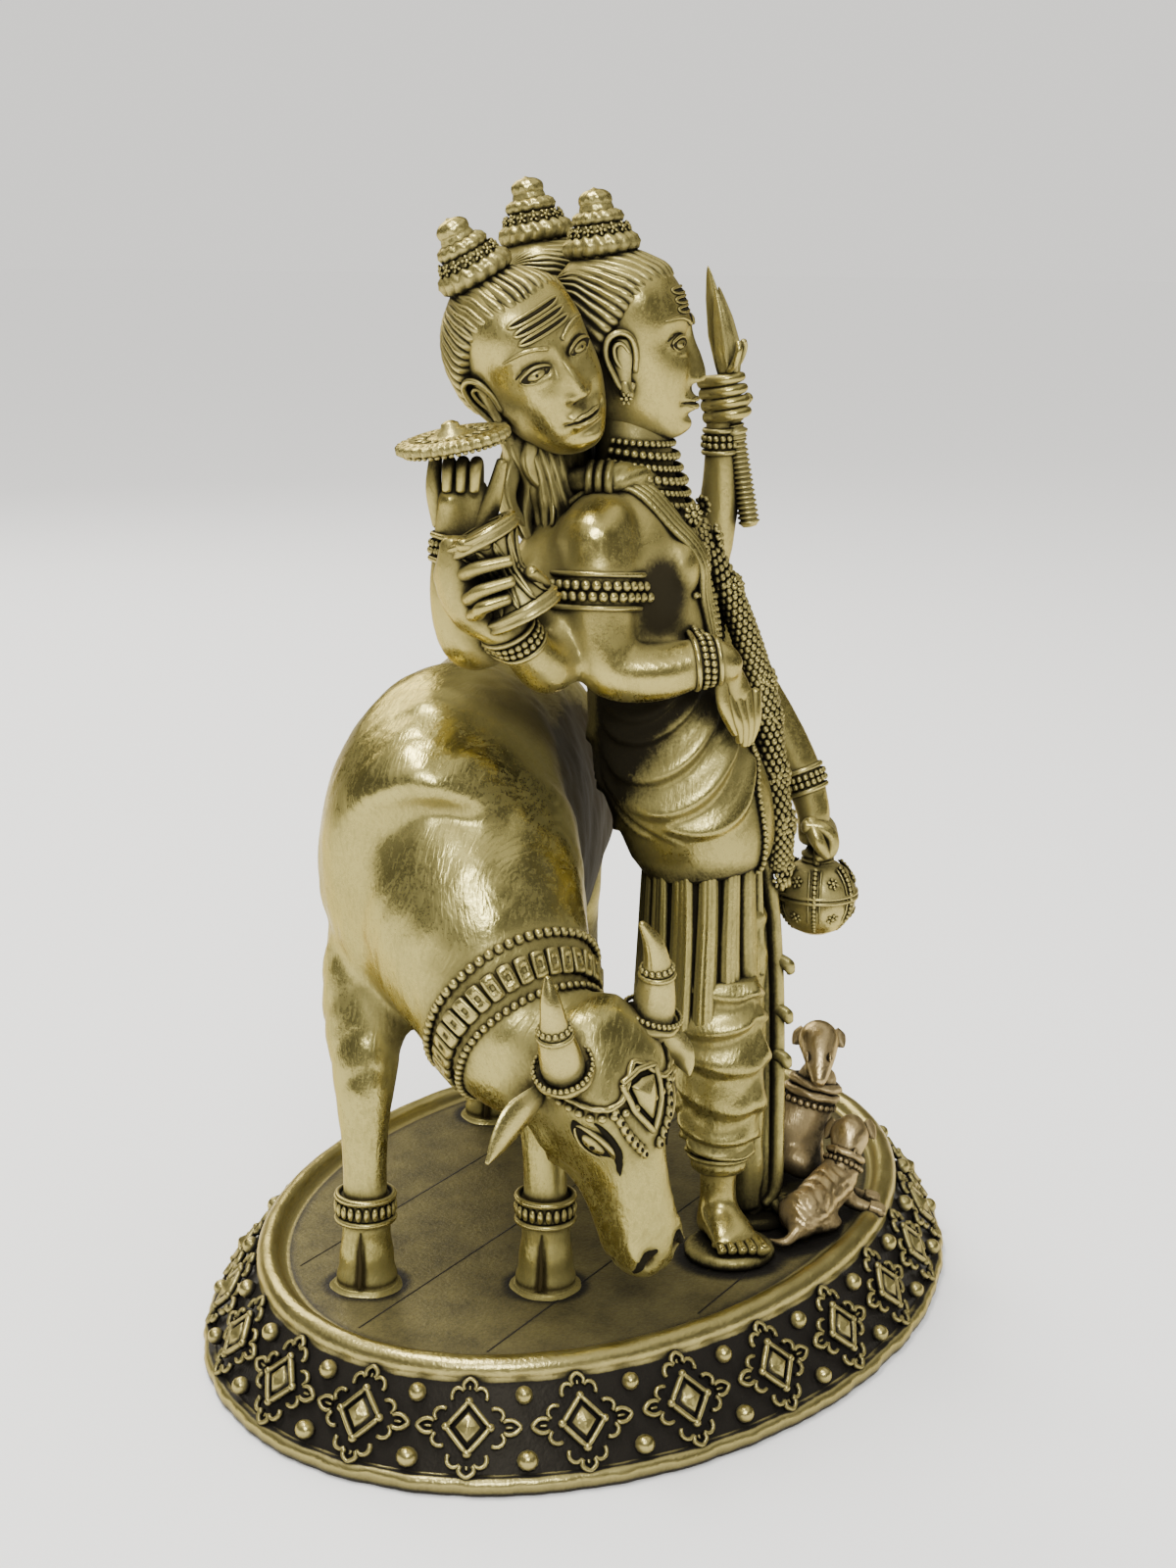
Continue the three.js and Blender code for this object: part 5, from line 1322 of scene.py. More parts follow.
def palmAndFingers(wrist, knuckles, tips, bend, thumb, thick=0.62):
    # a flat palm, four fingers that bend at their middle joint, and a thumb
    a, b = (vec(*p) for p in knuckles)
    c, d = (vec(*p) for p in tips)
    spread = b - a
    half = np.linalg.norm(spread) / 2
    middle = (a + b) / 2
    wrist = vec(*wrist)
    parts = [loft([(*wrist, half * 0.8, 0.95), (*((wrist + middle) / 2), half * 1.15, 0.8),
                   (*middle, half * 1.1, 0.68)], 14, 20, spread)]
    for i in range(4):
        f = i / 3
        base, tip = a + spread * f, c + (d - c) * f
        tip = tip + (tip - base) * 0.14 * (1 - abs(i - 1.4) / 1.6)
        joint = (base + tip) / 2 + vec(*bend)
        parts.append(loft([(*(base - (tip - base) * 0.15), thick, thick),
                           (*joint, thick * 0.95, thick * 0.95),
                           (*tip, thick * 0.78, thick * 0.78)], 16, 14, spread))
    points = [vec(*p) for p in thumb]
    parts.append(loft([(*p, thick * s, thick * s) for p, s in zip(points, (1.2, 1.1, 0.8))], 14, 14,
                      (0.3, 0.2, 1)))
    return parts


def grip(centre, axis, ref, radius, start, sweep, gap, count=4, thick=0.62):
    # fingers laid round a shaft: arcs round the axis, one above the other, from the knuckle to a tapering
    # tip
    turn = frameAlong(axis, ref)
    parts = []
    for i in range(count):
        a = np.radians(np.linspace(start, start + sweep * (1 - 0.06 * abs(i - 1)), 5))
        middle = vec(*centre) + turn[:, 2] * gap * (i - (count - 1) / 2)
        reach = radius * np.array([1.45, 1.05, 1, 1, 0.98])
        path = middle + (np.cos(a) * reach)[:, None] * turn[:, 0] + (np.sin(a) * reach)[:, None] * turn[:, 1]
        parts.append(loft([(*p, thick * s, thick * s) for p, s in zip(path, (1.1, 1.08, 1, 0.95, 0.75))], 22,
                          14, axis))
    return parts


armPaths = {
    "front": [(-10.5, -2.6, 72.6, 2.6, 2.6), (-14.2, -2.3, 72.2, 3.1, 3.2), (-16, -2.4, 68.6, 3, 3.3),
              (-16.8, -2.8, 64.4, 2.6, 2.8), (-17, -3.8, 61.4, 2.5, 2.6), (-16.2, -7.6, 61, 2.3, 2.4),
              (-14.9, -11.6, 62, 1.8, 1.9), (-14.2, -13.2, 61.2, 1.9, 1.5)],
    "drum": [(-12.8, -0.6, 71.5, 3, 3), (-15.2, 0.6, 67, 2.6, 2.8), (-17.4, 0.9, 63, 2.5, 2.6),
             (-19.4, 1.2, 61.8, 2.4, 2.4), (-22, 2.6, 63.8, 1.9, 1.9), (-23.2, 3.6, 66, 1.7, 1.7)],
    "disc": [(-11.8, 1.2, 71, 3, 3), (-14.8, 3.6, 67.2, 2.7, 2.8), (-18.4, 6.4, 63.9, 2.6, 2.6),
             (-20.6, 7.6, 64.2, 2.4, 2.3), (-21.4, 8.2, 67.6, 2.3, 2.2), (-21.6, 8.4, 71.4, 1.7, 1.7),
             (-21.6, 8.4, 75.6, 1.9, 1.2)],
    "trident": [(-1.4, -2.4, 72.6, 3.2, 3.2), (1.8, -3.4, 69.4, 2.8, 3), (3.6, -5.4, 65.6, 2.5, 2.6),
                (4, -8.4, 65.6, 2.2, 2.2), (3.4, -10.2, 72.6, 1.8, 1.8), (3.0, -10.3, 80.4, 1.5, 1.3)],
    "pot": [(-0.8, -3, 71.6, 3.2, 3.2), (2, -4.6, 67.6, 2.8, 3), (3.4, -8.6, 61.4, 2.5, 2.6),
            (3.6, -13.4, 56.4, 2.3, 2.4), (2.8, -18, 49.6, 1.9, 1.9), (2.2, -19.8, 44.6, 1.9, 1.5)],
    "conch": [(-2, 0.6, 71.4, 3, 3), (1.4, 2, 67.4, 2.7, 2.8), (4.6, 2.6, 63.6, 2.6, 2.5),
              (6.4, 2.2, 64.6, 2.4, 2.3), (6.8, 1, 70, 1.7, 1.7), (6.8, 0.6, 73.4, 1.8, 1.3)],
}
discPlace, discAxis = vec(-21.6, 8.3, 79.4), unit(vec(-0.12, 0.17, 1))
drumLow, drumHigh = vec(-23.6, 2, 66.4), vec(-24.4, 5.8, 73.4)
tridentFoot, tridentTip = vec(3.1, -13, 71.2), vec(2.4, -8.9, 93.4)
potPlace = vec(2.2, -20.1, 37.8)


# each foot: where its ankle stands, and the way from there to the toes
feet = ((-10.5, -13, (-4.2, -2.6)), (-3.9, -12.6, (1.2, -5.6)))


def deitySkin():
    # trunk, arms, palms and feet smoothed into one skin; fingers stay crisp
    mid = bodyShape["middle"]
    trunk = [(mid, -6.2, 58, 6.6, 4.6), (mid, -5.8, 63, 8.0, 5.8), (mid, -4.6, 70, 8.8, 5.2),
             (mid, -3.8, 74.6, 6.2, 3.8)]
    parts, fingers = [loft(trunk, 40, 56)], []
    for path in armPaths.values():
        parts.append(loft(path, 56, 28, (1, 0, -0.6)))
    for x in (-15.2, 0.8):
        parts.append(placed(ball(24, 16), (x, -2.0, 71.4), scale=3.3))
    for s in (-1, 1):
        parts.append(placed(pebble([3.6, 1.8, 2.6], 24, 16), (mid + s * 3.9, -8.9, 69.2)))
    hand = palmAndFingers((-14.2, -12.7, 61.8), [(-14.5, -13.3, 58.4), (-13.1, -15.3, 58.6)],
                          [(-13.8, -14.2, 55.1), (-13.1, -15.0, 55.0)],
                            (-0.4, -0.3, 0), [(-14.9, -12.6, 60.4), (-15.1, -13.0, 58.0),
                                              (-14.3, -13.9, 55.8)], 0.5)
    parts.append(hand[0])
    fingers += hand[1:]
    # the hand round the drum: fingers laid over its near side, thumb behind
    parts += [loft([(-23.4, 3.8, 65.2, 1.6, 1.6), (-24.4, 6.4, 67.0, 1.3, 1.8), (-24.6, 7.5, 69.6, 1.0, 2.0),
                    (-24.8, 7.6, 71.6, 0.8, 1.2)], 22, 20)]
    parts.append(loft([(-23.2, 4.2, 65.0, 1.5, 1.5), (-24.6, 6.6, 67.2, 1.5, 1.4),
                       (-25.2, 7.4, 69.8, 1.35, 1.5), (-25.3, 7.5, 72.4, 1.1, 1.2)], 26, 24))
    for y0, z0, y1, z1 in ((7.9, 72.3, 4.6, 72.4), (7.5, 70.1, 2.9, 71.2), (7.1, 68.2, 2.7, 69.6),
                           (6.6, 67.0, 3.0, 68.2)):
        fingers.append(loft([(-25.2, y0 - 0.3, z0 - 0.3, 0.6, 0.6), (-26.35, y0 - 1.2, z0, 0.6, 0.6),
                             (-27.0, (y0 + y1) / 2, (z0 + z1) / 2, 0.56, 0.56),
                             (-26.4, y1, z1, 0.46, 0.46)], 26, 16))
    fingers += [loft([(-22.6, 3.4, 66.6, 0.85, 0.85), (-23.0, 1.0, 68.6, 0.75, 0.75),
                      (-24.9, 1.5, 70.2, 0.55, 0.55)], 20, 14)]
    # the hand under the disc: one finger raised to it, the others folded, the thumb out
    palm = [(-21.6, 7.8, 70.6, 1.5, 1.7), (-21.6, 7.6, 72.6, 1.2, 2.2), (-21.5, 7.5, 75.0, 0.95, 2.4),
            (-21.3, 7.7, 76.6, 0.8, 2.0)]
    parts.append(loft(palm, 24, 26))
    fingers.append(loft([(-21.7, 9.3, 73.4, 0.8, 0.8), (-21.9, 9.9, 76.2, 0.66, 0.66),
                         (-21.7, 9.7, 79.2, 0.5, 0.5)], 20, 14))
    for y in (8.7, 7.6, 6.5):
        bent = [(-21.4, y, 75.6, 0.56, 0.56), (-21.8, y - 0.1, 78.1, 0.54, 0.54),
                (-22.9, y - 0.2, 78.0, 0.5, 0.5), (-22.9, y - 0.1, 76.2, 0.42, 0.42)]
        fingers.append(loft(bent, 22, 14))
    fingers.append(loft([(-21.6, 6.4, 72.4, 1.0, 1.0), (-21.9, 5.2, 75.2, 0.78, 0.78),
                         (-21.9, 4.4, 78.4, 0.46, 0.46)], 22, 16))
    rise = tridentTip - tridentFoot
    hold = tridentFoot + rise * 0.5
    fingers += grip(hold, rise, (0.1, 1, 0), 1.45, 10, 190, 1.02, 4, 0.54)
    parts += [loft([(3.0, -10.3, 80.0, 1.4, 1.2), (2.8, -9.9, 81.8, 1.5, 1.2),
                    (2.7, -9.7, 83.6, 1.2, 0.9)], 14, 20)]
    fingers += [loft([(3.6, -10.6, 80.4, 0.7, 0.7), (4.5, -11.6, 81.2, 0.6, 0.6),
                      (4.0, -12.6, 82.2, 0.45, 0.45)], 16, 14)]
    fingers += grip((2.2, -20.0, 42.9), (1, 0.1, 0), (0, 0.3, 1), 1.35, -20, 230, 1.15)
    parts += [loft([(2.2, -19.6, 45.4, 1.9, 1.3), (2.2, -19.4, 44, 2.0, 1.3),
                    (2.2, -19.2, 42.8, 1.7, 1.0)], 14, 20)]
    fingers += [loft([(0.8, -19.4, 44.8, 0.8, 0.8), (-0.1, -20.2, 43.2, 0.68, 0.68),
                      (0.4, -21, 41.8, 0.5, 0.5)], 16, 14)]
    fingers += grip((6.7, -0.4, 75.2), (0.1, -0.1, 1), (0.2, 1, 0), 1.9, 10, 190, 1.2)
    parts += [loft([(6.8, 0.8, 73, 1.7, 1.3), (6.8, 1.4, 75.2, 1.7, 1.2),
                    (6.8, 1.4, 76.8, 1.4, 0.9)], 14, 20)]
    for x, y, toe in feet:
        parts += bareFoot(x, y, toe)
    return remeshed(joined(parts), bodyShape["skinVoxel"], 5), joined(fingers + [toesSkin()])


def bareFoot(x, y, toe):
    # ankle with its bones, heel and instep
    ahead = unit(vec(toe[0], toe[1], 0))
    across = vec(-ahead[1], ahead[0], 0)
    parts = [loft([(x, y, 16.4, 1.7, 1.8), (x, y, 13.6, 1.5, 1.65), (x, y, 10.4, 1.9, 1.9)], 22, 28)]
    foot = [(x - ahead[0] * 1.2, y - ahead[1] * 1.2, 10.5, 1.5, 1.0), (x, y, 11.2, 1.9, 1.7),
            (x + toe[0] / 2, y + toe[1] / 2, 10.8, 2.15, 1.35),
            (x + toe[0] * 0.82, y + toe[1] * 0.82, 10.15, 2.3, 0.8)]
    parts.append(loft(foot, 34, 32, across))
    for s in (-1, 1):
        parts.append(placed(ball(14, 8), (x + across[0] * s * 1.35, y + across[1] * s * 1.35, 12.2),
                            scale=0.6))
    for k in (-1.2, -0.4, 0.4, 1.2):
        tendon = [(*(vec(x, y, 11.6) + across * k * 0.5 + ahead * 0.6), 0.3, 0.3),
                  (*(vec(x, y, 10.75) + across * k * 1.25 + vec(*toe, 0) * 0.75), 0.3, 0.3)]
        parts.append(loft(tendon, 12, 10))
    return parts


def toesSkin():
    # five toes a foot, each with a joint, a round pad and a nail
    parts = []
    nail = pebble([0.27, 0.34, 0.12], 10, 6)
    for x, y, toe in feet:
        ahead = unit(vec(toe[0], toe[1], 0))
        across = vec(-ahead[1], ahead[0], 0)
        inner = 1 if toe[0] < 0 else -1
        for i in range(5):
            slide = across * inner * (1.72 - 0.86 * i)
            start = vec(x, y, 10.1) + vec(*toe, 0) * 0.7 + slide
            reach = 2.35 - 0.27 * i
            thick = 0.66 if i == 0 else 0.5 - 0.02 * i
            tip = start + ahead * reach
            path = [(*start, thick, thick),
                    (*(start + ahead * reach * 0.55 + vec(0, 0, 0.16)), thick * 0.86, thick * 0.9),
                    (tip[0], tip[1], 9.95, thick * 1.04, thick * 0.92)]
            parts.append(loft(path, 20, 18, across))
            turn = np.stack([across, ahead, vec(0, 0, 1)], -1)
            parts.append(placed(nail, tip + vec(0, 0, thick * 0.85 - 0.14), turn, thick / 0.5))
    return joined(parts)


def crescents(u, v, folds):
    # the sum of crescent folds (turn, height, half-span, sag, width, rise, lean): steep below, soft above
    # the crest
    total = np.zeros_like(u)
    for turn, height, span, sag, width, rise, lean in folds:
        t = (np.mod(u - turn + 0.5, 1) - 0.5) / span
        line = v - (height + sag * t ** 2 + lean * t)
        body = np.where(line > 0, np.exp(-(line / (1.9 * width)) ** 2), np.exp(-(line / (0.75 * width)) ** 2))
        total += rise * body * smooth(1 - np.abs(t), 0.0, 0.45)
    return total


def shawlSkin():
    # The cloth round belly and hips: nested U-folds that hang from the forearm and climb steeply to the
    # front
    mid = bodyShape["middle"]
    stations = [(mid, -11.0, 42.6, 6.3, 5.7), (mid, -10.6, 44.8, 7.3, 6.6), (mid, -9.8, 47.6, 7.8, 7.0),
                (mid, -8.3, 51.5, 8.0, 7.0), (mid, -6.9, 56, 7.9, 6.6), (mid, -6.1, 61, 8.2, 6.1),
                (mid, -5.8, 64.5, 7.4, 5.6)]
    near = [(0.49, 0.70, 0.12, 0.10, 0.018, 0.9, 0.02), (0.50, 0.64, 0.15, 0.13, 0.02, 1.1, 0.03),
            (0.52, 0.53, 0.18, 0.19, 0.028, 1.4, 0.06), (0.545, 0.41, 0.19, 0.23, 0.034, 1.4, 0.08),
            (0.585, 0.29, 0.17, 0.24, 0.036, 1.1, 0.08), (0.41, 0.42, 0.08, 0.0, 0.02, 0.8, -0.18),
            (0.365, 0.46, 0.07, 0.0, 0.018, 0.8, -0.17), (0.66, 0.62, 0.05, 0.06, 0.02, 0.7, 0.1)]
    far = [(0.5 - f[0], *f[1:6], -f[6]) for f in near]
    back = [(0.25, h, 0.11, 0.05, 0.018, 0.7, 0) for h in (0.36, 0.50, 0.64, 0.78)]
    scale = bodyShape["foldHeight"] / 7.5

    def relief(u, v):
        soft = 0.014 * np.sin(tau * (2 * u + 1.3 * v)) + 0.008 * np.sin(tau * (5 * u - 2 * v))
        return 1 + scale * crescents(u, v, near + far + back) + soft * smooth(v, 0.1, 0.3) - 0.03
    return loft(stations, 136, 150, relief=relief, dome=0.16)


def shawlShade(points):
    # painted shade: the side turned to the cow is painted dark, and the shawl is darker towards its lowest
    # edge
    y, z = points[:, 1], points[:, 2]
    low = 0.35 * (1 - smooth(z, 42.8, 44.6))
    return np.maximum(low, 0.6 * smooth(y + 0.45 * (z - 50), -8.5, -3.0) * (1 - smooth(y, -3, 0)))


def skirtSkin():
    # Flat hanging strips over an underskirt painted dark, for the patina and the painted shade in the gaps
    # between the strips. A strip widens a little downwards, is 1 - |s|⁶ thick across its width s, and has
    # grooves at |s| = 0.74 and 0.22; each hangs down the skirt's cone and ends at its own height
    mid = bodyShape["middle"]
    n = bodyShape["pleatBands"]
    under = [(mid, -10.6, 44.5, 5.2, 4.4), (mid, -10.6, 36, 5.7, 4.9), (mid, -10.6, 29.4, 6.0, 5.2),
             (mid, -10.6, 27.6, 6.0, 5.2)]
    ribs = lambda u, v: 1 + 0.035 * (np.abs(np.sin(math.pi * 2 * n * u + math.pi / 4)) - 0.5)
    points, faces = loft(under, 20, 112, relief=ribs, dome=0.02)
    # the underskirt between the strips: patina and painted shade
    parts, shades = [(points, faces)], [np.full(len(points), 0.85)]
    v = np.linspace(0, 1, 36)[:, None]
    for k in range(n):
        a = (k + 0.5) / n * tau
        lowest = (29.6 + 3.2 * max(0.0, -math.sin(a)) ** 3 * (1 if math.cos(a) < 0.6 else 0.7)
                  + 0.55 * (k % 3 - 1))
        z = 44.5 - (44.5 - lowest) * v
        half = 0.185 + 0.025 * v + 0.012 * math.sin(2.3 * k)
        s = np.concatenate([np.linspace(-1, 1, 24), np.linspace(1, -1, 10)])[None]
        top = np.concatenate([np.ones(24), np.zeros(10)])[None]
        rounded = (1 - np.abs(s) ** 6)
        groove = 0.1 * (bump(np.abs(s), 0.74, 0.09) + 0.7 * bump(np.abs(s), 0.22, 0.07))
        out = 0.15 + top * (0.5 * rounded - groove + 0.1 * np.sin(k + 3 * s)) - (1 - top) * 0.2
        grow = (44.5 - z) / 15.0
        rx, ry = 5.4 + 0.7 * grow + out, 4.55 + 0.7 * grow + out
        angle = a + half * s + 0.02 * np.sin(4 * v + k)
        rings = np.stack([mid + rx * np.cos(angle), -10.6 + ry * np.sin(angle),
                          z + 0 * angle + 0.25 * s ** 2 * smooth(v, 0.8, 1)], -1)
        strip = closedSkin(rings[:, ::-1])
        parts.append(strip)
        shades.append(np.concatenate([(0.55 * np.clip(groove / 0.1, 0, 1) * top).ravel(), [0, 0]]))
    return joined(parts), np.concatenate(shades)


def dhotiSkin(x, y, lean):
    # The cloth gathered round a leg: diagonal crescents that wrap from the outside down to the inside
    cloth = [(x, y + 0.8, 33.5, 2.5, 3.8), (x, y + 0.8, 30.5, 2.9, 4.2), (x, y + 0.3, 27, 3.2, 4.2),
             (x, y, 23, 3.15, 3.8), (x, y, 19.5, 2.75, 3.3), (x, y, 17.6, 2.4, 2.8), (x, y, 16.4, 2.1, 2.3)]
    folds = []
    for k in range(6):
        h = 0.93 - 0.155 * k
        folds.append((0.50 + 0.03 * math.sin(k * 2.1), h, 0.24, 0.09, 0.034, 1.25 + 0.2 * math.sin(k * 1.7),
                      lean * 0.05))
        folds.append((0.84 + 0.03 * math.sin(k * 1.3), h - 0.07, 0.2, 0.07, 0.032, 1.0, -lean * 0.03))
        folds.append((0.16 + 0.03 * math.cos(k * 1.9), h - 0.03, 0.22, 0.06, 0.032, 1.0, lean * 0.02))

    def relief(u, v):
        fine = 0.012 * np.sin(tau * (9 * v + 2 * np.cos(tau * u))) + 0.02 * np.sin(tau * (2 * u + v))
        return 1 + 0.17 * crescents(u, 1 - v, folds) + fine - 0.05
    parts = [loft(cloth, 86, 84, relief=relief, dome=0.05)]
    gathers = lambda u, v: 1 + 0.035 * np.abs(np.sin(math.pi * 15 * u)) - 0.02
    parts.append(loft([(x, y, 17.2, 2.1, 2.3), (x, y, 16.8, 2.3, 2.5), (x, y, 16.0, 2.25, 2.45),
                       (x, y, 15.6, 1.9, 2.1)], 10, 90, relief=gathers, dome=0.02))
    hem = circle(1, 17.1, 40) * [2.42, 2.6, 1] + vec(x, y, 0)
    parts.append(tube(hem, 0.26, 8, closed=True))
    return parts


def ribbon(stations, ridges=3, rings=80, sides=48, across=(1, 0, 0)):
    # a flat scarf: an ellipse whose broad sides carry `ridges` lengthwise ridges
    relief = lambda u, v: (1 + 0.13 * np.abs(np.sin(math.pi * ridges * np.cos(tau * u)))
                           * np.abs(np.sin(tau * u)))
    return loft(stations, rings, sides, across, relief)


def dressSkin():
    # skirt, leg cloths and scarf ends
    mid = bodyShape["middle"]
    skirt, skirtShade = skirtSkin()
    parts = [skirt, *(part for foot, lean in zip(feet, (1, -1)) for part in dhotiSkin(*foot[:2], lean))]
    # two flat scarf ends that hang straight side by side in front, with small tabs at their edge and a
    # hooked end
    for dy, low in ((0.6, 9.6), (-0.62, 10.6)):
        end = [(-6.2, -14.4 + dy, 45.0, 0.5, 0.52), (-5.8, -15.9 + dy, 40.0, 0.6, 0.55),
               (-5.2, -16.5 + dy, 34, 0.64, 0.56), (-4.9, -16.8 + dy, 28, 0.64, 0.56),
               (-4.8, -17.0 + dy, 20, 0.64, 0.56), (-4.8, -17.1 + dy, low + 2.4, 0.64, 0.56),
               (-5.0, -16.8 + dy, low + 0.6, 0.6, 0.6), (-5.5, -16.2 + dy, low - 0.1, 0.5, 0.5)]
        parts.append(ribbon(end, 2, 80, 26, (0.1, 1, 0)))
    for h in (33.2, 28.6, 24.4):
        parts.append(loft([(-5.2, -17.2, h + 0.5, 0.6, 0.4), (-5.4, -18.2, h, 0.62, 0.44),
                           (-5.3, -18.5, h - 0.7, 0.4, 0.34)], 12, 12, (0, 0, 1)))
    parts.append(loft([(-5.2, -17.6, 10.6, 0.5, 0.5), (-5.6, -18.4, 9.9, 0.46, 0.44),
                       (-5.5, -19.2, 10.4, 0.36, 0.36), (-5.3, -19.3, 11.2, 0.2, 0.2)], 30, 14))
    inner = [(mid, -13, 38, 3, 3), (mid, -13.2, 33, 2.8, 3), (-6.6, -14.2, 24, 2.2, 2.2),
             (-6.2, -14.6, 16, 1.6, 2.0), (-5.9, -15, 10.5, 0.9, 1.3)]
    parts.append(loft(inner, 60, 60,
                      relief=lambda u, v: 1 + 0.09 * np.abs(np.sin(math.pi * 6 * u + 2 * v))
                      + 0.05 * np.sin(v * 30 + tau * u)))
    whole = joined(parts)
    shade = np.zeros(len(whole[0]))
    shade[:len(skirtShade)] = skirtShade
    # painted shade: the back of hips and skirt, close to the cow, is painted dark
    y, z = whole[0][:, 1], whole[0][:, 2]
    return whole, np.maximum(shade, 0.5 * smooth(y, -5, 1.5) * smooth(z, 18, 36))


def scarfSkin():
    # the folded cloth round the body, the roll round the neck and its wrapped knot on the near shoulder
    mid = bodyShape["middle"]
    body = shawlSkin()
    parts = []
    roll = [(-11.6, 1.8, 76.2, 0.9, 0.8), (-12.9, -1.6, 76.2, 1.2, 1.1), (-11.4, -4.8, 76.2, 1.3, 1.15),
            (mid, -7.2, 74.6, 1.0, 0.9), (-3.0, -4.8, 76.2, 1.3, 1.15), (-1.5, -1.6, 76.2, 1.2, 1.1),
            (-2.8, 1.8, 76.2, 0.9, 0.8)]
    twist = lambda u, v: 1 + 0.2 * (np.abs(np.sin(math.pi * (4 * u + 9 * v))) - 0.5)
    parts.append(loft(roll, 110, 44, (0, 0, 1), twist))
    a = np.arange(30) / 30 * tau
    for y in (-2.9, -2.1, -1.3):
        parts.append(tube(np.stack([-12.75 + 1.45 * np.cos(a), y + 0 * a, 76.2 + 1.4 * np.sin(a)], -1), 0.36,
                          8, (0, 1, 0), closed=True))
    rest = joined(parts)
    return joined([body, rest]), np.concatenate([shawlShade(body[0]), np.zeros(len(rest[0]))])


def sashes(skinTree):
    # four cords of the scarf's edge, side by side from each shoulder down across the chest
    parts = []
    mid = bodyShape["middle"]
    for side in (-1, 1):
        for k in range(4):
            line = [(mid + side * 6.2, 2.0 + 0.3 * k, 73), (mid + side * 6.2, -1.8, 77),
                    (mid + side * 6.0, -6.2 - 0.35 * k, 75), (mid + side * 5.4, -9.6 - 0.5 * k, 70.2),
                    (mid + side * 4.4, -12 - 0.5 * k, 65), (mid + side * 3.6, -12.6 - 0.55 * k, 60)]
            line = [(p[0] - side * 0.55 * k, p[1], p[2]) for p in line]
            path = snapped(skinTree, curve(line, 70), 0.22)[0]
            for _ in range(14):
                path[1:-1] = 0.5 * path[1:-1] + 0.25 * (path[:-2] + path[2:])
            parts.append(tube(path, 0.36 * (1 - 0.25 * np.linspace(0, 1, len(path))), 8, (side, 0, 0.2)))
    return joined(parts)


def armpitShade(points):
    # the deep hollows between arm and chest, above the forearm: a soft oval on each side
    x, y, z = points.T
    oval = np.sqrt(((y + 7.6) / 2.6) ** 2 + ((z - 67.4) / 4.6) ** 2)
    side = smooth(np.abs(x - bodyShape["middle"]), 4.2, 6.2)
    return 0.62 * (1 - smooth(oval, 0.3, 1.1)) * side


# What the hands hold

def discSkin():
    # a wheel with teeth and a beaded rim under it, and a stepped hub on top
    teeth = lambda u, h: 1 + np.where(np.abs(h - 0.55) < 0.5, 0.035 * np.sign(np.sin(tau * 30 * u)), 0)
    profile = [(0.02, 0.02), (3.6, 0.05), (3.9, 0.2), (4.35, 0.22), (4.5, 0.35), (4.5, 0.8), (4.35, 0.95),
               (4.0, 0.98), (3.8, 1.1), (3.4, 1.12), (3.1, 0.98), (2.0, 0.98), (1.8, 1.12), (1.3, 1.2),
               (1.2, 1.5), (0.8, 1.6), (0.7, 1.95), (0.3, 2.15), (0.02, 2.2)]
    parts = [turned(profile, 150, relief=teeth)]
    parts.append(scattered(ball(7, 4), circle(3.95, 0.12, 44), scales=0.26))
    b = np.arange(16) / 16 * tau
    petal = pebble([0.55, 0.26, 0.16], 7, 4)
    outwards = np.stack([np.cos(b), np.sin(b), 0 * b], -1)
    onwards = np.stack([-np.sin(b), np.cos(b), 0 * b], -1)
    turns = np.stack([outwards, onwards, np.tile([0.0, 0.0, 1.0], (16, 1))], -1)
    parts.append(scattered(petal, circle(2.5, 1.0, 16), turns))
    return placed(joined(parts), discPlace, frameAlong(discAxis))


def drumSkin():
    # An hourglass between two ridged rims, drawn together by a zigzag cord that lies on it
    length = np.linalg.norm(drumHigh - drumLow)
    half = length / 2
    edge = half - 1.25
    waist = lambda z: 1.55 + 1.0 * (np.abs(z) / edge) ** 1.25
    h = np.linspace(-edge, edge, 30)
    body = np.stack([waist(h), h], -1)
    rim = [(2.5, edge), (3.05, edge + 0.05), (3.25, edge + 0.3), (3.05, edge + 0.55), (3.1, edge + 0.7),
           (3.3, edge + 0.95), (3.1, edge + 1.2), (2.6, edge + 1.25), (2.5, edge + 1.05), (0.02, edge + 1.05)]
    low = [(r, -z) for r, z in reversed(rim)]
    parts = [turned(np.concatenate([low, body, rim]), 72)]
    n = 11
    t = np.arange(12 * n * 2) / (12 * n * 2)
    z = edge * (2 / math.pi) * np.arcsin(np.sin(tau * n * t))
    r = waist(z) + 0.08
    cord = np.stack([r * np.cos(tau * t), r * np.sin(tau * t), z], -1)
    parts.append(tube(cord, 0.21, 6, closed=True))
    for height, radius, size in ((edge + 1.15, 2.0, 0.1), (edge + 1.1, 2.35, 0.12)):
        for sign in (-1, 1):
            parts.append(tube(circle(radius, sign * height, 60), size, 6, closed=True))
    return placed(joined(parts), (drumLow + drumHigh) / 2, frameAlong(drumHigh - drumLow))


def bladeSkin(line, widths, thick, hint):
    # a leaf blade: width·cos u across and thickness·(1 - |cos u|)^0.8 out, with a groove on each side of
    # the ridge
    path = curve(line, 40)
    w = np.interp(np.linspace(0, 1, 40), np.linspace(0, 1, len(widths)), widths)
    tangent = unit(np.gradient(path, axis=0))
    side = unit(np.asarray(hint, float) - tangent * (tangent @ np.asarray(hint, float))[:, None])
    front = np.cross(tangent, side)
    u = np.arange(24) / 24 * tau
    edge = np.cos(u)
    ridge = np.sign(np.sin(u)) * (1 - np.abs(np.cos(u))) ** 0.8
    groove = 1 - 0.35 * np.exp(-((np.abs(edge) - 0.35) / 0.16) ** 2)
    t = (thick * np.clip(w / max(widths), 0.15, 1))[:, None]
    rings = (path[:, None] + (w[:, None] * edge)[..., None] * side[:, None]
             + (t * ridge * groove)[..., None] * front[:, None])
    return closedSkin(rings)


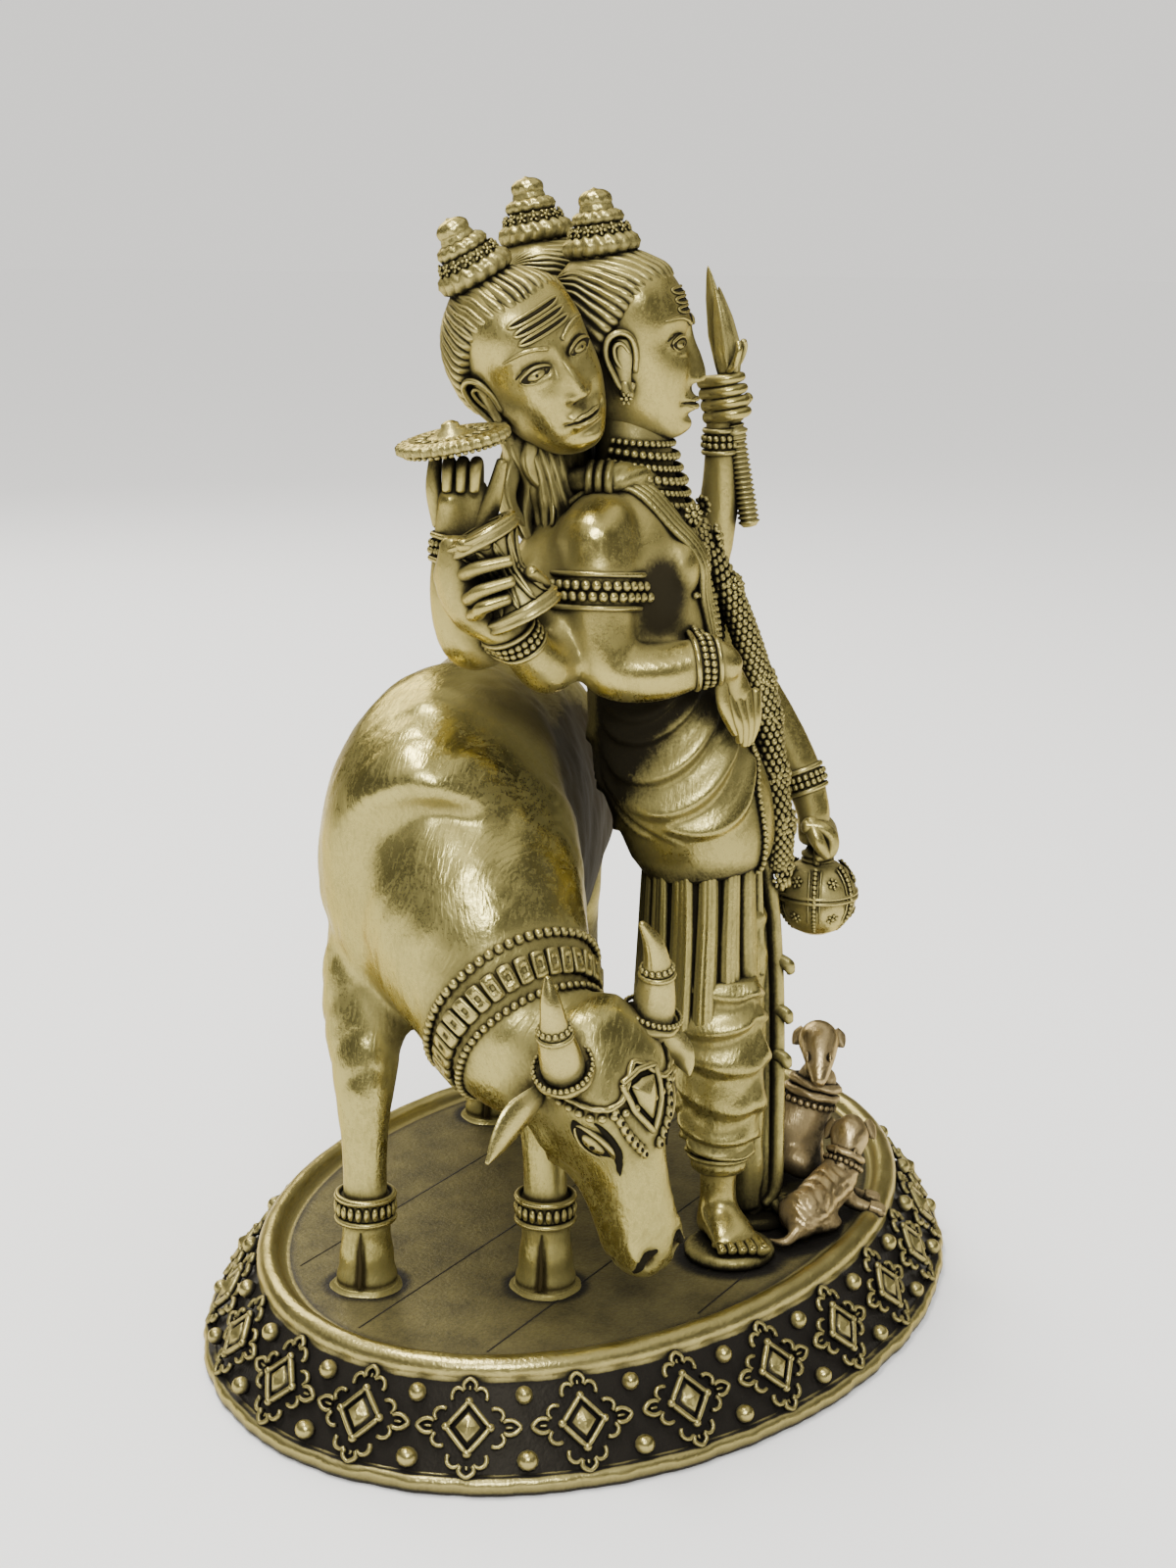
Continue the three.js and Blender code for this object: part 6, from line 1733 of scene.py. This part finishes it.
def tridentSkin():
    # a ribbed shaft, a knop, three leaf blades with a ridge, and a hook outside each outer blade
    rise = tridentTip - tridentFoot
    length = np.linalg.norm(rise)
    at = lambda t, out=0.0, back=0.0: tridentFoot + rise * t + vec(out * 0.85, back - abs(out) * 0.3, 0)
    h = np.linspace(0, 1, 150)
    r = 0.86 + 0.13 * np.sin(tau * 26 * h) - 0.1 * smooth(h, 0.8, 1)
    shaft = np.stack([r, h * length * 0.52], -1)
    shaft = np.concatenate([[(0.02, -0.4), (0.6, -0.3)], shaft, [(0.02, length * 0.525)]])
    parts = [turned(shaft, 20, tridentFoot, rise)]
    knop = [(0.02, -0.8), (0.8, -0.75), (1.05, -0.5), (0.85, -0.3), (1.15, -0.1), (1.2, 0.1), (0.85, 0.35),
            (0.9, 0.6), (0.5, 0.8), (0.02, 0.85)]
    parts.append(turned(knop, 40, at(0.36), rise))
    parts.append(bladeSkin([at(0.5), at(0.62), at(0.74), at(0.88), at(1.0)], [0.4, 0.85, 1.05, 0.7,
                                                                              0.05], 0.5, (0.3, 1, 0)))
    for s in (-1, 1):
        blade = [at(0.52, s * 0.3), at(0.58, s * 1.3), at(0.68, s * 2.0), at(0.8, s * 2.0), at(0.92, s * 1.7)]
        parts.append(bladeSkin(blade, [0.4, 0.8, 1.0, 0.7, 0.05], 0.42, (0.1 * s, 1, 0)))
        hook = [at(0.6, s * 1.6), at(0.63, s * 2.6, -0.4), at(0.68, s * 2.9, -0.9), at(0.71, s * 2.5, -1.1)]
        parts.append(loft([(*p, 0.3, 0.3) for p in hook], 16, 12))
    return joined(parts)


def potSkin():
    # a round water pot: ribs at the middle, six ladders of beads with flowers between them, rings round
    # the neck, a lid with a knob and a hoop handle
    profile = [(0.02, -3.7), (1.2, -3.65), (2.3, -3.1), (3.05, -2.2), (3.5, -1.1), (3.62, -0.25), (3.8, -0.2),
               (3.82, 0.0), (3.62, 0.08), (3.62, 0.2), (3.8, 0.28), (3.78, 0.45), (3.55, 0.55), (3.3, 1.4),
               (2.7, 2.3), (1.8, 2.9), (1.35, 3.0), (1.5, 3.1), (1.5, 3.3), (1.3, 3.35), (1.3, 3.55),
               (1.5, 3.62), (1.5, 3.85), (1.2, 4.0), (1.0, 4.4), (0.5, 4.7), (0.45, 5.0), (0.02, 5.15)]
    parts = [turned(profile, 72)]
    ladder = np.linspace(-0.9, 0.85, 16)
    for turn in np.arange(6) / 6 * tau:
        rise, flat = np.sin(ladder) * 3.68, np.cos(ladder) * 3.68
        for shift in (-0.14, 0.14):
            a = turn + shift / np.maximum(np.cos(ladder), 0.5)
            parts.append(tube(np.stack([flat * np.cos(a), flat * np.sin(a), rise], -1), 0.1, 4, (0, 0.1, 1)))
        rungs = np.stack([flat * math.cos(turn), flat * math.sin(turn), rise], -1)
        parts.append(scattered(ball(6, 4), rungs, scales=0.24))
        for high in (-0.45, 0.48):
            a = turn + tau / 12
            c = 3.66 * vec(math.cos(high) * math.cos(a), math.cos(high) * math.sin(a), math.sin(high))
            parts.append(placed(flower(6, 0.62), c, frameAlong(c)))
    t = np.linspace(-0.2, math.pi + 0.2, 30)
    parts.append(tube(np.stack([1.5 * np.cos(t), 0 * t, 3.4 + 2.1 * np.sin(t)], -1), 0.32, 8, (0, 1, 0)))
    return placed(joined(parts), potPlace)


def conchSkin():
    # a shell: rings whose radius follows the whorls, drawn out to a point, with a lip on one side
    path = [(6.4, -0.8, 72.6, 0.4, 0.4), (6.6, -0.5, 74, 1.3, 1.3), (6.8, 0, 75.8, 2.1, 2.1),
            (6.8, 0.3, 78, 1.4, 1.4), (6.8, 0.8, 80.6, 0.2, 0.2)]
    whorl = lambda u, v: (1 + 0.12 * np.abs(np.sin(math.pi * (u + 6 * v ** 1.3)))
                          + 0.18 * bump(np.mod(u - 0.1, 1), 0.5, 0.1) * bump(v, 0.35, 0.2))
    return loft(path, 60, 40, relief=whorl)


# Beads and bands that the deity wears

def beadedBand(tree, centre, axis, reach, wide=1.9, rows=2, size=0.36):
    # rows of beads between two thin rims, on the skin round a limb
    parts = []
    axis = unit(vec(*axis))
    offsets = (np.arange(rows) - (rows - 1) / 2) * size * 2.0
    for o in offsets:
        ring = ringRound(tree, vec(*centre) + axis * o, axis, reach, 64, lift=size * 0.55)
        parts.append(beadRow(np.concatenate([ring, ring[:1]]), size, gap=size * 1.95, closed=True))
    for o in (-wide / 2, wide / 2):
        ring = ringRound(tree, vec(*centre) + axis * o, axis, reach, 40, lift=0.12)
        parts.append(tube(ring, 0.24, 7, axis, closed=True))
    return parts


garlandPath = [(-7.2, -9.4, 72, 2, 0.9), (-6.2, -12.2, 66.5, 1.8, 1.0), (-5.2, -14.2, 61, 1.8, 1.1),
               (-4.6, -15.5, 56, 1.9, 1.2), (-4.4, -16.2, 50, 1.9, 1.3), (-4.4, -16.9, 45, 2.0, 1.3),
               (-4.4, -16.8, 41.8, 1.8, 1.2)]


def garlandSkin():
    # a thick strip packed with beads in staggered rows, with flower clasps across it and a fringed end
    parts = [loft([(*s[:3], s[3] * 0.8, s[4] * 0.74) for s in garlandPath], 60, 30)]
    rows, beadsAround = 60, 12
    s = along(garlandPath, np.linspace(0.01, 0.985, rows))
    tangent = unit(np.gradient(s[:, :3], axis=0))
    side = unit(vec(1, 0, 0) - tangent * tangent[:, :1])
    front = np.cross(tangent, side)
    u = (np.arange(beadsAround)[None] + 0.5 * (np.arange(rows)[:, None] % 2)) / beadsAround * tau
    places = (s[:, None, :3] + (s[:, 3:4] * 0.93 * np.cos(u))[..., None] * side[:, None]
              + (s[:, 4:5] * 0.93 * np.sin(u))[..., None] * front[:, None])
    parts.append(scattered(ball(6, 4), places.reshape(-1, 3), scales=0.35))
    for t, reach in ((0.16, 1.1), (0.42, 1.15), (0.52, 0.9), (0.66, 1.2), (0.8, 1.25), (0.97, 1.1)):
        c = along(garlandPath, t)[0]
        ahead = along(garlandPath, t + 0.01)[0][:3] - c[:3]
        outward = unit(np.cross([1, 0, 0], ahead))
        outward = outward if outward[1] < 0 else -outward
        parts.append(placed(flower(7, reach), c[:3] + outward * (c[4] + 0.1), frameAlong(outward)))
        for sx in (-1, 1):
            d = unit(outward * 0.9 + vec(sx * 1.2, 0, 0))
            parts.append(placed(flower(7, reach * 0.85), c[:3] + vec(sx * c[3] * 0.75, 0, 0) + outward * 0.75,
                                frameAlong(d)))
    zigzag = np.array([(-6.3 + 0.38 * k, -18.0 + 0.12 * abs(k - 5), 41.0 - 0.75 * (k % 2))
                       for k in range(11)])
    parts.append(tube(evenly(zigzag, 0.2), 0.26, 7))
    for x, y in ((-6.5, -17.3), (-2.3, -17.3)):
        parts.append(placed(flower(6, 0.8), (x, y, 41.2), frameAlong((math.copysign(1, x + 4.4), -0.6, 0))))
    return joined(parts)


def ornaments(tree, clothTree):
    # garland, armlets, bracelets, collar, loops, clasps and strings of beads
    mid = bodyShape["middle"]
    parts = [garlandSkin()]
    parts += beadedBand(tree, (-16.2, -2.5, 67.6), (0.12, 0, 1), 6, 2.7, 2, 0.44)
    parts += beadedBand(tree, (1.9, -3.6, 69.0), (-0.3, 0.3, 1), 6, 2.7, 2, 0.44)
    for centre, axis in (((-15.0, -11.3, 61.95), (0.35, -1, 0.1)), ((-22.5, 2.9, 64.6), (-0.5, 0.35, 0.8)),
                         ((-21.6, 8.4, 71.6), (0, 0, 1)),
                         ((3.1, -10.3, 78.4), (-0.05, 0.05, 1)), ((2.6, -18.5, 48.2), (-0.1, -0.4, -1)),
                         ((6.8, 0.8, 71), (0, -0.1, 1))):
        parts += beadedBand(tree, centre, axis, 4.2, 1.9, 2, 0.3)
    # a collar of bead rows from under the chin down to the chest, then longer loops
    parts.append(loft([(mid, -4.0, 79.8, 3.1, 2.8), (mid, -4.0, 76.8, 4.0, 3.4), (mid, -4.0, 74.2, 5.0, 4.3),
                       (mid, -4.2, 71.6, 5.7, 4.9)], 12, 48))
    a = np.linspace(-0.62, 0.62, 70) * math.pi
    for k in range(8):
        size = (0.3, 0.36, 0.3, 0.4, 0.3, 0.36, 0.3, 0.42)[k]
        rx, ry = 3.75 + 0.36 * k, 3.35 + 0.34 * k
        z = 79.2 - 0.88 * k - (0.25 + 0.16 * k) * np.cos(a)
        ring = np.stack([mid + rx * np.sin(a), -4.0 - ry * np.cos(a), z], -1)
        parts.append(beadRow(ring, size))
    for k, (drop, size) in enumerate(((2.0, 0.36), (3.4, 0.32))):
        t = np.linspace(-0.5, 0.5, 36)
        x = mid + (6.2 + 0.7 * k) * np.sin(t * 1.5)
        z = 73.2 - drop - (2.6 + 1.1 * k) * np.cos(t * 1.5)
        y = -4.2 - (6.2 + 0.35 * k) * np.cos(t * 1.5)
        path = snapped(tree, np.stack([x, y, z], -1), size * 0.7)[0]
        parts.append(beadRow(path, size))
    for x, y, z, reach in ((mid - 3.6, -9.6, 73.4, 1.0), (mid, -11.4, 71.2, 1.25),
                           (mid + 3.6, -9.6, 73.4, 1.0)):
        parts.append(placed(flower(8, reach), (x, y, z), frameAlong((0.35 * (x - mid), -1, 0.25))))
    # the scarf's front: a lattice of beads on each side of the garland
    for side in (-1, 1):
        for k in range(3):
            line = [(mid + side * (3.4 - 0.5 * k), -11, 71), (mid + side * (3.2 - 0.6 * k), -13, 66),
                    (mid + side * (2.6 - 0.6 * k), -14.4, 61), (mid + side * (2.2 - 0.5 * k), -15, 57)]
            parts.append(beadRow(snapped(tree, curve(line, 50), 0.28)[0], 0.3))
    # a string of small beads that hangs over the front of the cloth
    hang = [(-9.4, -14.2, 54.2), (-10.2, -14.9, 50), (-10.0, -15.3, 45), (-9.4, -15.9, 41),
            (-9.2, -16.4, 38.6)]
    parts.append(beadRow(snapped(clothTree, curve(hang, 80), 0.28)[0], 0.3))
    return joined(parts)


def footPads():
    # round pads under the feet, their edge cut into petals
    parts = []
    for x, y, toe in feet:
        profile = [(0.02, 0.0), (3.75, 0.0), (3.95, 0.2), (3.9, 0.7), (3.6, 1.0), (3.3, 1.02), (0.02, 1.02)]
        scallop = lambda u, h: 1 + 0.018 * np.abs(np.sin(math.pi * 18 * u)) * (h < 0.9)
        parts.append(turned(profile, 108, (x + toe[0] * 0.4, y + toe[1] * 0.5, 8.42), relief=scallop))
    return joined(parts)


def buildDeity():
    # skin, dress, scarf, held things and beads
    skin, digits = deitySkin()
    dress, dressShade = dressSkin()
    scarf, scarfShade = scarfSkin()
    tree, clothTree = surfaceTree(skin), surfaceTree(scarf)
    makePiece("deitySkin", joined([skin, digits]), "deity", polishedBrass,
              dark=np.concatenate([armpitShade(skin[0]), np.zeros(len(digits[0]))]))
    pads, cords = footPads(), sashes(tree)
    makePiece("dress", joined([dress, pads]), "deity", clothBrass,
              dark=np.concatenate([dressShade, np.full(len(pads[0]), 0.12)]))
    makePiece("scarf", joined([scarf, cords]), "deity", clothBrass,
              dark=np.concatenate([scarfShade, np.zeros(len(cords[0]))]))
    held = joined([discSkin(), drumSkin(), tridentSkin(), potSkin(), conchSkin()])
    makePiece("heldThings", held, "deity", carvedBrass)
    makePiece("deityBeads", ornaments(tree, clothTree), "deity", carvedBrass)


buildDeity()

# The two dogs

dogShape = {"voxel": 0.23, "furDepth": 0.2}


def tufted(skin, furMask, seed):
    # short locks cut along the normals: rows of |sin| that run down the body, broken by a slow ripple
    points, faces = skin
    normals = pointNormals(skin)
    x, y, z = points.T
    slow = ripple(points, 1.6, seed)
    row = np.abs(np.sin(2.1 * z + 1.6 * slow))
    lock = np.abs(np.sin(1.5 * (x - y) + 1.1 * z + 2.2 * slow
                         + 1.5 * np.floor((2.1 * z + 1.6 * slow) / math.pi)))
    depth = dogShape["furDepth"] * (0.65 * row ** 0.7 + 0.6 * lock ** 0.8 - 0.75)
    return points + normals * (depth * furMask(points))[:, None], faces


def dogFace(tree, at, forward, up, size):
    # nose, eyes with their lids, and the line of the mouth, for a dog's head
    turn = np.stack([np.cross(up, forward), forward, up], -1)
    pairs = [(placed(ball(14, 9), at + turn @ (vec(0, 1.62, -0.1) * size), scale=0.36 * size), 0.75)]
    for s in (-1, 1):
        eye = snapped(tree, (at + turn @ (vec(s * 0.8, 0.25, 0.75) * size))[None], 0.02)[0][0]
        pairs.append((placed(ball(14, 9), eye, scale=0.26 * size), 1))
        angle = np.linspace(0.0, math.pi, 14)
        lid = np.stack([np.full(14, s * 0.08), 0.36 * np.cos(angle), 0.1 + 0.26 * np.sin(angle)], -1) * size
        pairs.append((tube(lid @ turn.T + eye, 0.12 * size, 6, turn[:, 0]), 0))
        line = [(s * 0.15, 1.75, -0.45), (s * 0.5, 1.2, -0.6), (s * 0.75, 0.5, -0.55)]
        path = snapped(tree, curve([at + turn @ (vec(*p) * size) for p in line], 20), 0.0)[0]
        pairs.append((tube(path, 0.1 * size, 6, turn[:, 2]), 1))
    return pairs


def dogEar(base, tip, normal, width):
    # a folded ear: a cupped leaf from the skull to its tip
    base, tip = vec(*base), vec(*tip)
    stations = [(*base, width * 0.75), (*(base + (tip - base) * 0.45), width),
                (*(base + (tip - base) * 0.8), width * 0.6), (*tip, 0.08)]
    return leaf(stations, 0.4, np.cross(tip - base, vec(*normal)), 0.26, 14, 9)


def collar(tree, centre, axis, rows):
    # rings round the neck: each row is (how far along the axis, thickness, "cord" or "beads")
    parts = []
    axis = unit(vec(*axis))
    for slide, size, kind in rows:
        ring = ringRound(tree, vec(*centre) + axis * slide, axis, 4, 60, lift=size * 0.4)
        ring = np.concatenate([ring, ring[:1]])
        parts.append(ropeRing(ring, size, closed=True) if kind == "cord"
                     else beadRow(ring, size, closed=True))
    return joined(parts)


def paw(x, y, wide):
    # four round toes side by side with dark gaps between them
    return [loft([(x + wide * i, y, 9.3, wide * 0.6, 0.5),
                  (x + wide * i * 1.15, y - 0.9, 9.1, wide * 0.6, 0.46),
                  (x + wide * i * 1.15, y - 1.3, 8.9, wide * 0.4, 0.3)], 14, 14)
            for i in (-1.2, -0.4, 0.4, 1.2)]


def seatedDog():
    # body, head, legs and tail smoothed into one skin, with tufts on the chest, ears, paws and a collar
    body = [(7.4, -15.2, 10.6, 2.2, 1.9), (5.8, -16.2, 12, 2.9, 2.9), (3.4, -17.8, 13.6, 2.9, 3.3),
            (3.6, -19.6, 16.4, 2.3, 2.5), (4.4, -20.8, 19.6, 1.8, 1.8)]
    head = [(6.2, -20.5, 22.4, 1.3, 1.4), (5.0, -20.6, 22.8, 1.95, 1.9), (3.5, -20.8, 21.9, 1.6, 1.55),
            (2.0, -20.9, 20.6, 1.05, 0.95), (1.2, -20.95, 19.9, 0.7, 0.65)]
    smoothParts = [loft(body, 50, 40), loft(head, 30, 28, (0, 1, 0))]
    for top, foot in ((2.8, 1.6), (4.9, 5.2)):
        smoothParts.append(loft([(top, -19.6, 15, 1.4, 1.5), (foot, -20.6, 11.6, 0.9, 0.9),
                                 (foot, -20.9, 9.6, 0.85, 0.85)], 24, 20))
    smoothParts.append(loft([(7.0, -14.6, 11.6, 2.1, 2.1), (7, -16.6, 10.4, 1.8, 1.5),
                             (7.4, -18.6, 9.3, 0.95, 0.75), (7.5, -20.2, 9.1, 0.75, 0.5)], 24, 24))
    smoothParts.append(loft([(0.9, -18.6, 12.6, 1.5, 1.5), (0.7, -19.8, 12.0, 1.55, 1.4),
                             (0.9, -20.8, 11.4, 1.0, 0.9)], 20, 20))
    smoothParts.append(loft([(7.4, -14.6, 9.6, 0.8, 0.8), (8.8, -14.2, 9.4, 0.75, 0.7),
                             (9.2, -16.4, 9.2, 0.65, 0.6), (8.6, -18.2, 9.1, 0.35, 0.35)], 24, 16))
    skin = remeshed(joined(smoothParts), dogShape["voxel"], 6)
    chest = lambda p: smooth(-p[:, 2], -18.2, -17.0) * smooth(p[:, 2], 9.6, 11.4) * smooth(p[:, 0], 1.8, 2.8)
    skin = tufted(skin, chest, 4)
    tree = surfaceTree(skin)
    pairs = dogFace(tree, vec(3.0, -20.8, 21.4), unit(vec(-1, -0.05, -0.72)), unit(vec(-0.58, 0, 0.81)), 1.15)
    pairs.append((dogEar((5.4, -19.3, 23.6), (5.0, -18.2, 22.2), (-1, 0.4, 0.2), 0.85), 0))
    pairs.append((dogEar((5.4, -21.9, 23.6), (5.0, -23.0, 22.2), (-1, -0.4, 0.2), 0.85), 0))
    pairs.append((joined(paw(1.6, -21.0, 0.55) + paw(5.2, -21.0, 0.55)), 0))
    pairs.append((collar(tree, (4.2, -20.6, 18.6), (0.2, -0.25, 1),
                         ((0.2, 0.46, "cord"), (-0.7, 0.44, "cord"), (-1.6, 0.34, "beads"))), 0))
    return skin, shaded(pairs)


def lyingDog():
    # body, head, haunch, legs and tail smoothed into one skin, with tufts on the back, ears, paws and a
    # collar
    body = [(-9.4, -20.2, 10, 1.3, 1.2), (-7.4, -20.8, 10.7, 1.9, 1.9), (-4.4, -21.6, 10.9, 2, 2.0),
            (-1.8, -22.8, 11.6, 1.9, 1.9), (0.2, -23.6, 12.8, 1.6, 1.6)]
    head = [(1.8, -24.2, 16.0, 1.2, 1.2), (0.9, -24.0, 15.3, 1.85, 1.8), (-0.4, -23.8, 14.0, 1.4, 1.25),
            (-1.4, -23.6, 12.9, 0.9, 0.85), (-1.9, -23.5, 12.3, 0.6, 0.55)]
    smoothParts = [loft(body, 50, 40, (0, 0, 1)), loft(head, 30, 28, (0, 1, 0))]
    smoothParts.append(placed(ball(24, 14), (-7.4, -20.3, 10.6), scale=2.15))
    for x, y in ((-1.9, -23.2), (0.7, -22.6)):
        smoothParts.append(loft([(x, y, 11.0, 1.05, 1.0), (x + 0.3, y - 1.4, 9.6, 0.75, 0.7),
                                 (x + 0.1, y - 3.1, 9.15, 0.68, 0.6)], 22, 18))
    smoothParts.append(loft([(-7.6, -21.4, 9.9, 1.2, 1.1), (-6.2, -23.0, 9.3, 0.8, 0.6),
                             (-4.8, -23.4, 9.1, 0.6, 0.45)], 20, 18))
    smoothParts.append(loft([(-9.8, -20.0, 9.8, 0.6, 0.6), (-10.9, -19.0, 9.2, 0.5, 0.5),
                             (-10.4, -17.4, 9.1, 0.3, 0.3)], 20, 14))
    skin = remeshed(joined(smoothParts), dogShape["voxel"], 6)
    back = lambda p: smooth(-p[:, 0], 0.4, 2.0) * smooth(p[:, 2], 9.6, 10.6)
    skin = tufted(skin, back, 9)
    tree = surfaceTree(skin)
    pairs = dogFace(tree, vec(-0.6, -23.8, 14.0), unit(vec(-1, 0.15, -0.85)), unit(vec(-0.7, 0, 0.72)), 1.0)
    pairs.append((dogEar((1.4, -22.6, 16.4), (1.0, -21.7, 14.6), (-1, 0.5, 0.3), 0.72), 0))
    pairs.append((dogEar((1.6, -25.4, 16.4), (1.2, -26.3, 14.8), (-1, -0.5, 0.3), 0.72), 0))
    pairs.append((joined(paw(-1.8, -26.2, 0.42) + paw(0.8, -25.6, 0.42)), 0))
    pairs.append((collar(tree, (0.4, -23.7, 13.3), (0.45, -0.3, 0.8),
                         ((0, 0.36, "cord"), (-0.75, 0.28, "beads"))), 0))
    return skin, shaded(pairs)


def buildDogs():
    # each dog in one piece with its collar, ears and paws
    for name, node, shape in (("seatedDog", "seated_dog", seatedDog), ("lyingDog", "lying_dog", lyingDog)):
        skin, (extras, shade) = shape()
        makePiece(name, joined([skin, extras]), node, furBrass,
                  dark=np.concatenate([np.zeros(len(skin[0])), shade]))


buildDogs()

# Stage, light and camera


def stageAndLight():
    # a round pale floor, a soft room that brass can mirror, and three lamps
    n = 96
    r = np.concatenate([np.linspace(0.02, 0.6, 12), np.linspace(0.9, 6, 8)])
    u = np.arange(n) / n * tau
    ring = np.stack([r[:, None] * np.cos(u), r[:, None] * np.sin(u), 0 * r[:, None] * u], -1)
    points = np.concatenate([ring.reshape(-1, 3), [[0, 0, 0]]])
    fan = np.stack([np.full(n, len(points) - 1), np.arange(n), np.roll(np.arange(n), -1)], -1)
    faces = np.concatenate([gridFaces(len(r), n)[:, ::-1], fan])
    floor = bpy.data.objects.new("paleFloor", meshData("paleFloor", points, faces))
    bpy.context.scene.collection.objects.link(floor)
    material = bpy.data.materials.new("palePaper")
    material.use_nodes = True
    shader = material.node_tree.nodes["Principled BSDF"]
    shader.inputs["Base Color"].default_value = (0.84, 0.835, 0.82, 1)
    shader.inputs["Roughness"].default_value = 1.0
    shader.inputs["Specular IOR Level"].default_value = 0.0
    floor.data.materials.append(material)

    world = bpy.data.worlds.new("softRoom")
    bpy.context.scene.world = world
    world.use_nodes = True
    tree = world.node_tree
    tree.nodes.clear()
    where = addNode(tree, "TexCoord")
    split = addNode(tree, "SeparateXYZ", {0: where.outputs["Generated"]})
    ramp = addNode(tree, "ValToRGB")
    stops = [(0.0, 0.55), (0.47, 0.5), (0.52, 0.16), (0.62, 0.2), (0.74, 0.1), (0.84, 0.7), (0.92, 1.3),
             (1.0, 0.35)]
    ramp.color_ramp.elements[0].position, ramp.color_ramp.elements[1].position = 0.0, 1.0
    for position, value in stops[1:-1]:
        ramp.color_ramp.elements.new(position)
    for element, (position, value) in zip(ramp.color_ramp.elements, stops):
        element.position, element.color = position, (value, value * 0.985, value * 0.95, 1)
    height = addNode(tree, "MapRange", {"Value": split.outputs["Z"], "From Min": -1.0, "From Max": 1.0})
    tree.links.new(height.outputs[0], ramp.inputs["Fac"])
    # what lights the floor, what the metal mirrors, and what the camera sees behind it all
    lighting = addNode(tree, "Background", {"Color": (1.0, 0.985, 0.96, 1), "Strength": 1.35})
    mirrored = addNode(tree, "Background", {"Color": ramp.outputs["Color"], "Strength": 1.0})
    seen = addNode(tree, "Background", {"Color": (0.84, 0.822, 0.787, 1), "Strength": 1.38})
    rays = addNode(tree, "LightPath")
    glossy = addNode(tree, "MixShader", {0: rays.outputs["Is Glossy Ray"], 1: lighting.outputs[0],
                                         2: mirrored.outputs[0]})
    camera = addNode(tree, "MixShader", {0: rays.outputs["Is Camera Ray"], 1: glossy.outputs[0],
                                         2: seen.outputs[0]})
    addNode(tree, "OutputWorld", {"Surface": camera.outputs[0]})

    for name, place, size, power, colour in (
            ("overhead", (-0.10, 0.10, 0.55), (0.32, 0.07), 3.0, (1, 0.985, 0.95)),
            ("window", (-0.45, -0.25, 0.42), (0.20, 0.14), 2.6, (0.97, 0.985, 1)),
            ("far", (0.30, 0.40, 0.35), (0.30, 0.22), 1.4, (1, 0.97, 0.93))):
        lamp = bpy.data.lights.new(name, "AREA")
        lamp.shape = "RECTANGLE"
        lamp.size, lamp.size_y = size
        lamp.energy, lamp.color = power, colour
        light = bpy.data.objects.new(name, lamp)
        bpy.context.scene.collection.objects.link(light)
        light.location = place
        light.rotation_euler = (Vector((0, 0, 0.045)) - Vector(place)).to_track_quat("-Z", "Y").to_euler()


viewShape = {"azimuth": -64.0, "elevation": 13.111441, "roll": 0.62676, "distance": 0.223604,
             "right": -0.00019737, "up": 0.04627982, "lens": 54.0}


def photoCamera():
    # the camera stands where the photo was taken from: azimuth, elevation and roll turn its three axes
    a, e, r = (math.radians(viewShape[k]) for k in ("azimuth", "elevation", "roll"))
    back = Vector((math.sin(a) * math.cos(e), -math.cos(a) * math.cos(e), math.sin(e)))
    side = Vector((0, 0, 1)).cross(back).normalized()
    top = back.cross(side)
    right = math.cos(r) * side + math.sin(r) * top
    up = -math.sin(r) * side + math.cos(r) * top
    data = bpy.data.cameras.new("photoCamera")
    data.lens, data.sensor_width, data.clip_start, data.clip_end = viewShape["lens"], 36.0, 0.01, 20.0
    camera = bpy.data.objects.new("photoCamera", data)
    bpy.context.scene.collection.objects.link(camera)
    place = back * viewShape["distance"] + right * viewShape["right"] + up * viewShape["up"]
    camera.matrix_world = Matrix.Translation(place) @ Matrix((right, up, back)).transposed().to_4x4()
    bpy.context.scene.camera = camera


stageAndLight()
photoCamera()
print("stage, light and camera set")
